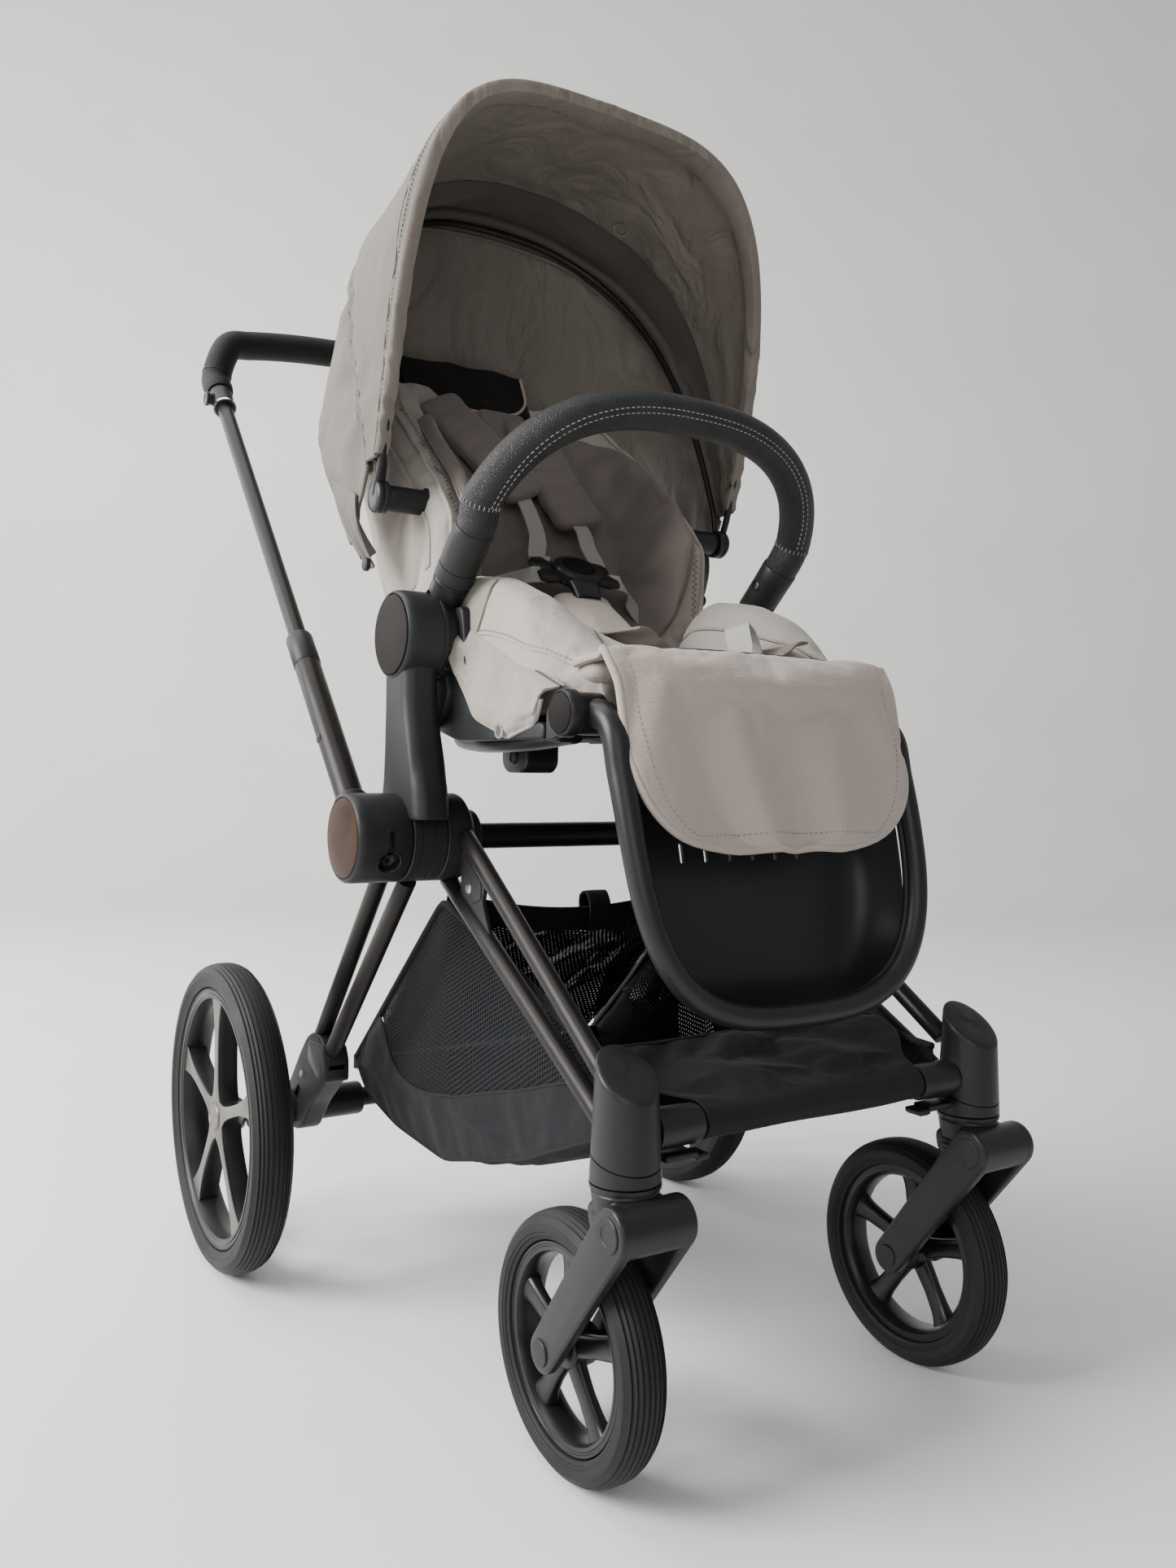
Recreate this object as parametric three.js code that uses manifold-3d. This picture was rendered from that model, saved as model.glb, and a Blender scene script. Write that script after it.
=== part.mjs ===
// Baby stroller: folding tube chassis with four wheels, a seat unit on two posts,
// a three-piece canopy, a telescoping push handle, a footrest and an under-seat basket.
// Millimetres, +Z up, front faces -Y, right-hand side is -X.
import * as THREE from 'three';
import * as BufferGeometryUtils from 'three/addons/utils/BufferGeometryUtils.js';
import Module from 'manifold-3d';

// ---------------------------------------------------------------- driving dimensions
const TRACK_REAR = 561;            // rear tyre centre to rear tyre centre
const REAR_R = 155, REAR_W = 39;   // rear wheel radius and tyre width
const FRONT_R = 95.5, FRONT_W = 36; // front wheel radius and tyre width
const REAR_Y = 250;                // rear axle position
const CASTER_X = 174.3, CASTER_Y = -315.6; // caster swivel axis
const CASTER_TRAIL = 59.6;         // swivel axis to front axle
const BARREL_Y = -341, BARREL_Z = 207; // horizontal barrel of the fork
const HUB_Y = -9, HUB_Z = 452, HUB_R = 39; // fold hub axis
const HUB_X = [262, 212, 179.5, 138.5]; // outer face, two running seams, flange end
const SEAT_Y = -5, SEAT_Z = 630, SEAT_R = 39.5; // recline axis
const SEAT_X = [218, 178.5, 157];  // outer face, seam, inner end
const HANDLE_X = 241, HANDLE_ANGLE = 48; // handle tube plane and lean
const SLEEVE_R = 12.5, SLIM_R = 8.6, GRIP_R = 16.5;
const LEG_R = 8;                   // chassis leg tubes
const REAR_LEG_X = 201;            // plane of the rear leg pairs
const GAP = 0.3;                   // clearance between touching pieces
const CANOPY = {                   // canopy bows: half width, height, lean, corner shape, set-back
  front: { w: 210, h: 408, a: 109.5, ex: 3.84, ey: 3.94, b: 57, y: 62, z: 765 },
  mid: { w: 210, h: 377, a: 74.5, ex: 2.45, ey: 3.48, b: 65, y: 62, z: 765 },
  rear: { w: 200, h: 275, a: 50, ex: 4.6, ey: 4.6, b: 0, y: 115, z: 712 },
};
const FOOT = { w: 145.5, l: 245, a: 21, ex: 3, ey: 4.25, b: 32.5, y: -245, z: 555 }; // footrest tube
const BAR = { wf: 171, wm: 191, l: 279.5, a: 32.4, ex: 2.56, ey: 3.93, y: 45.2, z: 618.5, bow: 0.2586 }; // bumper bar
const BACK_A = 62;                 // backrest lean above horizontal
const CENTRE_Y = 67.8375;          // brings the footprint centre onto the origin

// ---------------------------------------------------------------- helpers
const wasm = await Module(); wasm.setup();
const V = (x, y, z) => new THREE.Vector3(x, y, z);
const rad = (d) => d * Math.PI / 180;
function clean(g) {
  g = g.index ? g : g;
  g.deleteAttribute('normal'); g.deleteAttribute('uv');
  return BufferGeometryUtils.mergeVertices(g, 1e-4);
}
function toM(g) {
  const c = clean(g.clone());
  return new wasm.Manifold(new wasm.Mesh({ numProp: 3, vertProperties: new Float32Array(c.attributes.position.array), triVerts: new Uint32Array(c.index.array) }));
}
function fromM(m) {
  const o = m.getMesh(); const g = new THREE.BufferGeometry();
  const p = new Float32Array(o.numVert * 3);
  for (let i = 0; i < o.numVert; i++) for (let k = 0; k < 3; k++) p[3 * i + k] = o.vertProperties[o.numProp * i + k];
  g.setAttribute('position', new THREE.BufferAttribute(p, 3));
  g.setIndex(new THREE.BufferAttribute(new Uint32Array(o.triVerts), 1));
  return g;
}
const cut = (a, ...bs) => fromM(bs.reduce((m, b) => m.subtract(toM(b)), toM(a)));
const join = (a, ...bs) => fromM(bs.reduce((m, b) => m.add(toM(b)), toM(a)));
// section points in (y, z), pushed along X from xa to xb
function prismX(pts, xa, xb) {
  const s = new THREE.Shape(pts.map(p => new THREE.Vector2(p[0], p[1])));
  const g = new THREE.ExtrudeGeometry(s, { depth: Math.abs(xb - xa), bevelEnabled: false, curveSegments: 8 });
  g.applyMatrix4(new THREE.Matrix4().set(0, 0, 1, Math.min(xa, xb), 1, 0, 0, 0, 0, 1, 0, 0, 0, 0, 0, 1));
  return g;
}
function cylX(y, z, r, xa, xb, n = 28, r2 = r) { // r at the lower x, r2 at the higher
  const g = new THREE.CylinderGeometry(r2, r, Math.abs(xb - xa), n);
  g.rotateZ(-Math.PI / 2);
  g.translate((xa + xb) / 2, y, z); return g;
}
function cylBetween(a, b, r, n = 14, r2 = r) {
  const d = b.clone().sub(a); const g = new THREE.CylinderGeometry(r2, r, d.length(), n);
  g.applyQuaternion(new THREE.Quaternion().setFromUnitVectors(V(0, 1, 0), d.clone().normalize()));
  g.translate((a.x + b.x) / 2, (a.y + b.y) / 2, (a.z + b.z) / 2); return g;
}
function latheX(profile, n, y, z) { // profile of [x, r]
  const g = new THREE.LatheGeometry(profile.map(p => new THREE.Vector2(p[1], p[0])), n);
  g.rotateZ(-Math.PI / 2); // lathe axis Y onto X
  g.translate(0, y, z); return g;
}
function latheZ(profile, n, x, y) { // profile of [z, r], rising
  const g = new THREE.LatheGeometry(profile.map(p => new THREE.Vector2(p[1], p[0])), n);
  g.rotateX(Math.PI / 2); g.translate(x, y, 0); return g;
}
function circle(r, n, r2 = r) {
  return new THREE.Shape(Array.from({ length: n }, (_, i) => new THREE.Vector2(r * Math.cos(2 * Math.PI * i / n), r2 * Math.sin(2 * Math.PI * i / n))));
}
function sweep(pts, r, n = 10, steps = 0) {
  const c = new THREE.CatmullRomCurve3(pts, false, 'centripetal');
  return new THREE.ExtrudeGeometry(circle(r, n), { steps: steps || (pts.length - 1) * 2, extrudePath: c, bevelEnabled: false });
}
const box = (x0, x1, y0, y1, z0, z1) => { const g = new THREE.BoxGeometry(x1 - x0, y1 - y0, z1 - z0); g.translate((x0 + x1) / 2, (y0 + y1) / 2, (z0 + z1) / 2); return g; };
// reverses the faces of a closed surface that encloses a negative volume
function orient(g) {
  const p = g.attributes.position, ix = g.index.array; let vol = 0;
  const a = V(0, 0, 0), b = V(0, 0, 0), c = V(0, 0, 0);
  for (let i = 0; i < ix.length; i += 3) { a.fromBufferAttribute(p, ix[i]); b.fromBufferAttribute(p, ix[i + 1]); c.fromBufferAttribute(p, ix[i + 2]); vol += a.dot(b.cross(c)); }
  if (vol < 0) for (let i = 0; i < ix.length; i += 3) { const t = ix[i]; ix[i] = ix[i + 1]; ix[i + 1] = t; }
  return g;
}
// thin curved slab: f(u, v, w) with u, v in 0..1 along the surface and w 0 or 1 through it
function slab(nu, nv, f) {
  const g = new THREE.BoxGeometry(1, 1, 1, nu, nv, 1); g.deleteAttribute('normal'); g.deleteAttribute('uv');
  const m = BufferGeometryUtils.mergeVertices(g, 1e-6); const p = m.attributes.position;
  for (let i = 0; i < p.count; i++) { const q = f(p.getX(i) + 0.5, p.getY(i) + 0.5, p.getZ(i) + 0.5); p.setXYZ(i, q.x, q.y, q.z); }
  return orient(m);
}
// value read off a table of [position, value]
function lerpAt(t, v) {
  for (let i = 1; i < t.length; i++) if (v <= t[i][0]) { const f = (v - t[i - 1][0]) / (t[i][0] - t[i - 1][0]); return t[i - 1][1] + f * (t[i][1] - t[i - 1][1]); }
  return t[t.length - 1][1];
}
const sgnpow = (v, e) => Math.sign(v) * Math.pow(Math.abs(v), e);
// point of a bow; u from -1 (right foot) to 1 (left foot), even in arc angle; grow widens it
function bow(c, u, grow = 0) {
  const t = u * Math.PI / 2, x = (c.w + grow) * sgnpow(Math.sin(t), 2 / c.ex), s = Math.pow(Math.max(Math.cos(t), 0), 2 / c.ey);
  const S = s * (c.h + grow);
  return V(x, c.y + S * Math.cos(rad(c.a)) + c.b * s * s, c.z + S * Math.sin(rad(c.a)));
}
function even(fn, n, a = -1, b = 1) { // n+1 points spaced evenly by length
  const raw = Array.from({ length: 401 }, (_, i) => fn(a + (b - a) * i / 400));
  const L = [0]; for (let i = 1; i < raw.length; i++) L.push(L[i - 1] + raw[i].distanceTo(raw[i - 1]));
  const out = []; let k = 0;
  for (let j = 0; j <= n; j++) {
    const t = L[400] * j / n; while (k < 399 && L[k + 1] < t) k++;
    out.push(raw[k].clone().lerp(raw[k + 1], (t - L[k]) / Math.max(L[k + 1] - L[k], 1e-9)));
  }
  return out;
}
const root = new THREE.Group(); root.position.set(0, -CENTRE_Y, 0);
const MAT = {
  frame: ['#1d1c1c', 0.38, 0.75], plastic: ['#141516', 0.55, 0], plastic2: ['#1a1b1c', 0.42, 0], tyre: ['#101010', 0.75, 0],
  rim: ['#161616', 0.45, 0.2], spoke: ['#5d5a56', 0.4, 0.6], leather: ['#17181a', 0.5, 0], chrome: ['#c9ccce', 0.12, 1],
  copper: ['#4a2f22', 0.35, 0.8], fabric: ['#8d847a', 0.85, 0], lining: ['#7a6d66', 0.85, 0], mesh: ['#17181a', 0.9, 0],
  cloth: ['#16171a', 0.9, 0], webbing: ['#a9aaa4', 0.7, 0],
};
function add(name, g, mat) {
  const [c, r, m] = MAT[mat];
  const mesh = new THREE.Mesh(clean(g), new THREE.MeshStandardMaterial({ color: c, roughness: r, metalness: m }));
  mesh.name = name; root.add(mesh);
}
const sides = [['right', -1], ['left', 1]];
const mirror = (s, g) => { // build on +X, reflect for the right side
  if (s > 0) return g;
  const m = clean(g); m.scale(-1, 1, 1);
  const ix = m.index.array; for (let i = 0; i < ix.length; i += 3) { const t = ix[i]; ix[i] = ix[i + 1]; ix[i + 1] = t; }
  return m;
};

// ---------------------------------------------------------------- wheels
function tyre(R, W, t) { // closed crown section
  const h = W / 2;
  return [[-h + 4, R - t], [-h, R - t + 6], [-h, R - 9], [-7, R], [7, R], [h, R - 9], [h, R - t + 6], [h - 4, R - t], [-h + 4, R - t]];
}
function rim(R, t, W, n, spokeW, hubR, boreR, x0, y, z, lip) {
  const r = R - t - GAP, h = W / 2 - 6;
  let g = latheX([[-h, r - 9], [-h, r], [h, r], [h, r - 9], [-h, r - 9]].map(p => [p[0] + x0, p[1]]), n, y, z);
  const parts = [latheX([[-h, boreR], [-h, hubR], [h - 1, hubR], [h - 1, boreR], [-h, boreR]].map(p => [p[0] + x0, p[1]]), 18, y, z)];
  for (let i = 0; i < 5; i++) {
    const b = box(x0 + 1, x0 + h - 3, -spokeW / 2, spokeW / 2, hubR - 3, r - 5);
    b.rotateX(2 * Math.PI * i / 5); b.translate(0, y, z); parts.push(b);
  }
  return join(g, ...parts);
}
for (const [side, s] of sides) {
  const xr = TRACK_REAR / 2;
  add('rear_tyre_' + side, mirror(s, latheX(tyre(REAR_R, REAR_W, 24).map(p => [p[0] + xr, p[1]]), 32, REAR_Y, REAR_R)), 'tyre');
  add('rear_rim_' + side, mirror(s, rim(REAR_R, 24, REAR_W, 32, 20, 20, 6.4, xr, REAR_Y, REAR_R)), 'spoke');
  const fy = CASTER_Y + CASTER_TRAIL;
  add('front_tyre_' + side, mirror(s, latheX(tyre(FRONT_R, FRONT_W, 21).map(p => [p[0] + CASTER_X, p[1]]), 28, fy, FRONT_R)), 'tyre');
  add('front_rim_' + side, mirror(s, rim(FRONT_R, 21, FRONT_W, 28, 15, 15, 5.4, CASTER_X, fy, FRONT_R)), 'rim');

  // fork: ring collar, neck, horizontal barrel, two trailing arms and the axle, one rigid casting
  const axleA = V(CASTER_X - 31, fy, FRONT_R), up = Math.atan2(BARREL_Z - FRONT_R, BARREL_Y - fy);
  const armPts = []; const arc = (cy, cz, r, a0, a1, n) => { for (let i = 0; i <= n; i++) { const a = a0 + (a1 - a0) * i / n; armPts.push([cy + r * Math.cos(a), cz + r * Math.sin(a)]); } };
  arc(fy, FRONT_R, 14.5, up + Math.PI / 2, up + 1.5 * Math.PI, 5); arc(BARREL_Y, BARREL_Z, 17.5, up - Math.PI / 2, up + Math.PI / 2, 5);
  const arm = (xa, xb) => prismX(armPts, xa, xb);
  const neck = latheZ([[196, 0], [196, 20], [214, 22.5], [231, 25.2], [231, 0]], 18, CASTER_X, CASTER_Y);
  const fork = join(neck,
    cylX(BARREL_Y, BARREL_Z, 18, CASTER_X - 24, CASTER_X + 24, 16),
    arm(CASTER_X + 20.5, CASTER_X + 30.5), arm(CASTER_X - 30.5, CASTER_X - 20.5),
    cylX(fy, FRONT_R, 5, CASTER_X - 28, CASTER_X + 28, 14));
  const wheelVoid = cut(cylX(fy, FRONT_R, FRONT_R + 2.2, CASTER_X - 19.8, CASTER_X + 19.8, 40), cylX(fy, FRONT_R, 5.02, CASTER_X - 30, CASTER_X + 30, 14));
  add('caster_fork_' + side, mirror(s, cut(fork, wheelVoid)), 'plastic2');

  // caster housing: vertical cone cut by a slanted face that falls to the front
  const cone = latheZ([[231.6, 0], [231.6, 25.3], [300, 22.4], [340, 21], [340, 0]], 20, CASTER_X, CASTER_Y);
  const slab1 = box(-60, 60, -80, 80, 0, 80); slab1.rotateX(rad(34)); slab1.translate(CASTER_X, CASTER_Y, 305.7);
  add('caster_housing_' + side, mirror(s, cut(cone, slab1)), 'plastic2');
}

// ---------------------------------------------------------------- fold hubs
const hubCyl = (r, xa, xb, n = 28) => cylX(HUB_Y, HUB_Z, r, xa, xb, n);
const sleeveDir = V(0, Math.cos(rad(HANDLE_ANGLE)), Math.sin(rad(HANDLE_ANGLE)));
const hAt = (d) => V(HANDLE_X, HUB_Y + 2, HUB_Z - 2).add(sleeveDir.clone().multiplyScalar(d));
const REAR_FOOT = [[192, 233], [169, 216.5]]; // lower ends of the rear leg pair
const REAR_TOP = [[-9 + 15, HUB_Z + 13], [-9 - 20, HUB_Z - 18]];
const FRONT_FOOT = [[-291, 290], [-291, 257]];
const FRONT_TOP = [[-17, 474], [-12, 414]];
for (const [side, s] of sides) {
  // outer hub turns with the handle; recess for the lock on its front-lower face
  const rec = box(HUB_X[1] + 10, HUB_X[1] + 30, HUB_Y - 40, HUB_Y - 29, HUB_Z - 30, HUB_Z + 4);
  add('handle_hub_' + side, mirror(s, cut(join(hubCyl(HUB_R, HUB_X[1] + GAP, HUB_X[0] - 2), hubCyl(HUB_R - 3, HUB_X[0] - 4, HUB_X[0]), cylBetween(hAt(20), hAt(47), SLEEVE_R + 2.6, 20)), rec)), 'copper');
  add('handle_sleeve_' + side, mirror(s, cut(cylBetween(hAt(47.4), hAt(252), SLEEVE_R, 18), cylBetween(hAt(60), hAt(260), SLIM_R + 0.5, 14))), 'frame');
  // middle hub belongs to the rear frame and carries the seat tongue
  const tongue = box(188, 207, HUB_Y - 11, HUB_Y + 11, HUB_Z + 30, HUB_Z + 76);
  add('rear_hub_' + side, mirror(s, join(hubCyl(HUB_R, HUB_X[2] + GAP, HUB_X[1] - GAP), tongue)), 'plastic');
  for (let k = 0; k < 2; k++) {
    const a = V(REAR_LEG_X, ...REAR_TOP[k]), b = V(REAR_LEG_X + 3, ...REAR_FOOT[k]);
    add(['rear_leg_upper_', 'rear_leg_lower_'][k] + side, mirror(s, cut(cylBetween(a, b, LEG_R + 0.4, 12), hubCyl(HUB_R + 0.35, 160, 230, 28))), 'frame');
  }
  // front leg: two tubes tied by a bolted plate just below the hub
  const legs = [0, 1].map(k => cylBetween(V(162, ...FRONT_TOP[k]), V(170, ...FRONT_FOOT[k]), LEG_R, 12));
  const tie = prismX([[-44, 450], [-44, 396], [-60, 388], [-104, 366], [-96, 378], [-84, 400], [-92, 422]], 161.5, 166);
  add('front_leg_' + side, mirror(s, cut(join(...legs, tie), hubCyl(HUB_R + 0.35, 130, 178, 28),
    latheZ([[200, 0], [200, 26.4], [231.6, 25.65], [300, 22.75], [340, 21.35], [340, 0]], 20, CASTER_X, CASTER_Y))), 'frame');
  // inner hub belongs to the front frame and ends in a flange for the cross tube
  add('front_hub_' + side, mirror(s, latheX([[HUB_X[2] - GAP, 0], [HUB_X[2] - GAP, HUB_R], [156, HUB_R], [149, 30], [147, 24], [HUB_X[3], 24], [HUB_X[3], 0]].reverse(), 24, HUB_Y, HUB_Z)), 'plastic');
}
add('hub_cross_tube', cylX(HUB_Y, HUB_Z, 11.8, -HUB_X[3] + GAP, HUB_X[3] - GAP, 20), 'frame');

// ---------------------------------------------------------------- front cross tube, levers
add('front_cross_tube', cut(cylX(CASTER_Y + 3, 262, 11.5, -CASTER_X + 15, CASTER_X - 15, 16),
  ...[-1, 1].map(s => latheZ([[200, 0], [200, 26.4], [231.6, 25.65], [300, 22.75], [340, 21.35], [340, 0]], 20, s * CASTER_X, CASTER_Y))), 'plastic');
for (const [side, s] of sides) add('swivel_lock_' + side, mirror(s, join(box(118, 146, CASTER_Y - 9, CASTER_Y + 9, 240, 245), box(108, 119, CASTER_Y - 9, CASTER_Y + 9, 238, 242.5))), 'plastic2');

// ---------------------------------------------------------------- rear brackets, axle, brake
for (const [side, s] of sides) {
  const X0 = REAR_LEG_X - 7, X1 = REAR_LEG_X + 12;
  const pts = [[150, 226], [166, 242], [186, 246], [206, 238], [226, 218], [262, 176], [268, 156], [262, 138], [244, 132], [222, 138], [196, 168], [150, 204]];
  const bracket = cut(prismX(pts, X0 - 4, X1), ...[0, 1].map((k) => { const a = V(REAR_LEG_X, ...REAR_TOP[k]), b = V(REAR_LEG_X + 3, ...REAR_FOOT[k]); return cylBetween(a, b.clone().add(b.clone().sub(a).setLength(1)), LEG_R + 1.0, 12); }),
    box(X1 - 3, X1 + 3, 196, 214, 158, 164));
  add('rear_bracket_' + side, mirror(s, join(bracket, cylX(REAR_Y, REAR_R, 17.5, X1 - 2, 258, 18), cylX(REAR_Y, REAR_R, 6, 256, TRACK_REAR / 2 + 11, 14))), 'plastic');
}
add('rear_axle_tube', join(cylX(REAR_Y, REAR_R, 17.5, -189.6, -136, 18), cylX(REAR_Y, REAR_R, 10, -140, 140, 16), cylX(REAR_Y, REAR_R, 17.5, 136, 189.6, 18)), 'frame');
add('brake_pedal', cut(join(box(-46, 46, REAR_Y + 6, REAR_Y + 52, REAR_R + 6, REAR_R + 12), cylX(REAR_Y, REAR_R, 15.5, -34, 34, 18)), cylX(REAR_Y, REAR_R, 10.5, -60, 60, 16)), 'plastic2');

// ---------------------------------------------------------------- push handle (telescoping upper part)
for (const [side, s] of sides) {
  const c = cylBetween(hAt(640), hAt(668), 12.4, 14);
  add('handle_tube_' + side, mirror(s, cut(join(cylBetween(hAt(128), hAt(645), SLIM_R, 12), c), cylX(hAt(655).y, hAt(655).z, 7.2, HANDLE_X + 7, HANDLE_X + 20, 12))), 'frame');
  add('height_button_' + side, mirror(s, join(cylX(hAt(655).y, hAt(655).z, 6.7, HANDLE_X + 11, HANDLE_X + 17, 12), cylX(hAt(655).y, hAt(655).z, 8.2, HANDLE_X + 16.5, HANDLE_X + 20, 12))), 'plastic2');
}
{
  const a = hAt(669.6), b = hAt(700), y1 = 474, z1 = 1016;
  const P = [V(-a.x, a.y, a.z), V(-b.x + 1, b.y, b.z), V(-224, y1 - 8, z1 - 4), V(-196, y1 + 2, z1 + 6), V(-120, y1 + 4, z1 + 16), V(0, y1 + 4, z1 + 20)];
  const Q = P.slice(0, -1).reverse().map(p => V(-p.x, p.y, p.z));
  add('grip', sweep([...P, ...Q], GRIP_R, 10, 22), 'leather');
}

// ---------------------------------------------------------------- seat posts and seat hubs
for (const [side, s] of sides) {
  const P = [[-62, 470], [-56, 500], [-42, 528], [-33, 556], [-31, 600], [-31, 640], [18, 640], [18, 560], [20, 500], [24, 470]];
  const post = cut(prismX(P, 180.5, 215), hubCyl(HUB_R + 0.6, 170, 225, 28), box(187.2, 207.8, HUB_Y - 11.8, HUB_Y + 11.8, HUB_Z, HUB_Z + 82));
  const hub = join(cylX(SEAT_Y, SEAT_Z, SEAT_R, SEAT_X[1], SEAT_X[0] - 2, 28), cylX(SEAT_Y, SEAT_Z, SEAT_R - 4, SEAT_X[0] - 4, SEAT_X[0], 28));
  add('seat_post_' + side, mirror(s, cut(join(post, hub), cylX(SEAT_Y, SEAT_Z, 12, SEAT_X[1] - 2, SEAT_X[1] + 8.4, 20))), 'plastic');
}

// ---------------------------------------------------------------- bumper bar
function bar(s) { // centre line from u=-1 (right foot) to 1
  const t = s * Math.PI / 2, S = Math.pow(Math.max(Math.cos(t), 0), 2 / BAR.ey), f = S;
  let x = BAR.wm * sgnpow(Math.sin(t), 2 / BAR.ex); x *= 1 - (1 - BAR.wf / BAR.wm) * Math.pow(1 - f, 1.5);
  const th = rad(BAR.a) + BAR.bow * f, L = S * BAR.l;
  return V(x, BAR.y - L * Math.cos(th), BAR.z + L * Math.sin(th));
}
const barPts = even(bar, 60); // right foot to left foot
const dist = (i) => { let d = 0; for (let k = 1; k <= i; k++) d += barPts[k].distanceTo(barPts[k - 1]); return d; };
const STEP = dist(1);
const onBar = (d) => { const k = Math.min(58, Math.floor(d / STEP)); return barPts[k].clone().lerp(barPts[k + 1], d / STEP - k); };
const A1 = onBar(100), A2 = onBar(118), ARM_X = 171.5; A1.x = -ARM_X; A2.x = -ARM_X; const armDir = A2.clone().sub(A1).normalize();
const mx = (p) => V(-p.x, p.y, p.z);
for (const [side, s] of sides) {
  // arm rises from the inner seat hub and ends in a spigot
  const a = mx(A1), d = V(0, armDir.y, armDir.z).normalize(), root0 = a.clone().addScaledVector(d, -44);
  const arm = join(cylX(SEAT_Y, SEAT_Z, 35, SEAT_X[2], SEAT_X[1] - GAP, 22), cylBetween(root0, a, 16.5, 14), cylBetween(a.clone().addScaledVector(d, -4), a.clone().addScaledVector(d, 34), 8.5, 12),
    prismX([[SEAT_Y + 30, SEAT_Z - 26], [SEAT_Y - 26, SEAT_Z + 20], [-60, 560], [-190, 548], [-190, 562 - 26], [-40, 536], [0, 548]].reverse(), SEAT_X[2], SEAT_X[2] + 12));
  add('seat_side_' + side, mirror(s, cut(arm, cylX(SEAT_Y, SEAT_Z, 12, SEAT_X[2] - 2, SEAT_X[1] + 2, 20), cylX(SEAT_Y, SEAT_Z, SEAT_R + 0.6, SEAT_X[1] - 0.25, 230, 28))), 'plastic');
}
{
  // straight sleeve axes, then the arch between them
  const ends = sides.map(([side, s]) => { const a = mx(A1), d = V(0, armDir.y, armDir.z).normalize(); return { side, s, a, d }; })[1];
  const { a, d } = ends; const s0 = a.clone().addScaledVector(d, GAP), s1 = a.clone().addScaledVector(d, 56);
  const mid = even((u) => bar(u), 40).filter(p => { const q = p.clone().sub(V(Math.sign(p.x) * s1.x, s1.y, s1.z)); return q.dot(d) > 16; });
  const sl = () => cut(cylBetween(s0, s1, 17.6, 14), cylBetween(a.clone().addScaledVector(d, -1), a.clone().addScaledVector(d, 37), 9.3, 12), cylX(a.y + d.y * 32, a.z + d.z * 32, 4.2, 150, s0.x - 8, 10));
  const e = s1.clone().addScaledVector(d, -6);
  add('bumper_bar', join(sweep([mx(e), mx(s1.clone().addScaledVector(d, 8)), ...mid, s1.clone().addScaledVector(d, 8), e], 17, 10, 22), sl(), mirror(-1, sl())), 'leather');
  for (const [side, s] of sides) add('bumper_button_' + side, mirror(s, cylX(a.y + d.y * 32, a.z + d.z * 32, 3.7, s0.x - 18.5, s0.x - 11.9, 10)), 'chrome');
}

// ---------------------------------------------------------------- seat frame, pan and cushions
{
  const rim0 = [V(-146, -197, 541), V(-146, -120, 536), V(-146, -40, 536), V(-139, 8, 541), V(-112, 33, 548), V(0, 40, 552)];
  const rimPts = [...rim0, ...rim0.slice(0, -1).reverse().map(p => V(-p.x, p.y, p.z))];
  const hinge = () => join(cylX(-216, 556, 18.5, 160, 172, 20), cylX(-216, 556, 7, 134.6, 162, 12), box(160.3, 168.5, -206, -190.5, 534, 562), box(142, 161, -198.9, -190.5, 534, 550));
  add('seat_frame', join(sweep(rimPts, 8, 8, 16), cut(box(-134, 134, -205, 16, 543, 556), box(-30, 30, -40, 0, 530, 570)), box(-146, -120, -150, -60, 536, 550), box(120, 146, -150, -60, 536, 550),
    box(98, 131, -96, -52, 510, 545), box(-131, -98, -96, -52, 510, 545), hinge(), mirror(-1, hinge())), 'plastic');
  // pull loop below the pan
  add('pull_loop', sweep([V(-62, -150, 541.5), V(-62, -152, 524), V(-54, -156, 506), V(-36, -158, 499), V(0, -158, 498), V(36, -158, 499), V(54, -156, 506), V(62, -152, 524), V(62, -150, 541.5)], 5.5, 6, 16), 'plastic2');
  // cushion with raised side bolsters, open to the front
  const seatSec = (v) => { // v 0 back .. 1 front: y, top of cushion, top of bolster
    const y = 15 - 231 * v; return [y, 598 + 6 * v, lerpAt([[0, 671], [0.15, 685], [0.41, 676], [0.61, 657], [0.78, 630], [0.92, 609], [1, 606]], v)];
  };
  const cush = slab(10, 7, (u, v, w) => {
    const [y, zc, zb] = seatSec(v); const x = -147 + 294 * u, k = Math.pow(Math.abs(2 * u - 1), 5);
    return V(x * (v > 0.9 ? 0.89 : v > 0.7 ? 0.95 : 1), y, w > 0.5 ? zc + (zb - zc) * k : 556.6);
  });
  add('seat_cushion', cush, 'fabric');
}

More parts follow.
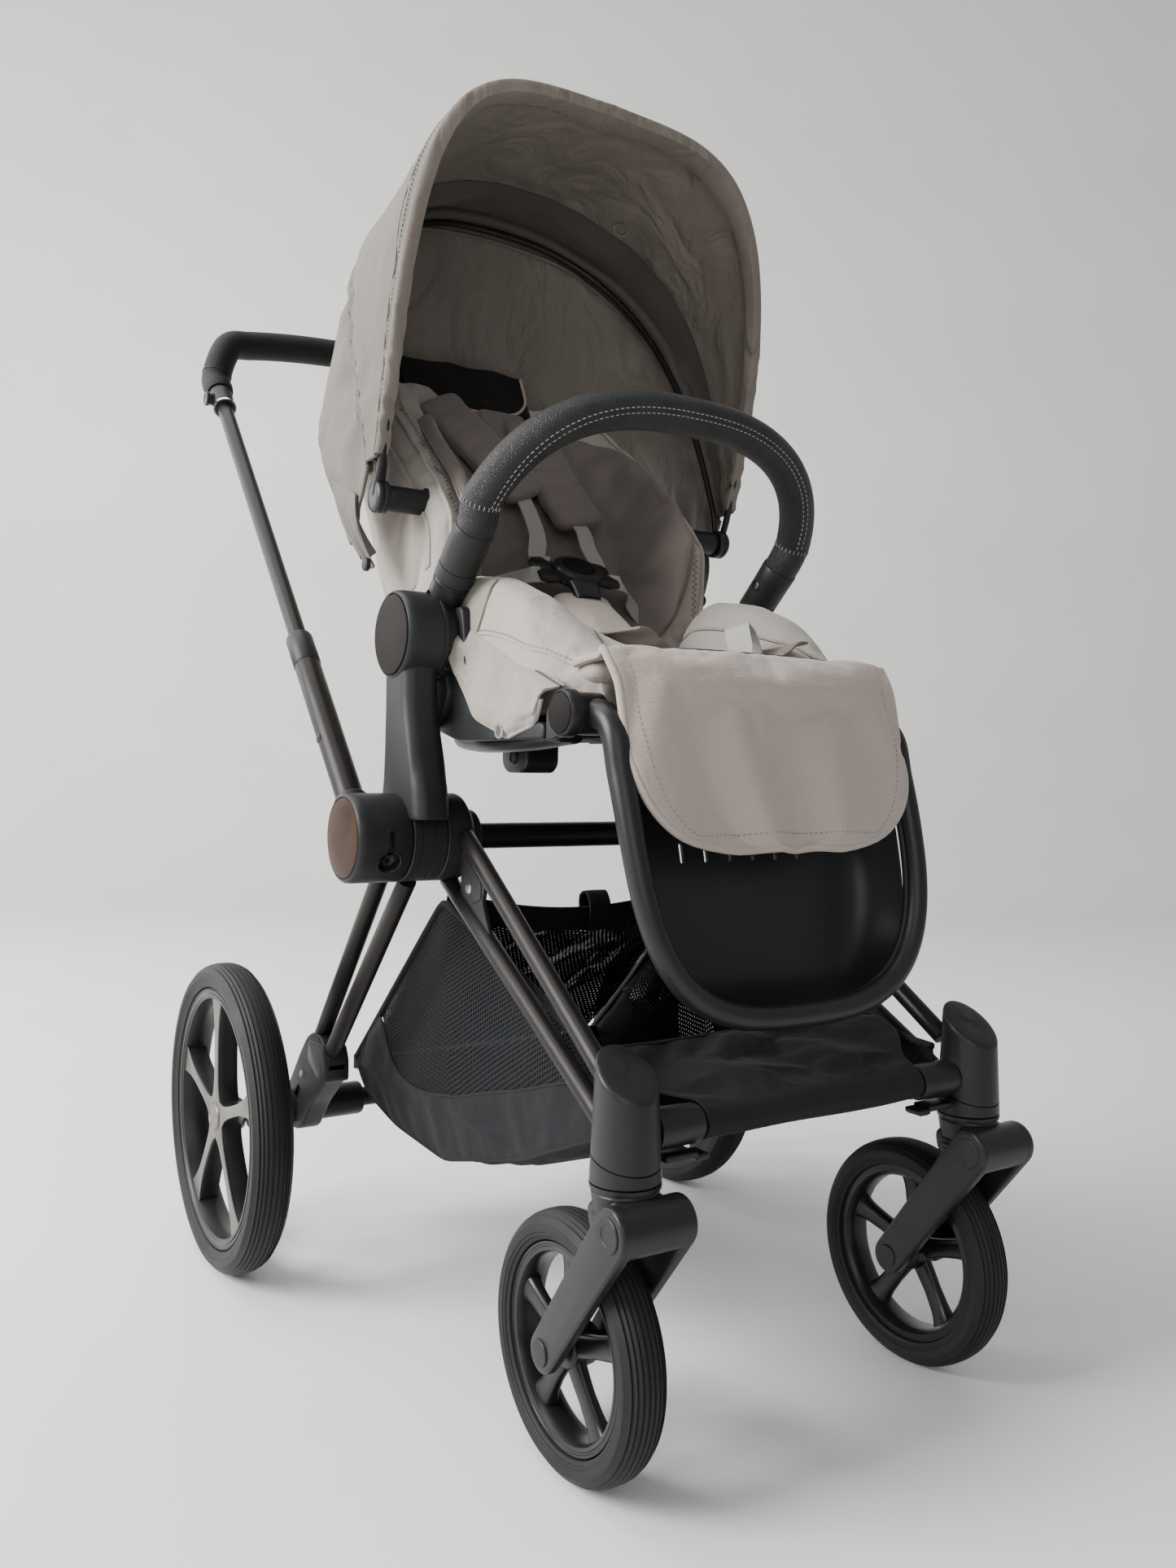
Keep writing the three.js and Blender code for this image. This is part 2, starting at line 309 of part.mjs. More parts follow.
// ---------------------------------------------------------------- backrest
const bd = V(0, Math.cos(rad(BACK_A)), Math.sin(rad(BACK_A))), bn = V(0, -Math.sin(rad(BACK_A)), Math.cos(rad(BACK_A))); // up the back, out of the back
const B0 = V(0, 104, 600); // lower rear corner of the backrest shell
const bp = (x, u, n) => V(x, B0.y, B0.z).addScaledVector(bd, u).addScaledVector(bn, n);
{
  const shell = slab(4, 5, (u, v, w) => {
    const x = -150 + 300 * u, len = 12 + 344 * v;
    return bp(x * (v > 0.8 ? 1 - 0.10 * (v - 0.8) / 0.2 : 1), len, w > 0.5 ? 8 : 0);
  });
  const wing = [[20, 105], [60, 126], [90, 142], [145, 132], [241, 98], [317, 66], [354, 52]]; // height of the side wings up the back
  const pad = slab(12, 8, (u, v, w) => {
    const q = 2 * u - 1, x = 147 * q, len = 20 + 334 * v, k = Math.pow(Math.abs(q), 5), taper = v > 0.75 ? 1 - 0.12 * (v - 0.75) / 0.25 : 1;
    return bp(x * taper, len, w > 0.5 ? 44 + (lerpAt(wing, len) - 44) * k : 8.6);
  });
  add('back_cushion', pad, 'lining');
  // recline arms: from the pin inside the seat hub back to the shell edges
  const arm = () => join(prismX([[-16, 622], [-6, 614.5], [10, 611], [60, 622], [118, 640], [170, 722], [160, 745], [112, 738], [80, 776], [58, 780], [48, 762], [64, 722], [68, 692], [20, 656], [-12, 642]], 148, 156.6),
    cylX(SEAT_Y, SEAT_Z, 11.6, 152.8, 186, 20), cylX(64, 765, 12, 150, 193.7, 16));
  add('back_shell', join(shell, arm(), mirror(-1, arm())), 'plastic');
}
// ---------------------------------------------------------------- canopy
{
  const N = 26, ROD = 3.6;
  const E = {}; for (const k of ['front', 'mid', 'rear']) E[k] = (g, n = N) => even((u) => bow(CANOPY[k], u, g), n);
  const pivot = (xa, xb, r) => cylX(64, 765, r, xa, xb, 18);
  const plate = (xa, xb) => pivot(xa, xb, 15);
  const md = even((u) => bow(CANOPY.mid, u, -14.2), 26).map(p => V(p.x, p.y - 5, p.z)).filter(p => p.z > 800);
  const stub = () => join(cylBetween(V(197.1, 64, 766), V(197.1, 66.5, 790), 3, 8), cylBetween(V(197.1, 66, 787), md[md.length - 1].clone().lerp(md[md.length - 2], 0.1), 3.2, 8));
  add('canopy_bow_mid', join(sweep(md, 3.6, 6, 24), stub(), mirror(-1, stub()), plate(194, 200.2), mirror(-1, plate(194, 200.2))), 'plastic');
  const fr = even((u) => bow(CANOPY.front, u, -6.2), 26).filter(p => p.z > 784);
  add('canopy_bow_front', join(sweep([V(-204.3, 64, 766), V(-204.3, 60, 776), ...fr, V(204.3, 60, 776), V(204.3, 64, 766)], ROD, 6, 26), plate(200.6, 206), mirror(-1, plate(200.6, 206))), 'plastic');
  // fabric panels: thin closed sheets between the bows
  const sheet = (A, B, v0, v1, nv, t, puff, u0, u1) => {
    const a0 = A(0, 120), b0 = B(0, 120);
    return slab(26, nv, (u, v, w) => {
      const uu = u0 + (u1 - u0) * u, k = Math.min(119, Math.floor(uu * 120)), f = uu * 120 - k;
      const pa = a0[k].clone().lerp(a0[k + 1], f), pb = b0[k].clone().lerp(b0[k + 1], f);
      const vv = v0 + (v1 - v0) * v, p = pa.lerp(pb, vv);
      const c = V(0, 110, 780), n = p.clone().sub(c).normalize();
      return p.addScaledVector(n, -1 + t * w - puff * Math.sin(Math.PI * v) * Math.min(1, 5 * Math.min(u, 1 - u)));
    });
  };
  const pf = sheet(E.front, E.mid, 0, 0.985, 3, 2.4, 4, 0.035, 0.965);
  const pr = sheet(E.mid, E.rear, 0.012, 1, 3, 2.4, 4, 0.03, 0.97);
  add('canopy_panel_front', pf, 'fabric');
  add('canopy_panel_rear', pr, 'fabric');
}

// ---------------------------------------------------------------- footrest and calf flap
function footAt(u, grow = 0) {
  const t = u * Math.PI / 2, s = Math.pow(Math.max(Math.cos(t), 0), 2 / FOOT.ey), S = (FOOT.l + grow) * s;
  return V((FOOT.w + grow) * sgnpow(Math.sin(t), 2 / FOOT.ex), FOOT.y - S * Math.sin(rad(FOOT.a)) + FOOT.b * s * s, FOOT.z - S * Math.cos(rad(FOOT.a)));
}
{
  const mid = even((u) => footAt(u), 34).filter(p => p.z < 522);
  const top = [V(145.5, -252, 541), V(145.5, -240, 553), V(145.5, -224, 556.5)];
  const tube = sweep([...top.slice().reverse().map(mx), ...mid, ...top], 9.5, 8, 26);
  const knuckle = () => cut(cylX(-216, 556, 16.5, 136, 159.6, 18), cylX(-216, 556, 7.5, 130, 162, 14));
  // tub: rim wall inside the tube and a back wall set 34 mm behind
  const wall = slab(10, 6, (u, v, w) => {
    const z = 548 - 218 * v, y0 = FOOT.y - 0.29 * (548 - z) * 0.82 - 2; // plane of the tube
    const half = 136.5 * Math.pow(Math.max(1 - Math.pow(Math.max((520 - z) / 192, 0), 4.2), 0.02), 1 / 3);
    const q = 2 * u - 1, x = half * q, dish = 34 * (1 - Math.pow(Math.abs(q), 8)) * (1 - Math.pow(v, 9));
    return V(x, y0 + dish + (w > 0.5 ? 0 : 3.4), z);
  });
  add('footrest', join(tube, knuckle(), mirror(-1, knuckle()), wall), 'plastic2');
  add('calf_flap', slab(8, 6, (u, v, w) => {
    const L = v * 172; // down the drape: over the front edge, then straight down the tub
    const q = 2 * u - 1; let y, z, ny, nz;
    if (L < 30) { const a = L / 30 * 1.25; y = -226 - 24 * Math.sin(a); z = 586 + 24 * Math.cos(a) - 0; ny = -Math.sin(a); nz = Math.cos(a); }
    else { const a = 1.25, d = L - 30; y = -226 - 24 * Math.sin(a) - d * 0.21; z = 586 + 24 * Math.cos(a) - d * 0.976; ny = -0.976; nz = 0.21; }
    const half = 132 * Math.sqrt(Math.max(1 - Math.pow(v, 5), 0.12));
    const o = w > 0.5 ? 7 : 0;
    return V(half * q, y + ny * o, z + nz * o);
  }), 'fabric');
}

// ---------------------------------------------------------------- buckle
{
  const c = V(0, 42, 704), n = bn.clone().negate(); // faces forward and up
  const disc = (r, h0, h1, sy) => { const g = new THREE.CylinderGeometry(r, r, h1 - h0, 20); g.scale(1, 1, sy); g.translate(0, (h0 + h1) / 2, 0); g.applyQuaternion(new THREE.Quaternion().setFromUnitVectors(V(0, 1, 0), V(0, -0.62, 0.785).normalize())); g.translate(c.x, c.y, c.z); return g; };
  add('buckle', cut(disc(27, 0, 16, 0.82), disc(17.4, 8, 20, 0.82)), 'plastic2');
  add('buckle_button', disc(17, 12.2, 18.5, 0.82), 'plastic2');
}

// ---------------------------------------------------------------- basket
{
  // open wedge of cloth: two side walls, a floor that dips at the back and a sloped rear wall
  const P = [[-298, 254], [-298, 285], [-262, 287], [-150, 333], [22, 391], [226, 206], [214, 170], [150, 150], [40, 143], [-129, 191], [-240, 236]];
  const Q = [[-294, 258], [-294, 330], [-262, 330], [-150, 420], [22, 440], [22, 385.5], [219, 206], [208.5, 172.5], [149, 154.5], [40, 147.4], [-128, 195.2], [-239, 240]];
  const narrow = (g) => { const p = g.attributes.position; for (let i = 0; i < p.count; i++) p.setX(i, p.getX(i) * (0.9 + 0.1 * Math.min(1, Math.max(0, (p.getZ(i) - 140) / 60)))); return g; };
  const outer = narrow(clean(prismX(P, -150, 150))), inner = narrow(clean(prismX(Q, -146.5, 146.5)));
  add('basket', cut(outer, inner), 'cloth');
}
export default root;
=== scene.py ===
"""Baby stroller: the visible surfaces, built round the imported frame."""
import bpy, bmesh, math, json
import numpy as np
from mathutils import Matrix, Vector


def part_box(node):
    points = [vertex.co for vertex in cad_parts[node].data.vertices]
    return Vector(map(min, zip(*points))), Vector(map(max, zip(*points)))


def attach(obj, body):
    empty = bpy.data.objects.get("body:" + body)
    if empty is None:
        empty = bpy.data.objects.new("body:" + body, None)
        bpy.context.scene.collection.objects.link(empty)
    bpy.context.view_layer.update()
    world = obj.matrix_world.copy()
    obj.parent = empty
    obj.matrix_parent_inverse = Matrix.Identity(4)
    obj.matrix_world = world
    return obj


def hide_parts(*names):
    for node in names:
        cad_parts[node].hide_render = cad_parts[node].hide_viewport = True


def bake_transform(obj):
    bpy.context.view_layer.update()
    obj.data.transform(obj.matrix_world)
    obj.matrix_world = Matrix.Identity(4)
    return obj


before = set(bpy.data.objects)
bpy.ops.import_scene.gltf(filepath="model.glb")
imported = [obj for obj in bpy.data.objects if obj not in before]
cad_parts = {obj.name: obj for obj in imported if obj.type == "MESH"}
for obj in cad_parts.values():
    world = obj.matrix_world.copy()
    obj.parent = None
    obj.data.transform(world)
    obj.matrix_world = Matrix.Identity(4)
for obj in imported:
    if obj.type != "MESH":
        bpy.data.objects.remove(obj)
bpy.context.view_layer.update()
_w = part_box("rear_tyre_left")
CY = 250.0 - (_w[0].y + _w[1].y) / 2 * 1000          # y of the design sketch minus y of the frame, mm
SIDES = (("right", -1), ("left", 1))
rng = np.random.default_rng(7)

# ------------------------------------------------------------------ geometry helpers (millimetres)
def A(*p): return np.array(p, float)
def unit(v):
    v = np.asarray(v, float); return v / max(np.linalg.norm(v), 1e-12)

class G:
    """verts in mm, faces, optional uv per vertex (metres) and material index per face"""
    def __init__(self, v=None, f=None, uv=None, mi=None):
        self.v = np.zeros((0, 3)) if v is None else np.asarray(v, float).reshape(-1, 3)
        self.f = [] if f is None else [tuple(int(i) for i in q) for q in f]
        self.uv = uv
        self.mi = [0] * len(self.f) if mi is None else list(mi)
    def __add__(self, o):
        n = len(self.v)
        uv = None
        if self.uv is not None or o.uv is not None:
            a = self.uv if self.uv is not None else np.zeros((len(self.v), 2))
            b = o.uv if o.uv is not None else np.zeros((len(o.v), 2))
            uv = np.vstack([a, b])
        return G(np.vstack([self.v, o.v]), self.f + [tuple(i + n for i in q) for q in o.f], uv, self.mi + o.mi)
    def mat(self, k):
        self.mi = [k] * len(self.f); return self
    def flip(self):
        return G(self.v, [q[::-1] for q in self.f], self.uv, self.mi)
    def mirror(self):
        v = self.v.copy(); v[:, 0] *= -1
        return G(v, [q[::-1] for q in self.f], self.uv, self.mi)
    def move(self, x=0, y=0, z=0):
        return G(self.v + A(x, y, z), self.f, self.uv, self.mi)

def rings(R, closed_u=True, cap=True, uv=None):
    """R: (m, n, 3) rings of n points; joins neighbouring rings, optional end caps"""
    m, n, _ = R.shape
    f = []
    for i in range(m - 1):
        for j in range(n if closed_u else n - 1):
            a, b = i * n + j, i * n + (j + 1) % n
            f.append((a, b, b + n, a + n))
    if cap and closed_u:
        f.append(tuple(range(n))[::-1]); f.append(tuple((m - 1) * n + j for j in range(n)))
    return G(R.reshape(-1, 3), f)

def fillet(profile, r, seg=3):
    """rounds the inner corners of an open 2-d polyline"""
    P = [np.array(p, float) for p in profile]; out = [P[0]]
    for i in range(1, len(P) - 1):
        a, b, c = P[i - 1], P[i], P[i + 1]
        la, lc = np.linalg.norm(a - b), np.linalg.norm(c - b)
        rr = r[i] if hasattr(r, "__len__") else r
        d = min(rr, la * 0.45, lc * 0.45)
        if d < 1e-4: out.append(b); continue
        p, q = b + (a - b) / la * d, b + (c - b) / lc * d
        for k in range(seg + 1):
            t = k / seg; out.append((1 - t) ** 2 * p + 2 * t * (1 - t) * b + t * t * q)
    out.append(P[-1]); return np.array(out)

def lathe(profile, n=64, axis="x", c=(0, 0, 0), r=0.0, seg=3):
    """profile [(along, radius)], from low to high along"""
    P = fillet(profile, r, seg) if (hasattr(r, "__len__") or r > 0) else np.array(profile, float)
    t = np.linspace(0, 2 * np.pi, n, endpoint=False); c = A(*c)
    R = np.zeros((len(P), n, 3))
    for i, (h, q) in enumerate(P):
        q = max(q, 1e-3)
        if axis == "x": R[i] = np.stack([np.full(n, h), q * np.cos(t), q * np.sin(t)], 1)
        elif axis == "z": R[i] = np.stack([q * np.cos(t), q * np.sin(t), np.full(n, h)], 1)
        else: R[i] = np.stack([q * np.sin(t), np.full(n, h), q * np.cos(t)], 1)
    g = rings(R + c, cap=True)
    return g

def lathe_closed(profile, n, c, axis="x"):
    """closed loop profile revolved"""
    P = np.array(profile, float); t = np.linspace(0, 2 * np.pi, n, endpoint=False); m = len(P)
    R = np.zeros((m, n, 3))
    for i, (h, q) in enumerate(P):
        R[i] = np.stack([np.full(n, h), q * np.cos(t), q * np.sin(t)], 1) if axis == "x" else np.stack([q * np.cos(t), q * np.sin(t), np.full(n, h)], 1)
    f = []
    for i in range(m):
        k = (i + 1) % m
        for j in range(n):
            l = (j + 1) % n
            f.append((i * n + j, i * n + l, k * n + l, k * n + j))
    return fix(G(R.reshape(-1, 3) + A(*c), f))

def volume(g):
    s = 0.0
    for q in g.f:
        a = g.v[q[0]]
        for k in range(1, len(q) - 1):
            s += np.dot(a, np.cross(g.v[q[k]], g.v[q[k + 1]]))
    return s / 6
def fix(g):
    return g.flip() if volume(g) < 0 else g

def frames(P, up=None):
    P = np.asarray(P, float); T = np.gradient(P, axis=0); T /= np.linalg.norm(T, axis=1)[:, None]
    n0 = np.array(up, float) if up is not None else (A(1, 0, 0) if abs(T[0][0]) < 0.9 else A(0, 0, 1))
    N = [unit(n0 - T[0] * np.dot(n0, T[0]))]
    for i in range(1, len(P)):
        n = N[-1] - T[i] * np.dot(N[-1], T[i]); N.append(unit(n))
    N = np.array(N); return T, N, np.cross(T, N)

def spline(pts, n):
    """centripetal Catmull-Rom through pts, n points evenly by length"""
    P = [np.array(p, float) for p in pts]
    P = [2 * P[0] - P[1]] + P + [2 * P[-1] - P[-2]]
    out = []
    for i in range(1, len(P) - 2):
        p0, p1, p2, p3 = P[i - 1:i + 3]
        t0 = 0; t1 = t0 + max(np.linalg.norm(p1 - p0), 1e-6) ** .5; t2 = t1 + max(np.linalg.norm(p2 - p1), 1e-6) ** .5; t3 = t2 + max(np.linalg.norm(p3 - p2), 1e-6) ** .5
        for t in np.linspace(t1, t2, 24, endpoint=False):
            a1 = (t1 - t) / (t1 - t0) * p0 + (t - t0) / (t1 - t0) * p1; a2 = (t2 - t) / (t2 - t1) * p1 + (t - t1) / (t2 - t1) * p2; a3 = (t3 - t) / (t3 - t2) * p2 + (t - t2) / (t3 - t2) * p3
            b1 = (t2 - t) / (t2 - t0) * a1 + (t - t0) / (t2 - t0) * a2; b2 = (t3 - t) / (t3 - t1) * a2 + (t - t1) / (t3 - t1) * a3
            out.append((t2 - t) / (t2 - t1) * b1 + (t - t1) / (t2 - t1) * b2)
    out.append(P[-2]); return even(np.array(out), n)

def even(P, n):
    L = np.concatenate([[0], np.cumsum(np.linalg.norm(np.diff(P, axis=0), axis=1))])
    t = np.linspace(0, L[-1], n)
    return np.stack([np.interp(t, L, P[:, k]) for k in range(P.shape[1])], 1)

def sweep(P, r, n=24, up=None, round_end=0.0, section=None, cap=True):
    """tube along points P, radius r (number or per point); section(angle)->(a, b) overrides the circle"""
    P = np.asarray(P, float); m = len(P); rr = np.full(m, float(r)) if not hasattr(r, "__len__") else np.asarray(r, float)
    T, N, B = frames(P, up); t = np.linspace(0, 2 * np.pi, n, endpoint=False)
    if section is None: a, b = np.cos(t), np.sin(t)
    else: ab = np.array([section(x) for x in t]); a, b = ab[:, 0], ab[:, 1]
    R = P[:, None, :] + rr[:, None, None] * (a[None, :, None] * N[:, None, :] + b[None, :, None] * B[:, None, :])
    if round_end > 0:  # soft rounded end caps
        k = 3; e0, e1 = [], []
        for i in range(1, k + 1):
            s = i / k * math.pi / 2; sc = 1 - (1 - math.cos(s)) * round_end / rr[0] ; off = math.sin(s) * round_end
            e0.append(P[0] - T[0] * (round_end * math.sin(s) - round_end) * 0 + (R[0] - P[0]) * sc - T[0] * off + T[0] * round_end)
        ee = []
        # simple bevel: shrink first and last ring
        R0 = P[0] + (R[0] - P[0]) * (1 - round_end / rr[0]); R1 = P[-1] + (R[-1] - P[-1]) * (1 - round_end / rr[-1])
        Ra = P[0] + (R[0] - P[0]) * (1 - 0.3 * round_end / rr[0]) + T[0] * round_end * 0.3; Rb = P[-1] + (R[-1] - P[-1]) * (1 - 0.3 * round_end / rr[-1]) - T[-1] * round_end * 0.3
        R = np.concatenate([[R0], [Ra], [R[0] + T[0] * round_end], R[1:-1], [R[-1] - T[-1] * round_end], [Rb], [R1]])
    return fix(rings(R, cap=cap))

def tube(a, b, r, n=32, bev=0.6):
    a, b = A(*a), A(*b); L = np.linalg.norm(b - a)
    return sweep(even(np.array([a, b]), max(2, int(L / 40) + 2)), r, n, round_end=bev)

def ribbon_ring(c, d, r, w=1.0, depth=0.8, n=48):
    """thin dark groove ring sitting round an axis (a slightly sunk band), as a closed ring"""
    d = unit(d); x = unit(np.cross(d, A(0, 0, 1) if abs(d[2]) < .9 else A(1, 0, 0))); y = np.cross(d, x)
    t = np.linspace(0, 2 * np.pi, n, endpoint=False); prof = [(-w / 2, r + depth), (w / 2, r + depth), (w / 2, r - 0.6), (-w / 2, r - 0.6)]
    V = [A(*c) + d * h + q * (np.cos(s) * x + np.sin(s) * y) for h, q in prof for s in t]
    f = []
    for i in range(4):
        k = (i + 1) % 4
        for j in range(n):
            l = (j + 1) % n; f.append((i * n + j, i * n + l, k * n + l, k * n + j))
    return fix(G(np.array(V), f))

def outline(pts, rounds, seg=5):
    """closed 2-d outline with rounded corners; rounds is one radius or one per corner"""
    P = [np.array(p, float) for p in pts]; m = len(P); out = []
    for i in range(m):
        a, b, c = P[i - 1], P[i], P[(i + 1) % m]; r = rounds[i] if hasattr(rounds, "__len__") else rounds
        la, lc = np.linalg.norm(a - b), np.linalg.norm(c - b); d = min(r, la * .49, lc * .49)
        if d < .05: out.append(b); continue
        p, q = b + (a - b) / la * d, b + (c - b) / lc * d
        for k in range(seg + 1):
            t = k / seg; out.append((1 - t) ** 2 * p + 2 * t * (1 - t) * b + t * t * q)
    return np.array(out)

def inset(O, d):
    """moves a closed outline inwards by d (approximate, by vertex normals)"""
    area = 0.5 * np.sum(O[:, 0] * np.roll(O[:, 1], -1) - np.roll(O[:, 0], -1) * O[:, 1]); s = 1 if area > 0 else -1
    e = np.roll(O, -1, 0) - O; e /= np.maximum(np.linalg.norm(e, axis=1), 1e-9)[:, None]
    n = np.stack([-e[:, 1], e[:, 0]], 1) * s; k = n + np.roll(n, 1, 0); k /= np.maximum(np.linalg.norm(k, axis=1), 1e-9)[:, None]
    return O + k * d

def slabx(O, x0, x1, bev=1.2, seg=2, warp=None):
    """rounded-edge plate: outline O in (y, z), from x0 to x1"""
    lv = []
    for k in range(seg + 1):
        t = k / seg * math.pi / 2; lv.append((x0 + bev * (1 - math.sin(t)), bev * (1 - math.cos(t))))
    lv = [(x0 + bev * (1 - math.sin(k / seg * math.pi / 2)), bev * (1 - math.cos(k / seg * math.pi / 2))) for k in range(seg, -1, -1)]
    lv += [(x1 - (a - x0), d) for a, d in lv[::-1]]
    R = np.zeros((len(lv), len(O), 3))
    for i, (x, d) in enumerate(lv):
        o = inset(O, d) if d > 1e-6 else O; R[i] = np.stack([np.full(len(O), x), o[:, 0], o[:, 1]], 1)
    if warp is not None: R = warp(R)
    return fix(rings(R))

def blockbox(x0, x1, y0, y1, z0, z1, bev=1.5):
    O = outline([(y0, z0), (y1, z0), (y1, z1), (y0, z1)], bev * 1.5, 4)
    return slabx(O, x0, x1, bev, 3)

def sheet_shell(S, t, uv=None, edge=True):
    """closed thin shell from a grid S (m, n, 3), thickness t along the grid normal, centred on the grid; flat faces
    close its rim
    """
    m, n, _ = S.shape
    du = np.gradient(S, axis=1); dv = np.gradient(S, axis=0); N = np.cross(du, dv); N /= np.maximum(np.linalg.norm(N, axis=2), 1e-9)[..., None]
    a = S + N * t / 2; b = S - N * t / 2
    V = np.vstack([a.reshape(-1, 3), b.reshape(-1, 3)]); k = m * n; f = []
    for i in range(m - 1):
        for j in range(n - 1):
            p = i * n + j; f.append((p, p + 1, p + n + 1, p + n)); f.append((k + p, k + p + n, k + p + n + 1, k + p + 1))
    for j in range(n - 1):
        f.append((j + 1, j, k + j, k + j + 1)); p = (m - 1) * n + j; f.append((p, p + 1, k + p + 1, k + p))
    for i in range(m - 1):
        p = i * n; f.append((p, p + n, k + p + n, k + p)); p = i * n + n - 1; f.append((p + n, p, k + p, k + p + n))
    U = None
    if uv is None:
        lu = np.concatenate([np.zeros((m, 1)), np.cumsum(np.linalg.norm(np.diff(S, axis=1), axis=2), axis=1)], 1); lv = np.concatenate([np.zeros((1, n)), np.cumsum(np.linalg.norm(np.diff(S, axis=0), axis=2), axis=0)], 0)
        lu = lu - lu[:, [n // 2]]
        uv = np.stack([lu, lv], 2).reshape(-1, 2) / 1000
    U = np.vstack([uv, uv])
    return fix(G(V, f, U))

# ------------------------------------------------------------------ objects
MATS = {}
def make(name, g, mats, body=None, smooth=35, slot=None, replaces=(), sub=0, blendto=None):
    """a mesh object from g; mats is one material or a list by face index"""
    g = G(g.v, g.f, g.uv, g.mi); me = bpy.data.meshes.new(name)
    v = g.v.copy(); v[:, 1] -= CY; v /= 1000.0
    me.from_pydata(v.tolist(), [], [list(q) for q in g.f]); me.validate(clean_customdata=False)
    if len(me.polygons) == len(g.mi): me.polygons.foreach_set("material_index", g.mi)
    if g.uv is not None:
        layer = me.uv_layers.new(name="UV"); vi = np.zeros(len(me.loops), np.int32); me.loops.foreach_get("vertex_index", vi)
        layer.data.foreach_set("uv", np.asarray(g.uv, np.float32)[vi].ravel())
    me.polygons.foreach_set("use_smooth", [True] * len(me.polygons))
    if smooth: me.set_sharp_from_angle(angle=math.radians(smooth))
    o = bpy.data.objects.new(name, me); bpy.context.scene.collection.objects.link(o)
    for m in (mats if isinstance(mats, (list, tuple)) else [mats]): me.materials.append(MATS[m] if isinstance(m, str) else m)
    if sub:
        s = o.modifiers.new("sub", "SUBSURF"); s.levels = sub; s.render_levels = sub
    if body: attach(o, body)
    if replaces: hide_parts(*([replaces] if isinstance(replaces, str) else replaces))
    return o

def pair(name, g, mats, body=None, replaces=None, **k):
    """built on +X; the right-hand copy is its mirror image. body and replaces take a % for the side"""
    out = []
    for side, s in SIDES:
        b = body.replace("%", side) if body else None
        r = [x.replace("%", side) for x in ([replaces] if isinstance(replaces, str) else (replaces or []))]
        out.append(make(name + "_" + side, g if s > 0 else g.mirror(), mats, b, replaces=r, **k))
    return out

# ------------------------------------------------------------------ materials
class M:
    def __init__(self, name, base=(0.5, 0.5, 0.5), rough=0.5, metal=0.0, **k):
        m = bpy.data.materials.new(name); m.use_nodes = True; self.m = m; self.t = m.node_tree; self.t.nodes.clear()
        self.out = self.t.nodes.new("ShaderNodeOutputMaterial"); self.b = self.t.nodes.new("ShaderNodeBsdfPrincipled")
        self.t.links.new(self.b.outputs[0], self.out.inputs[0]); self.b.inputs["Base Color"].default_value = (*base, 1)
        self.b.inputs["Roughness"].default_value = rough; self.b.inputs["Metallic"].default_value = metal
        for a, v in k.items(): self.b.inputs[a.replace("_", " ")].default_value = v
        self.base = base; self.bump_prev = None; MATS[name] = m
    def n(self, kind, **k):
        x = self.t.nodes.new("ShaderNode" + kind)
        for a, v in k.items():
            if a.startswith("i_"): x.inputs[a[2:].replace("_", " ")].default_value = v
            else: setattr(x, a, v)
        return x
    def l(self, a, b): self.t.links.new(a, b); return b
    def coord(self, kind="Object", scale=(1, 1, 1), rot=(0, 0, 0)):
        c = self.n("TexCoord"); p = self.n("Mapping"); p.inputs["Scale"].default_value = scale; p.inputs["Rotation"].default_value = rot
        self.l(c.outputs[kind], p.inputs[0]); return p.outputs[0]
    def noise(self, co, scale, detail=2.0, rough=0.5, dist=0.0):
        x = self.n("TexNoise"); x.inputs["Scale"].default_value = scale; x.inputs["Detail"].default_value = detail; x.inputs["Roughness"].default_value = rough; x.inputs["Distortion"].default_value = dist
        self.l(co, x.inputs["Vector"]); return x.outputs["Fac"]
    def voronoi(self, co, scale, feature="F1", out="Distance", rand=1.0):
        x = self.n("TexVoronoi"); x.feature = feature; x.inputs["Scale"].default_value = scale; x.inputs["Randomness"].default_value = rand; self.l(co, x.inputs["Vector"]); return x.outputs[out]
    def wave(self, co, scale, direction="X", dist=0.0):
        x = self.n("TexWave"); x.bands_direction = direction; x.inputs["Scale"].default_value = scale; x.inputs["Distortion"].default_value = dist; x.inputs["Detail"].default_value = 1.0; self.l(co, x.inputs["Vector"]); return x.outputs["Fac"]
    def ramp(self, f, stops):
        r = self.n("ValToRGB"); self.l(f, r.inputs[0]); e = r.color_ramp.elements
        while len(e) < len(stops): e.new(0.5)
        for i, (p, c) in enumerate(stops):
            e[i].position = p; e[i].color = (*c, 1) if hasattr(c, "__len__") else (c, c, c, 1)
        return r.outputs[0]
    def rng(self, f, a, b, lo=0.0, hi=1.0):
        x = self.n("MapRange"); x.inputs[1].default_value = lo; x.inputs[2].default_value = hi; x.inputs[3].default_value = a; x.inputs[4].default_value = b; self.l(f, x.inputs[0]); return x.outputs[0]
    def math(self, op, a, b=None):
        x = self.n("Math"); x.operation = op
        for i, q in enumerate((a, b)):
            if q is None: continue
            if isinstance(q, (int, float)): x.inputs[i].default_value = q
            else: self.l(q, x.inputs[i])
        return x.outputs[0]
    def bump(self, h, strength=0.3, dist=0.0005):
        x = self.n("Bump"); x.inputs["Strength"].default_value = strength; x.inputs["Distance"].default_value = dist; self.l(h, x.inputs["Height"])
        if self.bump_prev is not None: self.l(self.bump_prev, x.inputs["Normal"])
        self.bump_prev = x.outputs[0]; self.l(x.outputs[0], self.b.inputs["Normal"]); return x
    def color(self, c): self.l(c, self.b.inputs["Base Color"])
    def roughness(self, f, a, b): self.l(self.rng(f, a, b), self.b.inputs["Roughness"])
    def pointy(self, lo=0.48, hi=0.56):
        g = self.n("NewGeometry"); return self.rng(g.outputs["Pointiness"], 0, 1, lo, hi)

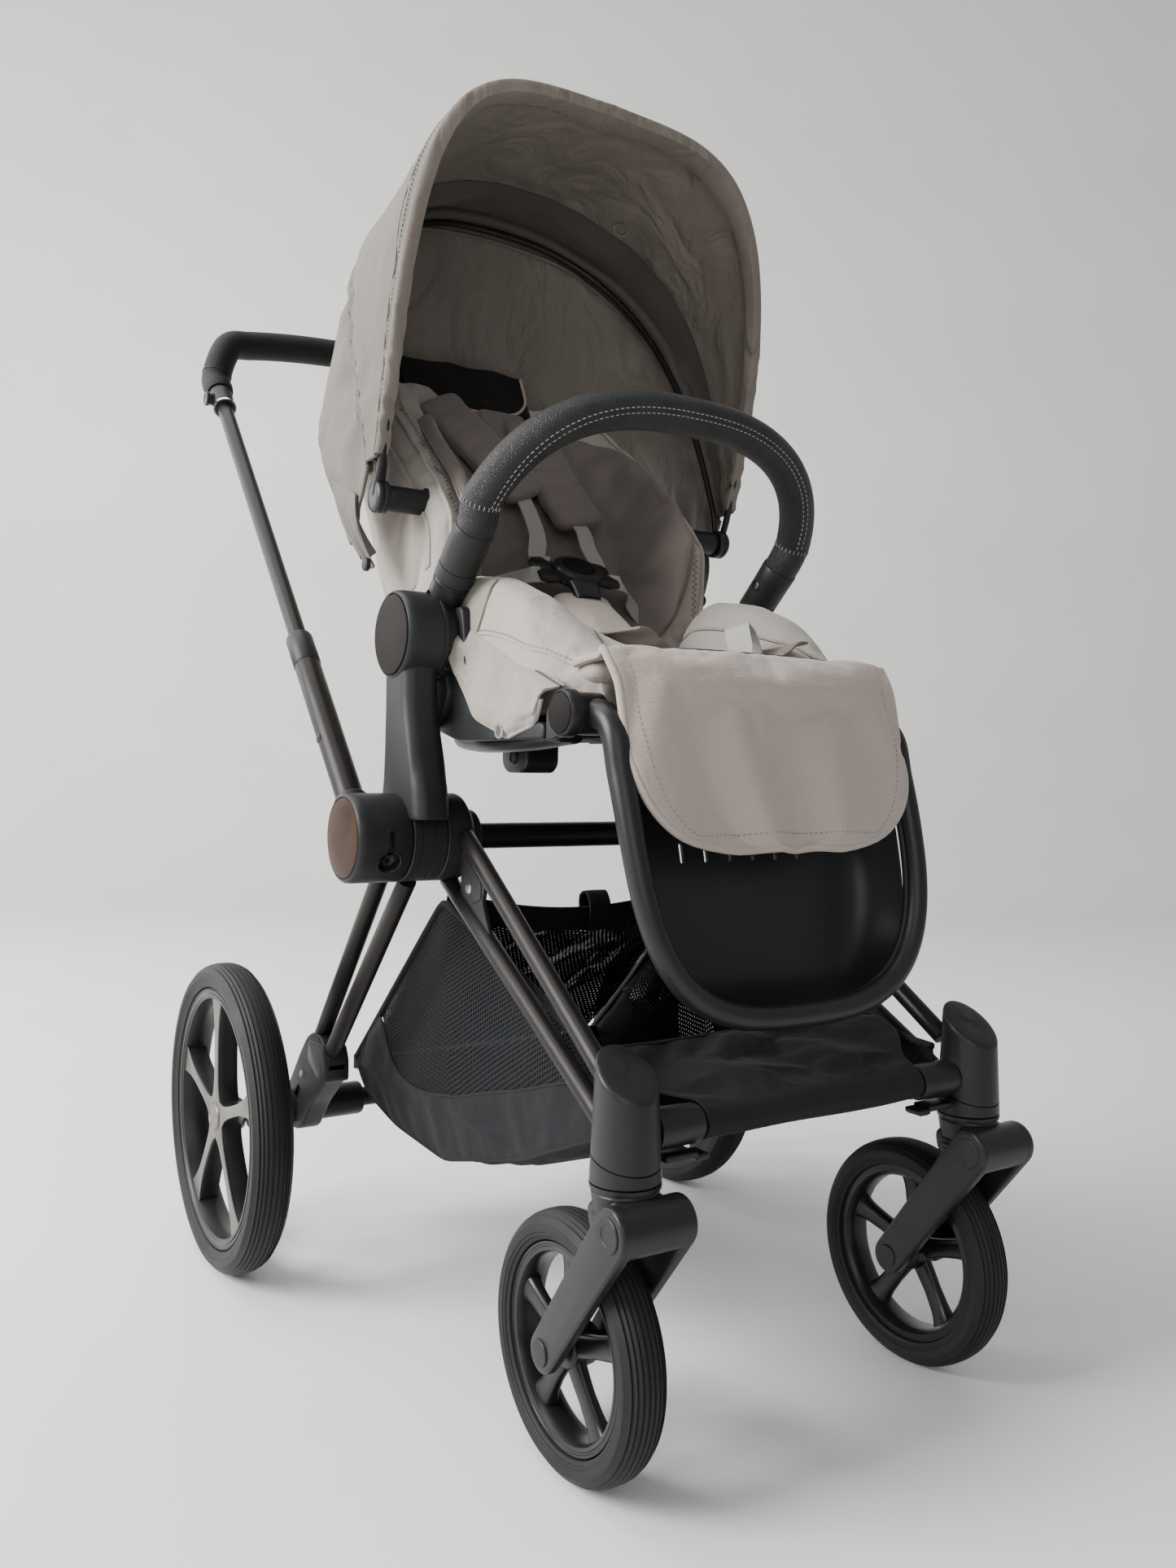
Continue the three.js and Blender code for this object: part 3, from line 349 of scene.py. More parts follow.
def mixc(c, k): return tuple(max(0.0, x * k) for x in c)

def hard(name, base, rough, metal=0.0, grain=1400, gs=0.12, var=0.25, wear=0.0, spec=0.30, spec_m=0.5, **k):
    m = M(name, base, rough, metal, **k); co = m.coord()
    m.b.inputs["Specular IOR Level"].default_value = spec if not metal else spec_m
    big = m.noise(co, 9, 3); fine = m.noise(co, grain, 2)
    m.color(m.ramp(big, [(0.3, mixc(base, 1 - var)), (0.7, mixc(base, 1 + var))]))
    m.roughness(m.noise(co, 30, 4), rough - 0.07, rough + 0.09)
    m.bump(fine, gs, 0.0004)
    return m

hard("powder", (0.0125, 0.0108, 0.0102), 0.34, 0.20, spec_m=0.22, grain=1100, gs=0.32, var=0.2)
hard("plastic", (0.0105, 0.0112, 0.0122), 0.47, 0.0, grain=1600, gs=0.16)
hard("plastic_dark", (0.006, 0.006, 0.0065), 0.55, 0.0, grain=1600, gs=0.12)
hard("plastic_satin", (0.0105, 0.0108, 0.0115), 0.36, 0.0, grain=900, gs=0.05)
hard("disc", (0.0100, 0.0080, 0.0076), 0.52, 0.0, grain=2200, gs=0.05, spec=0.07)
hard("rear_spoke", (0.125, 0.118, 0.108), 0.36, 0.75, grain=1500, gs=0.06, var=0.08)
hard("front_spoke", (0.0088, 0.0084, 0.0082), 0.30, 0.0, grain=1400, gs=0.05)
hard("chrome", (0.75, 0.75, 0.74), 0.10, 1.0, grain=400, gs=0.01, var=0.03)
hard("steel", (0.42, 0.41, 0.39), 0.28, 1.0, grain=900, gs=0.03, var=0.06)
m = M("copper", (0.075, 0.038, 0.025), 0.50, 0.15, Specular_IOR_Level=0.06); co = m.coord()
m.color(m.ramp(m.noise(co, 30, 3), [(0.35, (0.024, 0.013, 0.009)), (0.65, (0.044, 0.023, 0.015))])); m.bump(m.noise(co, 2500, 2), 0.04, 0.0002); m.roughness(m.noise(co, 60, 3), 0.34, 0.46)
m = M("rubber", (0.0105, 0.0102, 0.010), 0.60, Specular_IOR_Level=0.24); co = m.coord()
m.color(m.ramp(m.noise(co, 14, 4), [(0.3, (0.009, 0.0088, 0.0086)), (0.75, (0.0155, 0.015, 0.0145))])); m.bump(m.noise(co, 700, 3), 0.10, 0.0005); m.roughness(m.noise(co, 24, 4), 0.50, 0.72)
m = M("leather", (0.0095, 0.0098, 0.0105), 0.42, Specular_IOR_Level=0.28); co = m.coord()
h = m.voronoi(co, 620, "DISTANCE_TO_EDGE"); hh = m.rng(h, 0, 1, 0.0, 0.25)
m.bump(hh, 0.55, 0.0006); m.bump(m.noise(co, 160, 3), 0.25, 0.0008); m.color(m.ramp(m.noise(co, 40, 3), [(0.3, (0.011, 0.0112, 0.0118)), (0.7, (0.0175, 0.018, 0.019))])); m.roughness(h, 0.46, 0.34)
m = M("leather_dark", (0.0065, 0.0066, 0.0070), 0.50, Specular_IOR_Level=0.16); co = m.coord()
h = m.voronoi(co, 620, "DISTANCE_TO_EDGE"); m.bump(m.rng(h, 0, 1, 0.0, 0.25), 0.5, 0.0006); m.color(m.ramp(m.noise(co, 40, 3), [(0.3, (0.0055, 0.0056, 0.006)), (0.7, (0.0085, 0.0088, 0.0093))]))
m = M("thread", (0.24, 0.24, 0.23), 0.7); m.bump(m.noise(m.coord(), 2600, 2), 0.3, 0.0002); m.color(m.ramp(m.noise(m.coord(), 300, 2), [(0.3, (0.19, 0.19, 0.18)), (0.7, (0.28, 0.28, 0.265))]))

def fabric(name, base, kind="plain", rough=0.82, var=0.10, wr=0.0, weave=0.35, sheen=0.25, uv=True, tone=None, wscale=1.0):
    """woven cloth: yarns crossing at about a millimetre, slow colour drift, soft sheen"""
    m = M(name, base, rough, 0.0); b = m.b
    b.inputs["Sheen Weight"].default_value = sheen; b.inputs["Sheen Roughness"].default_value = 0.45; b.inputs["Sheen Tint"].default_value = (1, 0.97, 0.93, 1)
    b.inputs["Specular IOR Level"].default_value = 0.22
    co = m.coord("UV" if uv else "Object"); ob = m.coord("Object")
    drift = m.noise(ob, 7, 4, 0.55); fine = m.noise(ob, 420, 3, 0.6)
    c0, c1 = tone or (mixc(base, 1 - var), mixc(base, 1 + var))
    mix = m.math("ADD", m.math("MULTIPLY", drift, 0.7), m.math("MULTIPLY", fine, 0.3))
    m.color(m.ramp(mix, [(0.32, c0), (0.68, c1)]))
    if kind == "plain":
        a = m.wave(m.coord("UV", (1, 1, 1)) if uv else ob, 260 * wscale, "X", 0.6); c = m.wave(m.coord("UV", (1, 1, 1)) if uv else ob, 260 * wscale, "Y" if uv else "Z", 0.6)
        w = m.math("MULTIPLY", a, c)
        m.bump(w, weave, 0.0006); m.bump(m.noise(ob, 55, 3), 0.20, 0.0016)
    elif kind == "crinkle":
        cr = m.noise(m.coord("UV" if uv else "Object", (0.30, 1.0, 1.0) if uv else (0.30, 0.8, 1.0)), 380 * wscale, 3, 0.55, 0.4)
        m.bump(cr, weave, 0.0011); m.bump(m.noise(ob, 70, 3), 0.18, 0.0018)
    elif kind == "pad":
        m.bump(m.noise(ob, 900, 2), weave * 0.5, 0.0003); m.bump(m.noise(ob, 40, 3, 0.5, 0.3), 0.30, 0.0035)
    if wr: m.bump(m.noise(m.coord("Object", (1, 1, 0.45)), 17, 3, 0.5, 1.2), wr, 0.022 if wr > 0.5 else 0.008)
    return m

fabric("canopy_out", (0.122, 0.111, 0.098), "plain", 0.74, 0.05, wr=0.30, weave=0.25, sheen=0.10)
fabric("canopy_in", (0.150, 0.130, 0.114), "plain", 0.62, 0.10, wr=0.75, weave=0.18, sheen=0.10, tone=((0.135, 0.114, 0.099), (0.172, 0.154, 0.132)))
fabric("canopy_band", (0.080, 0.068, 0.061), "plain", 0.62, 0.10, weave=0.18, sheen=0.15)
fabric("liner", (0.330, 0.296, 0.266), "crinkle", 0.84, 0.07, weave=0.55, sheen=0.25, uv=False)
fabric("liner_uv", (0.270, 0.238, 0.211), "crinkle", 0.84, 0.07, weave=0.60, sheen=0.25, uv=True)
fabric("flap", (0.325, 0.280, 0.252), "crinkle", 0.84, 0.06, weave=0.60, sheen=0.25, uv=False)
fabric("pad", (0.140, 0.119, 0.108), "pad", 0.78, 0.08, weave=0.5, sheen=0.22, uv=False)
fabric("liner_dark", (0.150, 0.132, 0.114), "pad", 0.78, 0.10, weave=0.5, sheen=0.2, uv=False)
fabric("side_green", (0.215, 0.205, 0.168), "plain", 0.62, 0.06, weave=0.2, sheen=0.3, uv=False)
fabric("cloth", (0.0125, 0.0132, 0.0150), "plain", 0.80, 0.15, weave=0.25, sheen=0.02, uv=False).b.inputs["Specular IOR Level"].default_value = 0.12
fabric("cloth_uv", (0.0125, 0.0132, 0.0150), "plain", 0.80, 0.15, weave=0.25, sheen=0.02, uv=True).b.inputs["Specular IOR Level"].default_value = 0.12
m = fabric("webbing", (0.27, 0.262, 0.238), "plain", 0.5, 0.06, weave=0.5, sheen=0.3, uv=True, wscale=0.8)
m.b.inputs["Specular IOR Level"].default_value = 0.5
m = fabric("webbing_light", (0.46, 0.455, 0.43), "plain", 0.5, 0.06, weave=0.5, sheen=0.3, uv=True, wscale=0.8)
# open hexagonal knit: the holes are partly see-through by alpha and painted near-black, painted shade of the dark
# inside behind the mesh
def meshmat(name, size, hole, base, clear=0.0):
    m = M(name, base, 0.8, Specular_IOR_Level=0.12); co = m.coord("UV", (1, 1, 1))
    v = m.n("TexVoronoi"); v.feature = "DISTANCE_TO_EDGE"; v.inputs["Scale"].default_value = 1 / size; v.inputs["Randomness"].default_value = 0.0; v.voronoi_dimensions = "2D"
    # a sheared, staggered lattice gives six-sided cells
    sep = m.n("SeparateXYZ"); m.l(co, sep.inputs[0]); row = m.math("MULTIPLY", sep.outputs[1], 1.1547); comb = m.n("CombineXYZ")
    m.l(m.math("ADD", sep.outputs[0], m.math("MULTIPLY", row, 0.5)), comb.inputs[0]); m.l(row, comb.inputs[1]); m.l(comb.outputs[0], v.inputs["Vector"])
    # hole alpha comes from the last argument: with a value above 0 the holes stay partly opaque, carrying the painted
    # shade
    a = m.rng(v.outputs["Distance"], 1, clear, hole, hole + 0.06); m.l(a, m.b.inputs["Alpha"])
    m.bump(m.rng(v.outputs["Distance"], 1, 0, 0.0, hole), 0.12, 0.0003)
    # threads a little lighter than base; the holes painted near-black as painted shade of what lies behind the mesh
    m.color(m.ramp(v.outputs["Distance"], [(max(hole - 0.10, 0.01), mixc(base, 1.5)), (hole + 0.05, mixc(base, 0.25))]))
    m.m.surface_render_method = "DITHERED" if hasattr(m.m, "surface_render_method") else "DITHERED"
    return m
meshmat("mesh", 0.0046, 0.20, (0.0085, 0.0090, 0.0102), 0.55)
meshmat("mesh_fine", 0.0022, 0.22, (0.014, 0.013, 0.013))

# ------------------------------------------------------------------ camera, floor, light
cam = bpy.data.cameras.new("camera"); cam.lens = 28.366; cam.sensor_width = 36.0; cam.clip_start = 0.02; cam.clip_end = 60
cobj = bpy.data.objects.new("camera", cam); bpy.context.scene.collection.objects.link(cobj)
_yaw, _pitch, _roll = 0.5707, -0.0091, 0.0134
_f = A(math.sin(_yaw) * math.cos(_pitch), math.cos(_yaw) * math.cos(_pitch), math.sin(_pitch)); _r = A(math.cos(_yaw), -math.sin(_yaw), 0); _u = np.cross(_r, _f)
_r2 = math.cos(_roll) * _r + math.sin(_roll) * _u; _u2 = -math.sin(_roll) * _r + math.cos(_roll) * _u
from mathutils import Matrix
_m = Matrix.Identity(4)
for i in range(3):
    _m[i][0], _m[i][1], _m[i][2] = _r2[i], _u2[i], -_f[i]
_m[0][3], _m[1][3], _m[2][3] = -0.6562, -1.0799, 0.5110
cobj.matrix_world = _m; bpy.context.scene.camera = cobj

m = M("floor", (0.74, 0.735, 0.72), 0.55); m.color(m.ramp(m.noise(m.coord("Object"), 2.0, 3), [(0.3, (0.725, 0.72, 0.705)), (0.7, (0.755, 0.75, 0.735))]))
m.b.inputs["Specular IOR Level"].default_value = 0.25
# one pale sweep: level under the stroller, curving up far behind it
fd = A(_f[0], _f[1]) / np.linalg.norm(_f[:2]); fs = A(fd[1], -fd[0]); rows = [(-5.0, 0.0), (-1.5, 0.0), (0.0, 0.0), (2.0, 0.0), (3.2, 0.0)] + [(3.2 + 2.2 * math.sin(a), 2.2 - 2.2 * math.cos(a)) for a in np.linspace(0.1, math.pi / 2, 14)] + [(5.4, 6.5)]
V = []; cols = np.linspace(-9, 9, 13)
for d, z in rows:
    for s in cols: V.append((fd[0] * d + fs[0] * s, fd[1] * d + fs[1] * s, z - 0.0005))
F = [(i * 13 + j, i * 13 + j + 1, (i + 1) * 13 + j + 1, (i + 1) * 13 + j) for i in range(len(rows) - 1) for j in range(12)]
me = bpy.data.meshes.new("floor"); me.from_pydata(V, [], F); me.materials.append(MATS["floor"]); me.polygons.foreach_set("use_smooth", [True] * len(me.polygons))
floor = bpy.data.objects.new("floor", me); bpy.context.scene.collection.objects.link(floor)

w = bpy.data.worlds.new("world"); w.use_nodes = True; bg = w.node_tree.nodes["Background"]; bg.inputs[0].default_value = (1.0, 0.995, 0.985, 1); bg.inputs[1].default_value = 0.46; bpy.context.scene.world = w
def area(name, loc, target, size, power, color=(1, 1, 1)):
    l = bpy.data.lights.new(name, "AREA"); l.shape = "RECTANGLE"; l.size, l.size_y = size; l.energy = power; l.color = color
    o = bpy.data.objects.new(name, l); bpy.context.scene.collection.objects.link(o); o.location = loc
    d = Vector(target) - Vector(loc); o.rotation_euler = d.to_track_quat("-Z", "Y").to_euler(); return o
area("key", (-3.1, 0.35, 2.2), (0, 0, 0.55), (1.6, 2.0), 250, (1, 0.99, 0.975))
area("top", (-0.8, 0.9, 3.3), (0, 0.2, 0.4), (2.4, 2.4), 70)
area("fill", (-1.6, -2.8, 1.6), (0, 0, 0.5), (2.0, 2.0), 26, (0.98, 0.99, 1))
area("rim", (-1.6, 2.6, 1.8), (0, 0, 0.6), (1.4, 2.0), 36)
area("backdrop", (-4.2, 2.2, 2.6), (-2.2, 5.0, 1.9), (2.2, 2.2), 460)

# ------------------------------------------------------------------ shared dimensions (millimetres)
def boolean(a, *bs, op="DIFFERENCE"):
    """exact boolean of closed meshes, back as G"""
    def tmp(g, n):
        me = bpy.data.meshes.new(n); me.from_pydata(g.v.tolist(), [], [list(q) for q in g.f]); o = bpy.data.objects.new(n, me); bpy.context.scene.collection.objects.link(o); return o
    o = tmp(a, "a"); ks = []
    for i, b in enumerate(bs):
        k = tmp(b, "b%d" % i); ks.append(k); md = o.modifiers.new("m%d" % i, "BOOLEAN"); md.object = k; md.operation = op; md.solver = "EXACT"
    dg = bpy.context.evaluated_depsgraph_get(); ev = o.evaluated_get(dg); me = ev.to_mesh()
    g = G(np.array([v.co for v in me.vertices]), [tuple(p.vertices) for p in me.polygons]); ev.to_mesh_clear()
    for k in [o] + ks: md = k.data; bpy.data.objects.remove(k); bpy.data.meshes.remove(md)
    return g

def closed_ring(pts):  # a closed loop (x, r), given back as it is
    return pts
HY, HZ = -9.0, 452.0
SY, SZ = -5.0, 630.0
HD = A(0, math.cos(math.radians(48)), math.sin(math.radians(48)))
def hAt(d): return A(241, HY + 2, HZ - 2) + HD * d
BD = A(0, math.cos(math.radians(62)), math.sin(math.radians(62))); BN = A(0, -math.sin(math.radians(62)), math.cos(math.radians(62)))
def bp(x, u, n): return A(x, 104, 600) + BD * u + BN * n

# ------------------------------------------------------------------ wheels
def tyre_profile(R, W, t, grooves, gd=1.1, fall=9.0):
    h = W / 2; crown = lambda x: R - fall * abs(x / h) ** 2.7; ev = []
    xs = list(np.linspace(-h, h, 21)); 
    for g in grooves: xs = [x for x in xs if abs(x - g) > 1.15]
    P = [(x, crown(x)) for x in xs]
    for g in grooves: P += [(g - 0.85, crown(g)), (g - 0.5, crown(g) - gd), (g + 0.5, crown(g) - gd), (g + 0.85, crown(g))]
    P.sort(key=lambda p: p[0])
    side = [(h + 0.2, R - 12.5), (h - 0.2, R - 15), (h - 1.0, R - 15.6), (h - 0.9, R - 17.2), (h - 1.6, R - 18.0), (h - 2.2, R - t + 3), (h - 3.6, R - t + 0.4), (h - 5, R - t)]
    return P + side + [(-x, r) for x, r in side[::-1]]
XR = 280.5
N1 = 160
t_rear = lathe_closed([(x + XR, r) for x, r in tyre_profile(155, 39, 24, (-14.4, -11.2, -7.4, -2.6, 2.6, 7.4, 11.2, 14.4))], N1, (0, 250, 155))
pair("tyre_rear", t_rear, "rubber", "rear_wheel_%", "rear_tyre_%", smooth=30, slot="tyre")

def star(n, rin, rout, hw, valley, a0=math.pi / 2):
    O = []
    for k in range(n):
        a = a0 - 2 * math.pi * k / n; d = A(math.cos(a), math.sin(a)); p = A(-d[1], d[0])
        rs = np.concatenate([np.linspace(rin, rin + 14, 5), np.linspace(rin + 24, rout, 12)])
        O += [d * r + p * hw(r) for r in rs]
        O += [d * math.sqrt(max(rout ** 2 - s ** 2, 0)) * 1.0 + p * s for s in np.linspace(hw(rout), -hw(rout), 7)[1:-1]]
        O += [d * r - p * hw(r) for r in rs[::-1]]
        b = a - math.pi / n; O.append(A(math.cos(b), math.sin(b)) * valley)
    return np.array(O)
def place(O, y, z): return O + A(y, z)
hwr = lambda r: 5.6 + 11.5 * max(0, (r - 62) / 62) ** 2.6 + 3.8 * math.exp(-(r - 24) / 9)
sO = place(star(5, 24, 123.5, hwr, 21.5), 250, 155)
sB = place(star(5, 24, 123.5, lambda r: hwr(r) - 0.9, 20.6), 250, 155)
spoke_face = slabx(sO, XR + 10.2, XR + 12.2, 0.7, 2)
spoke_body = slabx(sB, XR - 9.0, XR + 10.4, 1.5, 2)
hub_b = lathe([(XR - 15, 7), (XR - 15, 15), (XR - 8, 19), (XR + 10.2, 20)], 48, c=(0, 250, 155), r=1)
cap = lathe([(XR + 12.0, 0), (XR + 12.0, 13.4), (XR + 12.6, 13.4), (XR + 13.6, 12.4), (XR + 14.1, 0)], 48, c=(0, 250, 155))
capring = lathe_closed([(XR + 11.6, 15.4), (XR + 12.5, 15.2), (XR + 12.5, 14.2), (XR + 11.6, 14.0)], 48, (0, 250, 155))
barrel = lathe_closed([(XR + a, r) for a, r in [(-14.5, 121.5), (-13.2, 130.6), (13.2, 130.6), (14.6, 129.6), (14.9, 127.6), (14.2, 126.8), (14.2, 125.4), (15.0, 124.6), (14.8, 122.0), (13.2, 119.6), (9.0, 118.4), (2, 117.0), (-4, 116.4), (-12, 119.0)]], N1, (0, 250, 155))
rimface = lathe_closed([(XR + a, r) for a, r in [(14.4, 129.4), (15.4, 128.8), (15.5, 127.9), (14.6, 127.4), (14.6, 125.2), (15.5, 124.8), (15.5, 122.6), (14.0, 120.8), (13.0, 120.8), (13.0, 129.4)]], N1, (0, 250, 155))
pair("rim_rear", barrel + spoke_body + hub_b, "plastic_satin", "rear_wheel_%", "rear_rim_%", smooth=32, slot="rear_rim")
pair("rim_rear_face", rimface, "plastic_satin", "rear_wheel_%", smooth=32, slot="rear_rim")
pair("spokes_rear", spoke_face + cap + capring, "rear_spoke", "rear_wheel_%", smooth=32, slot="rear_rim")

XF, FY = 174.3, -256.0
t_front = lathe_closed([(x + XF, r) for x, r in tyre_profile(95.5, 36, 21, (-13.6, -10.4, -6.6, -2.2, 2.2, 6.6, 10.4, 13.6), 1.0)], N1, (0, FY, 95.5))
pair("tyre_front", t_front, "rubber", "front_wheel_%", "front_tyre_%", smooth=30, slot="tyre")
fr = lathe_closed([(XF + a, r) for a, r in [(-12.8, 68), (-12, 74.0), (12, 74.0), (13.2, 73.2), (13.4, 71.6), (12.6, 71.0), (12.6, 69.9), (13.2, 69.2), (12.6, 66.6), (9, 64.6), (0, 63.8), (-9, 64.6)]], N1, (0, FY, 95.5))
for k in range(5):
    a = math.pi / 2 + 2 * math.pi * k / 5; d = A(0, math.cos(a), math.sin(a)); p0 = A(XF, FY, 95.5)
    rs = np.linspace(10, 68, 14); fr = fr + sweep([p0 + d * r + A(1.5 + 3.5 * math.cos((r - 10) / 58 * math.pi / 2), 0, 0) for r in rs], [8.0 + 1.2 * abs(r - 36) / 26 + 4.0 * max(0, (r - 50) / 18) ** 2 for r in rs], 24, up=A(1, 0, 0), section=lambda a: (.62 * math.copysign(abs(math.cos(a)) ** .7, math.cos(a)), math.copysign(abs(math.sin(a)) ** .7, math.sin(a))))
fr = fr + lathe([(XF - 14, 6), (XF - 14, 12), (XF - 9, 16), (XF + 9, 17), (XF + 12.5, 14.5), (XF + 13.5, 6)], 40, c=(0, FY, 95.5), r=1.5)
pair("rim_front", fr, "front_spoke", "front_wheel_%", "front_rim_%", smooth=40, slot="front_rim")

# ------------------------------------------------------------------ caster forks and housings
BY, BZ = -341.0, 207.0
up = math.atan2(BZ - 95.5, BY - FY); O = []
for c, r, a0, a1 in (((FY, 95.5), 15.0, up + math.pi / 2, up + 1.5 * math.pi), ((BY, BZ), 18.2, up - math.pi / 2, up + math.pi / 2)):
    for a in np.linspace(a0, a1, 14): O.append((c[0] + r * math.cos(a), c[1] + r * math.sin(a)))
O = np.array(O)
arm_o = slabx(O, XF + 20.8, XF + 31, 2.6, 4); arm_i = slabx(O, XF - 31, XF - 20.8, 2.6, 4)
neck = lathe([(194, 10), (196, 19.6), (204, 20.6), (214, 22.5), (225, 24.0), (226, 23.3), (227.4, 23.3), (228.2, 25.2), (230.9, 25.3), (231.2, 20)], 56, "z", (XF, -315.6, 0))
barrelf = lathe([(XF - 23.6, 14), (XF - 23.4, 18), (XF + 23.4, 18), (XF + 23.6, 14)], 48, c=(0, BY, BZ))
nut = lathe([(XF + 30.4, 12.2), (XF + 31.6, 12.2), (XF + 32.3, 11.4), (XF + 32.3, 7.2), (XF + 31.8, 6.6), (XF + 31.8, 2)], 40, c=(0, BY, BZ)) + lathe([(XF + 30.4, 9.8), (XF + 31.8, 9.8), (XF + 32.4, 9.0), (XF + 32.6, 2)], 40, c=(0, FY, 95.5))
nut = nut + lathe([(XF - 32.3, 2), (XF - 32.3, 11.2), (XF - 31.4, 12.2), (XF - 30.4, 12.2)], 40, c=(0, BY, BZ)) + lathe([(XF - 32.4, 2), (XF - 32.2, 9.0), (XF - 31.6, 9.8), (XF - 30.4, 9.8)], 40, c=(0, FY, 95.5))
axle = lathe([(XF - 30, 5), (XF + 30, 5)], 24, c=(0, FY, 95.5))
# spring boot rings between the neck and the arms
boot = G()
for k in range(4): boot = boot + lathe_closed([(196 + k * 4.2, 20.4 + k * .5), (197.4 + k * 4.2, 22.0 + k * .55), (198.8 + k * 4.2, 20.4 + k * .5), (197.4 + k * 4.2, 19.2)], 48, (XF, -315.6, 0), "z")
web = slabx(outline([(-341, 190), (-300, 196), (-296, 214), (-318, 226), (-352, 222)], 7), XF - 20.6, XF + 20.6, 4, 3)
pair("fork", arm_o + arm_i + neck + barrelf + web, "plastic_satin", "caster_%", "caster_fork_%", smooth=35, slot="moulding")
pair("fork_covers", nut + axle + boot, "plastic", "caster_%", smooth=35, slot="moulding")

def housing():
    n = 72; t = np.linspace(0, 2 * np.pi, n, endpoint=False); R = []
    def ring(s, dr, dz=0.0, groove=False):
        P = []
        for a in t:
            r = 25.3; y = math.sin(a) * max(23.4 + min(dr, 0), 0.3); zt = 305.7 + y * 0.6745; z = 231.6 + s * (zt - 231.6) + dz
            if groove: z = 231.6 + 16 + s + y * 0.30
            rr = 25.3 - (z - 231.6) / 68.4 * 2.9 + dr; P.append((XF + rr * math.cos(a), -315.6 + rr * math.sin(a), z))
        return P
    R = [ring(0, -3, 0.1), ring(0, -0.6, 0.1), ring(0, 0, 0.9)]
    R += [ring(-1.6, 0, 0, True), ring(-0.7, 0, 0, True), ring(-0.35, -1.2, 0, True), ring(0.35, -1.2, 0, True), ring(0.7, 0, 0, True), ring(1.6, 0, 0, True)]
    R += [ring(s, 0) for s in (0.42, 0.6, 0.8, 0.93)] + [ring(1, 0, -2.4), ring(1, -0.35, -1.0), ring(1, -1.3, 0.2), ring(1, -3.0, 0.75), ring(1, -9, 1.1), ring(1, -17, 1.3), ring(1, -22, 1.3)]
    return fix(rings(np.array(R)))
pair("housing", housing(), "plastic_satin", "front_frame", "caster_housing_%", smooth=35, slot="moulding")

# ------------------------------------------------------------------ fold hubs
hub = lathe([(212.4, 20), (212.4, 37.6), (213.2, 38.6), (214.2, 39), (243, 39), (254, 39), (258.4, 38.6), (260.4, 37.4), (261.2, 36.2), (260.9, 35.6), (260.0, 35.3), (260.0, 20)], 96, c=(0, HY, HZ))
sock = sweep([hAt(18), hAt(40), hAt(45.5), hAt(47)], [15.1, 15.1, 15.1, 14.2], 40)
# the lock recess: a slot that widens into a round socket, with a raised lip round it
def keyhole(grow, x0=232.5):
    O = []
    for a in np.linspace(math.radians(122), math.radians(-242) + 0, 33): O.append((x0 - 0 + (9.6 + grow) * math.cos(math.radians(90) + (a - math.radians(90))), -20 + (9.6 + grow) * math.sin(a)))
    O = [(x0 + (9.6 + grow) * math.sin(a), -20 + (9.6 + grow) * math.cos(a)) for a in np.linspace(math.radians(25), math.radians(335), 31)]
    O += [(x0 - 2.6 - grow * .6, -6), (x0 - 2.4 - grow * .6, 8 + grow), (x0 + 2.4 + grow * .6, 8 + grow), (x0 + 2.6 + grow * .6, -6)]
    return np.array(O)  # (x, along the rim)
def on_rim(O, r, off=-2.0):  # wraps (x, s) round the hub, s measured along the rim from the front point, upwards
    P = []
    for x, s in O:
        a = math.pi - (s + off) / 39.0 - math.radians(2); P.append((x, HY + r * math.cos(a), HZ + r * math.sin(a)))
    return np.array(P)
K = keyhole(0)
cutter = fix(rings(np.array([on_rim(K, 45), on_rim(K, 32.5)])))
hubg = boolean(fix(hub), cutter)
lip = []
for g_, r_ in ((2.6, 38.7), (2.2, 39.7), (1.0, 39.8), (0.4, 38.9), (0.4, 36), (2.6, 36)): lip.append(on_rim(keyhole(g_), r_))
L = np.array(lip); n_ = L.shape[1]; fL = []
for i in range(6):
    k = (i + 1) % 6
    for j in range(n_): l = (j + 1) % n_; fL.append((i * n_ + j, i * n_ + l, k * n_ + l, k * n_ + j))
lipg = fix(G(L.reshape(-1, 3), fL))
c0 = on_rim([(232.5, -20)], 33.5)[0]; dr = unit(A(0, c0[1] - HY, c0[2] - HZ))
hexo = []
for k in range(12):
    a = k * math.pi / 6; rr = 6.8 if k % 2 == 0 else 5.0; hexo.append(c0 + A(1, 0, 0) * rr * math.cos(a) + np.cross(dr, A(1, 0, 0)) * rr * math.sin(a))
hexo = np.array(hexo); hexp = fix(rings(np.array([hexo - dr * 2, hexo + dr * 2.2, hexo * 0.35 + (c0 + dr * 2.2) * 0.65, hexo * 0.35 + (c0 - dr * 1) * 0.65])))
pair("hub_outer", hubg + fix(sock), "plastic", "handle_lower", "handle_hub_%", smooth=30, slot="moulding")
pair("hub_lock", lipg + hexp, "plastic_satin", "handle_lower", smooth=30, slot="moulding")
disc = lathe([(259.0, 0), (259.4, 34.9), (260.6, 34.9), (261.6, 34.0), (262.3, 30), (262.9, 18), (263.1, 0)], 96, c=(0, HY, HZ))
pair("hub_disc", disc, "copper", "handle_lower", smooth=30, slot="hub_disc")
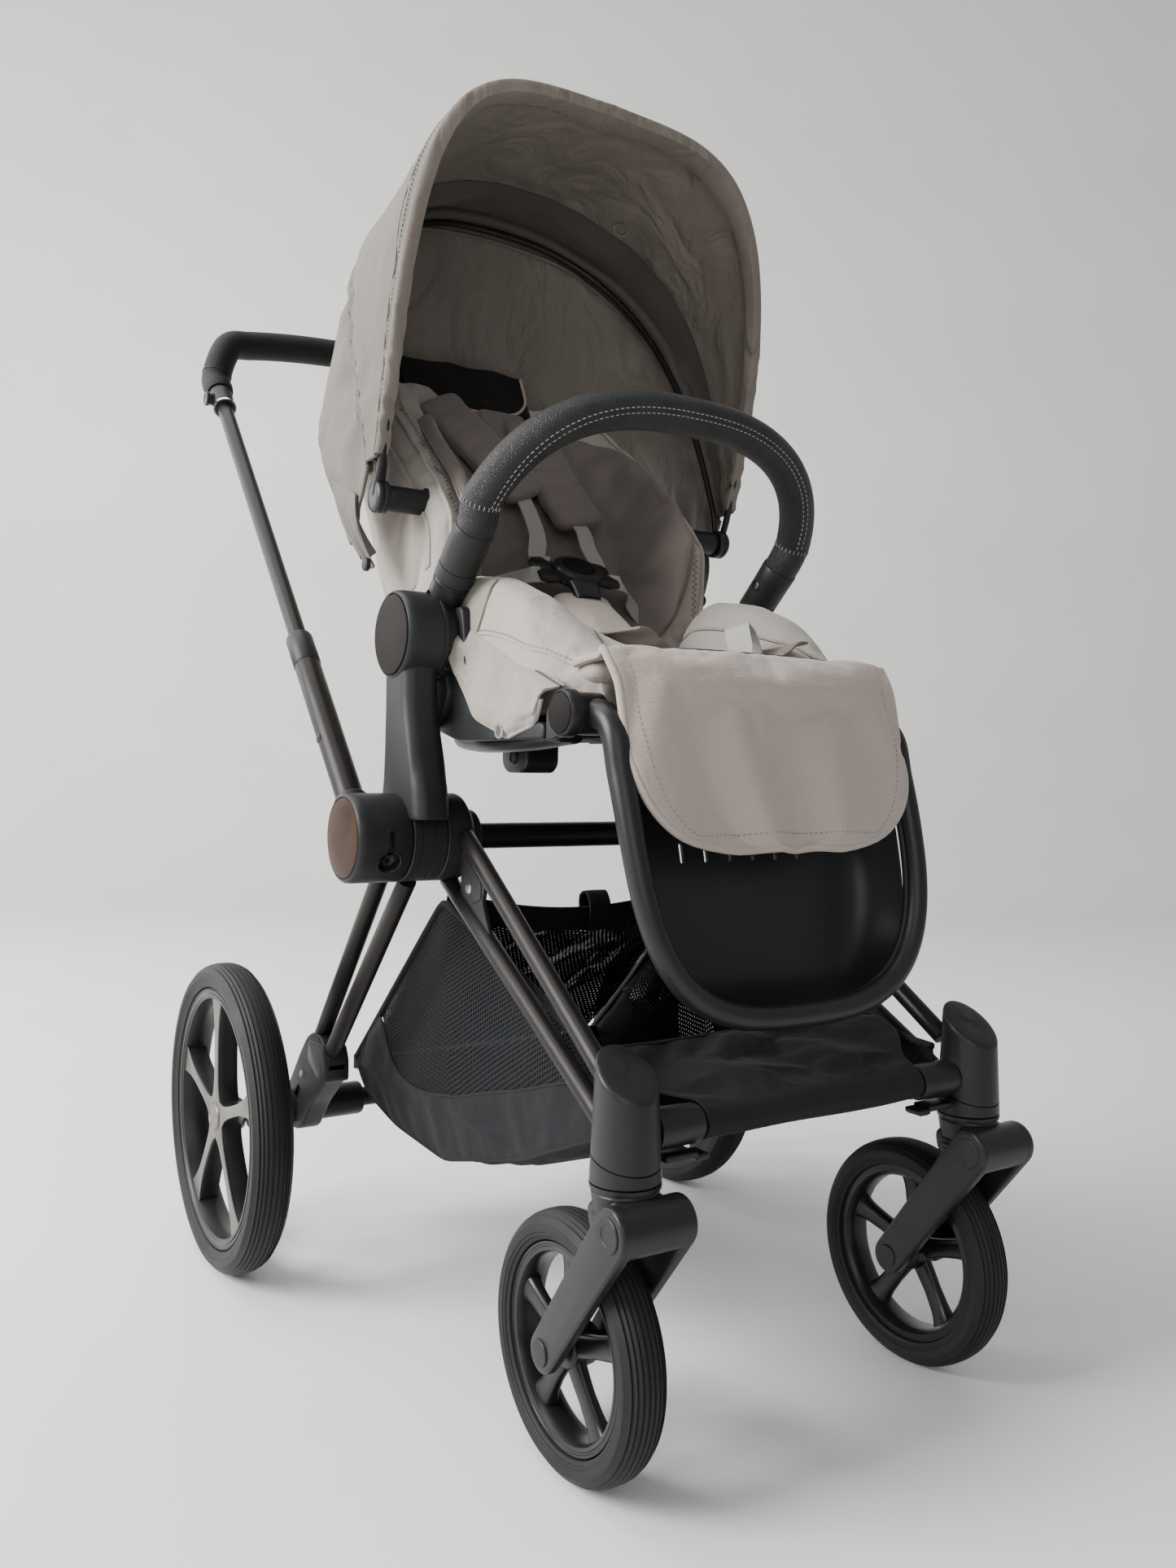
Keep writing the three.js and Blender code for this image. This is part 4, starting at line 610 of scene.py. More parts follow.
# middle hub with its seams, and the tongue for the seat
mid = lathe([(179.9, 20), (179.9, 38.2), (180.7, 39), (190.2, 39), (190.6, 38.3), (191.2, 38.3), (191.6, 39), (203.0, 39), (203.4, 38.0), (204.2, 38.0), (204.6, 39), (210.6, 39), (211.6, 38.2), (211.6, 20)], 96, c=(0, HY, HZ))
tongue = blockbox(188.2, 206.8, -19.5, 1.5, 478, 528, 2)
sleeve_rim = G()
pair("hub_middle", mid + tongue, "plastic", "chassis", "rear_hub_%", smooth=30, slot="moulding")
inner = lathe([(147.2, 10), (138.8, 22), (138.8, 24), (147, 24), (149, 30), (156, 38.4), (157.4, 39), (161, 39), (161.5, 38.2), (162.3, 38.2), (162.8, 39), (178.0, 39), (179.0, 38), (179.0, 12)], 96, c=(0, HY, HZ))
inner = lathe([(138.7, 12.2), (138.7, 23.2), (139.6, 24), (146.6, 24), (148.2, 25.5), (149.4, 30), (152, 33.4), (155.4, 38.0), (157.4, 39), (161, 39), (161.5, 38.2), (162.3, 38.2), (162.8, 39), (178.0, 39), (179.0, 38), (179.0, 12)], 96, c=(0, HY, HZ))
pair("hub_inner", inner, "plastic", "front_frame", "front_hub_%", smooth=30, slot="moulding")
make("cross_tube_hubs", lathe([(-138.3, 11.8), (138.3, 11.8)], 40, c=(0, HY, HZ)), "powder", "front_frame", replaces="hub_cross_tube", slot="frame_tube")

# ------------------------------------------------------------------ chassis legs
RT = [(6.0, 465.0), (-29.0, 434.0)]; RF = [(192.0, 233.0), (169.0, 216.5)]
def clip_to_hub(a, b, r=39.4):
    a, b = A(*a), A(*b)
    for t in np.linspace(0, 1, 400):
        p = a + (b - a) * t
        if math.hypot(p[1] - HY, p[2] - HZ) > r - 1.5: return p
    return a
for k, nm in ((0, "upper"), (1, "lower")):
    a, b = (201, *RT[k]), (204, *RF[k]); p = clip_to_hub(a, b)
    d = unit(A(*b) - A(*a))
    foot = sweep([A(*b) - d * 16, A(*b) - d * 9, A(*b) + d * 1], [8.9, 9.6, 9.6], 32)
    pair("rear_leg_" + nm, tube(p, b, 8.4, 40, 0.5), "powder", "chassis", "rear_leg_%s_%%" % nm, slot="frame_tube")
FT = [(-17.0, 474.0), (-12.0, 414.0)]; FF = [(-291.0, 290.0), (-291.0, 257.0)]
legs = G()
for k in range(2):
    a, b = (162, *FT[k]), (170, *FF[k]); p = clip_to_hub(a, b); q = A(*b); 
    # a leg ends a little inside the caster housing
    legs = legs + tube(p, q - unit(q - A(*a)) * 0.0, 8.0, 40, 0.5)
tieO = outline([(-44, 450), (-44, 396), (-60, 388), (-104, 366), (-96, 378), (-84, 400), (-92, 422)], 6)
tie = slabx(tieO, 161.5, 166, 1.2, 2)
ribs = slabx(outline([(-52, 438), (-52, 404), (-66, 396), (-84, 402), (-84, 416)], 4), 165.6, 167.2, 0.8, 2)
bolts = lathe([(165.6, 0.5), (165.6, 5.0), (168.6, 4.6), (169.2, 3.6), (169.2, 2.2), (168.2, 2.0), (168.0, 0)], 24, c=(0, -64, 410)) + lathe([(166.0, 7.6), (166.8, 7.6), (166.9, 6.6), (166.4, 6.2), (166.0, 6.2)], 32, c=(0, -64, 410))
pair("front_leg", legs, "powder", "front_frame", "front_leg_%", slot="frame_tube")
pair("front_leg_tie", tie + ribs, "plastic", "front_frame", slot="moulding")
pair("front_leg_bolt", bolts, "steel", "front_frame", slot="moulding")

# ------------------------------------------------------------------ front cross tube, swivel levers
fct = lathe([(-150.5, 11.5), (150.5, 11.5)], 40, c=(0, -312.6, 262))
ends = G()
for s in (-1, 1):
    e = lathe([(112, 10), (112, 13.2), (114, 14.2), (148, 15.0), (150.6, 15.0), (151, 12)], 40, c=(0, -312.6, 262)); ends = ends + (e if s > 0 else e.mirror())
make("cross_tube_front", fct, "powder", "front_frame", replaces="front_cross_tube", slot="frame_tube")
make("cross_tube_front_ends", ends, "plastic_satin", "front_frame", slot="moulding")
lev = slabx(outline([(-324.6, 240), (-306.6, 240), (-306.6, 244.8), (-324.6, 244.8)], 1.6), 118, 146, 1.2, 2) + slabx(outline([(-324.6, 238), (-306.6, 238), (-306.6, 242.6), (-324.6, 242.6)], 1.8), 107.6, 119.5, 1.6, 3)
for k in range(4): lev = lev + slabx(outline([(-323, 237.2), (-308, 237.2), (-308, 238.4), (-323, 238.4)], .4), 109.6 + k * 2.4, 110.8 + k * 2.4, .3, 1)
pair("swivel_lever", lev, "plastic_satin", "swivel_lever_%", "swivel_lock_%", slot="moulding")

# ------------------------------------------------------------------ rear brackets, axle, brake
BO = outline([(150, 226), (166, 242), (186, 246), (206, 238), (226, 218), (262, 176), (268, 156), (262, 138), (244, 132), (222, 138), (196, 168), (150, 204)], 9, 6)
brk = slabx(BO, 190.4, 213, 3.2, 4)
slot1 = slabx(outline([(232, 168), (252, 150), (257, 156), (238, 174)], 3.0), 180, 193.5, .2, 1); slot2 = slabx(outline([(238, 150), (254, 137), (258, 141), (243, 155)], 2.4), 180, 193.0, .2, 1)
slot1 = fix(slabx(outline([(222, 178), (246, 154), (252, 160), (229, 184)], 3.5), 209.5, 216, .2, 1)); slot2 = fix(slabx(outline([(229, 160), (245, 144), (250, 149), (235, 165)], 3.0), 210, 216, .2, 1))
brk = boolean(brk, slot1, slot2)
sl = lathe([(211, 12), (211, 17.5), (230, 17.5), (230.5, 16.9), (231.5, 16.9), (232, 17.5), (256.5, 17.5), (258, 16.3), (258.2, 6.4), (291.2, 6.0), (291.6, 3)], 56, c=(0, 250, 155))
collar = slabx(outline([(196, 236), (158, 236), (150, 222), (150, 200), (170, 200), (200, 216)], 5), 188.6, 214.8, 2.2, 3)
rivet = lathe([(212.4, 0.2), (212.4, 4.2), (213.8, 4.0), (214.5, 2.6), (214.4, 0)], 24, c=(0, 219, 196))
pair("rear_bracket", brk + sl, "plastic", "chassis", "rear_bracket_%", smooth=32, slot="moulding")
pair("rear_bracket_collar", collar, "plastic_satin", "chassis", smooth=32, slot="moulding")
pair("rear_bracket_rivet", rivet, "steel", "chassis", slot="moulding")
ax = lathe([(-189.4, 10), (-189.4, 16.8), (-188.6, 17.5), (-140, 17.5), (-137.4, 16.6), (-136, 14), (-135.6, 10), (135.6, 10), (136, 14), (137.4, 16.6), (140, 17.5), (188.6, 17.5), (189.4, 16.8), (189.4, 10)], 56, c=(0, 250, 155))
make("rear_axle", ax, "powder", "chassis", replaces="rear_axle_tube", smooth=30, slot="frame_tube")
pedal = slabx(outline([(257.5, 161.2), (302, 161.2), (302, 167), (257.5, 167)], 2.6), -46, 46, 2.0, 3)
for k in range(9): pedal = pedal + slabx(outline([(264 + k * 4.2, 166.4), (266 + k * 4.2, 166.4), (266 + k * 4.2, 167.9), (264 + k * 4.2, 167.9)], .5), -36, 36, .5, 1)
ring = boolean(lathe([(-34, 12), (-34, 15), (-33.4, 15.5), (33.4, 15.5), (34, 15), (34, 12)], 56, c=(0, 250, 155)), lathe([(-60, 10.6), (60, 10.6)], 40, c=(0, 250, 155)))
make("brake", pedal + ring, "plastic_satin", "brake", replaces="brake_pedal", smooth=32, slot="moulding")

# ------------------------------------------------------------------ push handle
sleeve = sweep([hAt(47.4), hAt(48.2), hAt(150), hAt(249), hAt(251), hAt(252)], [12.0, 12.5, 12.5, 12.5, 12.2, 11.4], 44)
sleeve_cap = sweep([hAt(216), hAt(217), hAt(251.4), hAt(254), hAt(255)], [12.7, 13.2, 13.0, 12.2, 10.4], 44)
capO = boolean(fix(sleeve), fix(sweep([hAt(60), hAt(262)], 9.1, 32)))
capP = boolean(fix(sleeve_cap), fix(sweep([hAt(200), hAt(262)], 9.1, 32)))
pair("handle_sleeve", capO, "powder", "handle_lower", "handle_sleeve_%", smooth=30, slot="frame_tube")
tab = lathe([(252.6, 0.3), (252.6, 5), (253.6, 4.6), (254.2, 3), (254.2, 0)], 24, c=(0, hAt(120)[1], hAt(120)[2]))
pair("handle_sleeve_cap", capP + tab, "plastic", "handle_lower", smooth=30, slot="moulding")
slim = tube(hAt(128), hAt(645), 8.6, 40, 0.4)
coll = boolean(sweep([hAt(640), hAt(641.2), hAt(656), hAt(668), hAt(669)], [11.4, 12.4, 12.7, 12.9, 12.2], 44), lathe([(248, 7.2), (262, 7.2)], 32, c=(0, hAt(655)[1], hAt(655)[2])))
pair("handle_tube", slim, "powder", "handle_upper", "handle_tube_%", smooth=30, slot="frame_tube")
pair("handle_collar", coll, "plastic", "handle_upper", smooth=30, slot="moulding")
wedge = sweep([hAt(640.2) - A(0, 0, 0), hAt(638.4)], [9.6, 9.4], 36)
band = ribbon_ring(hAt(641.5), HD, 12.4, 2.6, 0.9)
pair("handle_trim", band, "chrome", "handle_upper", smooth=30, slot="chrome")
hb = lathe([(252, 3), (252, 6.7), (257, 6.7), (257.5, 8.2), (260.2, 8.2), (261.0, 7.6), (261.0, 5.6), (260.4, 5.0), (260.2, 0)], 36, c=(0, hAt(655)[1], hAt(655)[2]))
pair("height_button", hb, "plastic_satin", "height_press_%", "height_button_%", smooth=30, slot="moulding")
a, b = hAt(669.6), hAt(700)
gp = [(-a[0], a[1], a[2]), (-b[0] + 1, b[1], b[2]), (-224, 466, 1012), (-196, 476, 1022), (-120, 478, 1032), (0, 478, 1036)]
gp = gp + [(-x, y, z) for x, y, z in gp[:-1][::-1]]
gpts = spline(gp, 150)
gr = np.full(150, 16.5); gr[:3] = [14.6, 15.8, 16.5]; gr[-3:] = [16.5, 15.8, 14.6]
grip = sweep(gpts, gr, 36, up=A(0, 0, 1))
make("grip", grip, "leather_dark", "handle_upper", replaces="grip", smooth=45, slot="leather")
def stitches(P, N, r, off=0.35, step=5.2, L=3.4, th=0.55):
    """a row of thread stitches along P; N is the outward direction at every point, r the height above P"""
    D = np.concatenate([[0], np.cumsum(np.linalg.norm(np.diff(P, axis=0), axis=1))]); g = G(); s = step * 0.5
    def at(d, Q): return np.array([np.interp(d, D, Q[:, k]) for k in range(3)])
    while s < D[-1] - step * 0.5:
        n = unit(at(s, N)); pts = [at(s - L / 2, P) + n * (r - 0.5), at(s - L * 0.3, P) + n * (r + off * .7), at(s, P) + n * (r + off), at(s + L * 0.3, P) + n * (r + off * .7), at(s + L / 2, P) + n * (r - 0.5)]
        g = g + sweep(pts, th, 5); s += step
    return g
Tg, Ng, Bg = frames(gpts, A(0, 0, 1))
row = G()
sel = slice(6, 144)
for ang in (205, 213): 
    n_ = math.cos(math.radians(ang)) * Ng + math.sin(math.radians(ang)) * Bg
    row = row + stitches(gpts[sel], n_[sel], 16.4, 0.2, 5.4, 3.6, 0.42)
seam_a = math.radians(209); ns_ = math.cos(seam_a) * Ng + math.sin(seam_a) * Bg
make("grip_stitches", row, "thread", "handle_upper", slot="leather", smooth=60)
gring = ribbon_ring(gpts[9], Tg[9], 16.5, 1.2, 0.5) + ribbon_ring(gpts[-10], Tg[-10], 16.5, 1.2, 0.5)
make("grip_rings", gring, "plastic", "handle_upper", slot="moulding")

# ------------------------------------------------------------------ seat posts, seat hubs and arms
arc = [(HY + 40.2 * math.cos(a), HZ + 40.2 * math.sin(a)) for a in np.linspace(math.radians(27), math.radians(155), 22)]
pO = [(-59, 471), (-58, 480), (-55, 497), (-49, 514), (-42, 530), (-36, 547), (-33, 564), (-31.6, 590), (-31, 632), (18, 632), (18, 600), (18, 560), (19, 520), (21, 490), (24.6, 472)]
pO = np.array([A(*p) for p in pO] + [A(*p) for p in arc]); pO = outline(pO, [4, 6, 8, 8, 8, 8, 8, 8, 2, 2, 6, 8, 8, 5, 1.2] + [0] * 22, 3)
def post_ring(s_, cut, lift):
    zs = 471 + 161 * s_; yf = np.interp(zs, [471, 480, 497, 514, 530, 547, 564, 590, 632], [-59, -58, -55, -49, -42, -36, -33, -31.6, -31]); yb = np.interp(zs, [472, 490, 520, 560, 632], [24.6, 21, 19, 18, 18])
    cy, hy, hx, r, P = (yf + yb) / 2, (yb - yf) / 2 - cut, 17.15 - cut, 11.5 - cut, []
    for q, (sx, sy) in enumerate(((1, 1), (-1, 1), (-1, -1), (1, -1))):
        for a in np.linspace(0, math.pi / 2, 10):
            t = a + q * math.pi / 2; x, y = 197.85 + sx * (hx - r) + r * math.cos(t), cy + sy * (hy - r) + r * math.sin(t)
            zb = HZ + math.sqrt(max(40.3 ** 2 - (y - HY) ** 2, 17.0 ** 2)) + lift; P.append((x, y, zb + s_ * (632 - zb)))
    return P
post = fix(rings(np.array([post_ring(0, 3.0, 0), post_ring(0, 0.8, 0), post_ring(0, 0.2, 0.3), post_ring(0, 0, 1.0)] + [post_ring(s_, 0, 1.0) for s_ in np.linspace(.02, .995, 34)] + [post_ring(1, 0.5, 0)])))
shub = lathe([(178.6, 20), (178.6, 38.6), (179.6, 39.5), (182.6, 39.5), (183.0, 38.8), (183.8, 38.8), (184.2, 39.5), (208, 39.5), (213, 39.0), (215.6, 37.9), (216.8, 36.4), (216.2, 35.9), (215.4, 35.7), (215.4, 20)], 96, c=(0, SY, SZ))
sdisc = lathe([(215.2, 0), (215.2, 35.2), (216.8, 35.2), (217.8, 34.6), (218.2, 32), (218.2, 0)], 96, c=(0, SY, SZ))
pair("seat_post", post, "plastic", "seat", "seat_post_%", smooth=40, slot="moulding")
pair("seat_hub", shub, "plastic", "seat", smooth=32, slot="moulding")
pair("seat_hub_disc", sdisc, "disc", "seat", smooth=32, slot="moulding")
def bar(s):
    t = s * math.pi / 2; S = max(math.cos(t), 0) ** (2 / 3.93); x = 191 * math.copysign(abs(math.sin(t)) ** (2 / 2.56), t) if t else 0.0
    x *= 1 - (1 - 171 / 191) * (1 - S) ** 1.5; th = math.radians(32.4) + 0.2586 * S; L = S * 279.5
    return A(x, 45.2 - L * math.cos(th), 618.5 + L * math.sin(th))
raw = even(np.array([bar(u) for u in np.linspace(-1, 1, 801)]), 61); dd = np.concatenate([[0], np.cumsum(np.linalg.norm(np.diff(raw, axis=0), axis=1))])
onb = lambda d: np.array([np.interp(d, dd, raw[:, k]) for k in range(3)])
A1, A2 = onb(100), onb(118); A1[0] = A2[0] = 171.5; AD = unit(A2 - A1); AD[0] = 0; AD = unit(AD)
ih = lathe([(157.2, 18), (157.2, 33), (158.8, 35), (168, 35), (168.6, 34.3), (169.4, 34.3), (170, 35), (177.2, 35), (178.1, 34), (178.1, 18)], 80, c=(0, SY, SZ))
root_ = A1 - AD * 46
armg = sweep([root_ - AD * 10, root_, A1 - AD * 30, A1 - AD * 10, A1 - AD * 1.2, A1 - AD * .2], [13, 15.4, 16.6, 16.6, 16.6, 15.8], 44)
pocket = sweep([A1 + A(0, 0, 0) - AD * 27 + A(24, 0, 0), A1 - AD * 27 + A(14.2, 0, 0)], [5.6, 5.6], 24)
slotcut = slabx(outline([(p @ A(0, 1, 0), p @ A(0, 0, 1)) for p in [A1 - AD * 34 + np.cross(AD, A(1, 0, 0)) * 4, A1 - AD * 16 + np.cross(AD, A(1, 0, 0)) * 4, A1 - AD * 16 - np.cross(AD, A(1, 0, 0)) * 4, A1 - AD * 34 - np.cross(AD, A(1, 0, 0)) * 4]], 3.8), 184.6, 196, .1, 1)
armg = boolean(armg, slotcut)
spig = sweep([A1 - AD * 4, A1 + AD * 33.5, A1 + AD * 34.3], [8.5, 8.5, 7.5], 28)
plate = slabx(outline([(25, 604), (-20, 655), (-46, 655), (-62, 566), (-188, 549), (-188, 537), (-40, 537), (4, 548)], 7), 157.2, 169, 2.0, 3)
# ribbed clip under the inner hub
clip = G()
for k in range(5):
    a = math.radians(232 + k * 9.5); c = A(0, SY + 36 * math.cos(a), SZ + 36 * math.sin(a)); clip = clip + blockbox(159.5, 177, c[1] - 1.9, c[1] + 1.9, c[2] - 2.6, c[2] + 2.6, 1.1)
cl2 = slabx(outline([(-26, 598), (-2, 590), (6, 570), (-2, 548), (-20, 560), (-34, 580)], 5), 159, 175, 2, 3)
pair("seat_inner_hub", ih + plate + cl2, "plastic", "seat", "seat_side_%", smooth=32, slot="moulding")
pair("seat_arm", armg + spig, "plastic_satin", "seat", smooth=36, slot="moulding")
pair("seat_hub_clip", clip, "plastic_satin", "seat", smooth=36, slot="moulding")
arm_lip = ribbon_ring(A1 - AD * 3.4, AD, 16.6, 1.0, 0.5)
slip = sweep(np.array([A1 + A(16.2, 0, 0) + AD * (-25 + 10.5 * math.cos(t)) + np.cross(AD, A(1, 0, 0)) * 5.4 * math.sin(t) for t in np.linspace(0, 2 * math.pi, 40)]), 0.9, 8, cap=False)
pair("seat_arm_trim", arm_lip + slip, "plastic_satin", "seat", slot="moulding")

# ------------------------------------------------------------------ bumper bar
s0, s1 = A1 + AD * .3, A1 + AD * 56
slv = sweep([s0, s0 + AD * 1.2, s0 + AD * 14, s0 + AD * 14.4, s0 + AD * 15.4, s0 + AD * 15.8, s0 + AD * 40, s1 - AD * 2, s1 - AD * .4], [16.6, 17.6, 17.6, 16.8, 16.8, 17.6, 17.7, 18.0, 17.2], 48)
pinc = A1 + AD * 32
slv = boolean(slv, sweep([A1 - AD * 2, A1 + AD * 37], 9.3, 28), lathe([(148, 4.3), (162, 4.3)], 24, c=(0, pinc[1], pinc[2])))
pin_ring = lathe_closed([(155.6, 6.6), (154.0, 6.2), (153.8, 5.0), (155.6, 4.6)], 32, (0, pinc[1], pinc[2]))
mid_pts = [p for p in even(np.array([bar(u) for u in np.linspace(-1, 1, 801)]), 81) if (p - A(math.copysign(s1[0], p[0]), s1[1], s1[2])) @ AD > 16]
mxp = lambda p: A(-p[0], p[1], p[2])
bpts = spline([mxp(s1 - AD * 1.5), mxp(s1 + AD * 8)] + mid_pts + [s1 + AD * 8, s1 - AD * 1.5], 220)
br = np.full(220, 17.0); br[0] = br[-1] = 16.2
barg = sweep(bpts, br, 44, up=A(0, 0, 1))
make("bumper_sleeves", slv + slv.mirror() + pin_ring + pin_ring.mirror(), "plastic", "bumper", smooth=34, slot="moulding")
make("bumper_bar", barg, "leather", "bumper", replaces="bumper_bar", smooth=60, slot="leather")
Tb, Nb, Bb = frames(bpts, A(0, 0, 1))
if Bb[110][1] > 0: Bb = -Bb
inside = -Bb   # towards the seat (y up)
sew = G(); sel = slice(12, 208)
turn = np.radians(20 - 48 * np.abs(np.linspace(-1, 1, len(bpts))) ** 2.2)
for ang in (-8, 8):
    a_ = (turn + math.radians(ang))[:, None]; n_ = -np.cos(a_) * Nb + np.sin(a_) * Bb; sew = sew + stitches(bpts[sel], n_[sel], 16.9, 0.25, 5.0, 3.4, 0.48)
for i in (11, -12):
    for ang in range(0, 360, 14):
        n_ = math.cos(math.radians(ang)) * Nb[i] + math.sin(math.radians(ang)) * Bb[i]; c = bpts[i] + n_ * 17.15
        sew = sew + sweep([c - Tb[i] * 2.2 - n_ * .6, c - Tb[i] * 1.2 + n_ * .1, c + Tb[i] * 1.2 + n_ * .1, c + Tb[i] * 2.2 - n_ * .6], 0.42, 5)
make("bumper_stitches", sew, "thread", "bumper", slot="leather", smooth=60)
pin = lathe([(153.2, 0.2), (153.2, 2.6), (154.0, 3.6), (159.4, 3.7), (159.6, 2)], 24, c=(0, pinc[1], pinc[2]))
pair("bumper_pin", pin, "chrome", "bumper_press_%", "bumper_button_%", slot="chrome")

# ------------------------------------------------------------------ soft-goods helpers
from mathutils.bvhtree import BVHTree
def fin(y, z=None):  # design-sketch (y, z) mm to frame metres
    return (y - CY) / 1000 if z is None else ((y - CY) / 1000, z / 1000)
def P3(p): return ((p[0]) / 1000, (p[1] - CY) / 1000, p[2] / 1000)
def coords(me):
    a = np.zeros(len(me.vertices) * 3); me.vertices.foreach_get("co", a); return a.reshape(-1, 3)
def sim(o, frames=16, pressure=0.0, expand=0.03, cap=8.0, pin=None, bend=0.4, stiff=10.0):
    """a short cloth run on the mesh itself: fabric a little too long for its shape buckles into creases"""
    me = o.data; rest = coords(me)
    if pin is not None:
        w = np.clip(pin(rest * 1000 + A(0, CY, 0)), 0, 1); vg = o.vertex_groups.new(name="pin")
        for i in np.nonzero(w > 0.01)[0]: vg.add([int(i)], float(w[i]), "REPLACE")
    md = o.modifiers.new("cloth", "CLOTH"); s = md.settings; s.quality = 4; s.mass = 0.12; s.tension_stiffness = stiff; s.compression_stiffness = stiff; s.shear_stiffness = 4; s.bending_stiffness = bend
    s.effector_weights.gravity = 0.0; s.shrink_min = -expand
    if pressure: s.use_pressure = True; s.uniform_pressure_force = pressure
    if pin is not None: s.vertex_group_mass = "pin"
    md.collision_settings.use_collision = False; md.collision_settings.use_self_collision = False
    md.point_cache.frame_start = 1; md.point_cache.frame_end = frames + 1
    for f in range(1, frames + 1): bpy.context.scene.frame_set(f)
    ev = o.evaluated_get(bpy.context.evaluated_depsgraph_get()); m2 = ev.to_mesh(); co = coords(m2); ev.to_mesh_clear()
    o.modifiers.remove(md); bpy.context.scene.frame_set(1)
    if len(co) == len(rest) and np.isfinite(co).all():
        d = co - rest; L = np.linalg.norm(d, axis=1); k = np.minimum(1, cap / 1000 / np.maximum(L, 1e-9)); me.vertices.foreach_set("co", (rest + d * k[:, None]).ravel()); me.update()
    if pin is not None: o.vertex_groups.clear()
    return o
def bake(o):
    """applies the modifiers of o to its mesh"""
    ev = o.evaluated_get(bpy.context.evaluated_depsgraph_get()); me = bpy.data.meshes.new_from_object(ev); old = o.data
    o.modifiers.clear(); o.data = me; bpy.data.meshes.remove(old); return o
def soft(name, g, mat, body, voxel=5.0, smooth=5, pressure=3.0, expand=0.03, cap=7.0, pin=None, replaces=(), slot=None, frames=14, bend=0.4, sub=1):
    o = make(name, g, mat, None, smooth=0, slot=slot, replaces=replaces)
    md = o.modifiers.new("r", "REMESH"); md.mode = "VOXEL"; md.voxel_size = (voxel * 1) / 1000; md.use_smooth_shade = True
    sm = o.modifiers.new("s", "SMOOTH"); sm.factor = 0.5; sm.iterations = smooth; bake(o)
    sim(o, frames, pressure, expand, cap, pin, bend)
    if sub:
        s = o.modifiers.new("sub", "SUBSURF"); s.levels = s.render_levels = sub; bake(o)
    o.data.polygons.foreach_set("use_smooth", [True] * len(o.data.polygons))
    if body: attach(o, body)
    return o
def simgrid(S, **k):
    """the same cloth run on an open grid (m, n, 3); gives the grid back"""
    m, n, _ = S.shape; f = [(i * n + j, i * n + j + 1, (i + 1) * n + j + 1, (i + 1) * n + j) for i in range(m - 1) for j in range(n - 1)]
    o = make("tmp_grid", G(S.reshape(-1, 3), f), "cloth", smooth=0); sim(o, **k); v = coords(o.data) * 1000 + A(0, CY, 0)
    me = o.data; bpy.data.objects.remove(o); bpy.data.meshes.remove(me); return v.reshape(m, n, 3)
FLAT = {}
def declare_sheet(o, flat, area=None):
    """declares a sheet with its flat cut; a cut that isn't a rectangle gets its own flat area"""
    me = o.data; a = np.zeros(len(me.polygons)); me.polygons.foreach_get("area", a); half = float(a.sum()) / 2 / 1.02; w_, l_ = flat
    if half > w_ * l_: k = math.sqrt(half / (w_ * l_)); w_, l_ = w_ * k, l_ * k
    ar = None if half > 0.93 * w_ * l_ else max(half, 0.31 * w_ * l_)
    w_, l_ = round(w_, 3), round(l_, 3); FLAT[o.name] = (w_, l_, ar if ar is None else round(ar, 4))
class On:
    """nearest point of a finished surface, for laying seams on it"""
    def __init__(self, o):
        me = o.data; self.t = BVHTree.FromPolygons([tuple(v.co) for v in me.vertices], [tuple(p.vertices) for p in me.polygons])
    def __call__(self, P, off=0.0):
        Q, N = [], []
        for p in P:
            h = self.t.find_nearest(P3(p)); c, n = h[0], h[1]
            Q.append(A(*c) * 1000 + A(0, CY, 0) + A(*n) * off); N.append(A(*n))
        return np.array(Q), np.array(N)
def smoothpts(P, k=3):
    P = np.array(P, float)
    for _ in range(k): P[1:-1] = (P[:-2] + 2 * P[1:-1] + P[2:]) / 4
    return P
def seam_on(surf, pts, name, body, mat="liner_dark", r=0.9, off=-0.15, n=60, thread=False, step=5.0):
    P, N = surf(spline(pts, n)); P = smoothpts(P, 4); P = P + N * off
    g = sweep(P, r, 8)
    o = make(name, g, mat, body, smooth=60)
    if thread:
        Q = P + np.cross(N, frames(P)[0]) * 2.6; make(name + "_thread", stitches(Q, N, 0.35, 0.15, step, step * 0.62, 0.32), "thread_dull", body, smooth=60)
    return o
M("thread_dull", (0.17, 0.15, 0.13), 0.8)
M("seam_dark", (0.055, 0.047, 0.041), 0.85)

def web(path, up, w=24.0, t=1.5, n=None):
    """flat webbing along a path; up is the outward normal at every point"""
    P = np.asarray(path, float); T = np.gradient(P, axis=0); T /= np.linalg.norm(T, axis=1)[:, None]; U = np.asarray(up, float)
    if U.ndim == 1: U = np.repeat(U[None], len(P), 0)
    S = np.cross(T, U); S /= np.linalg.norm(S, axis=1)[:, None]; U = np.cross(S, T); cols = np.linspace(-1, 1, 9)
    grid = np.array([[p + s * w / 2 * c + u * (0.25 * math.cos(c * 1.3)) for c in cols] for p, s, u in zip(P, S, U)])
    return sheet_shell(grid, t)

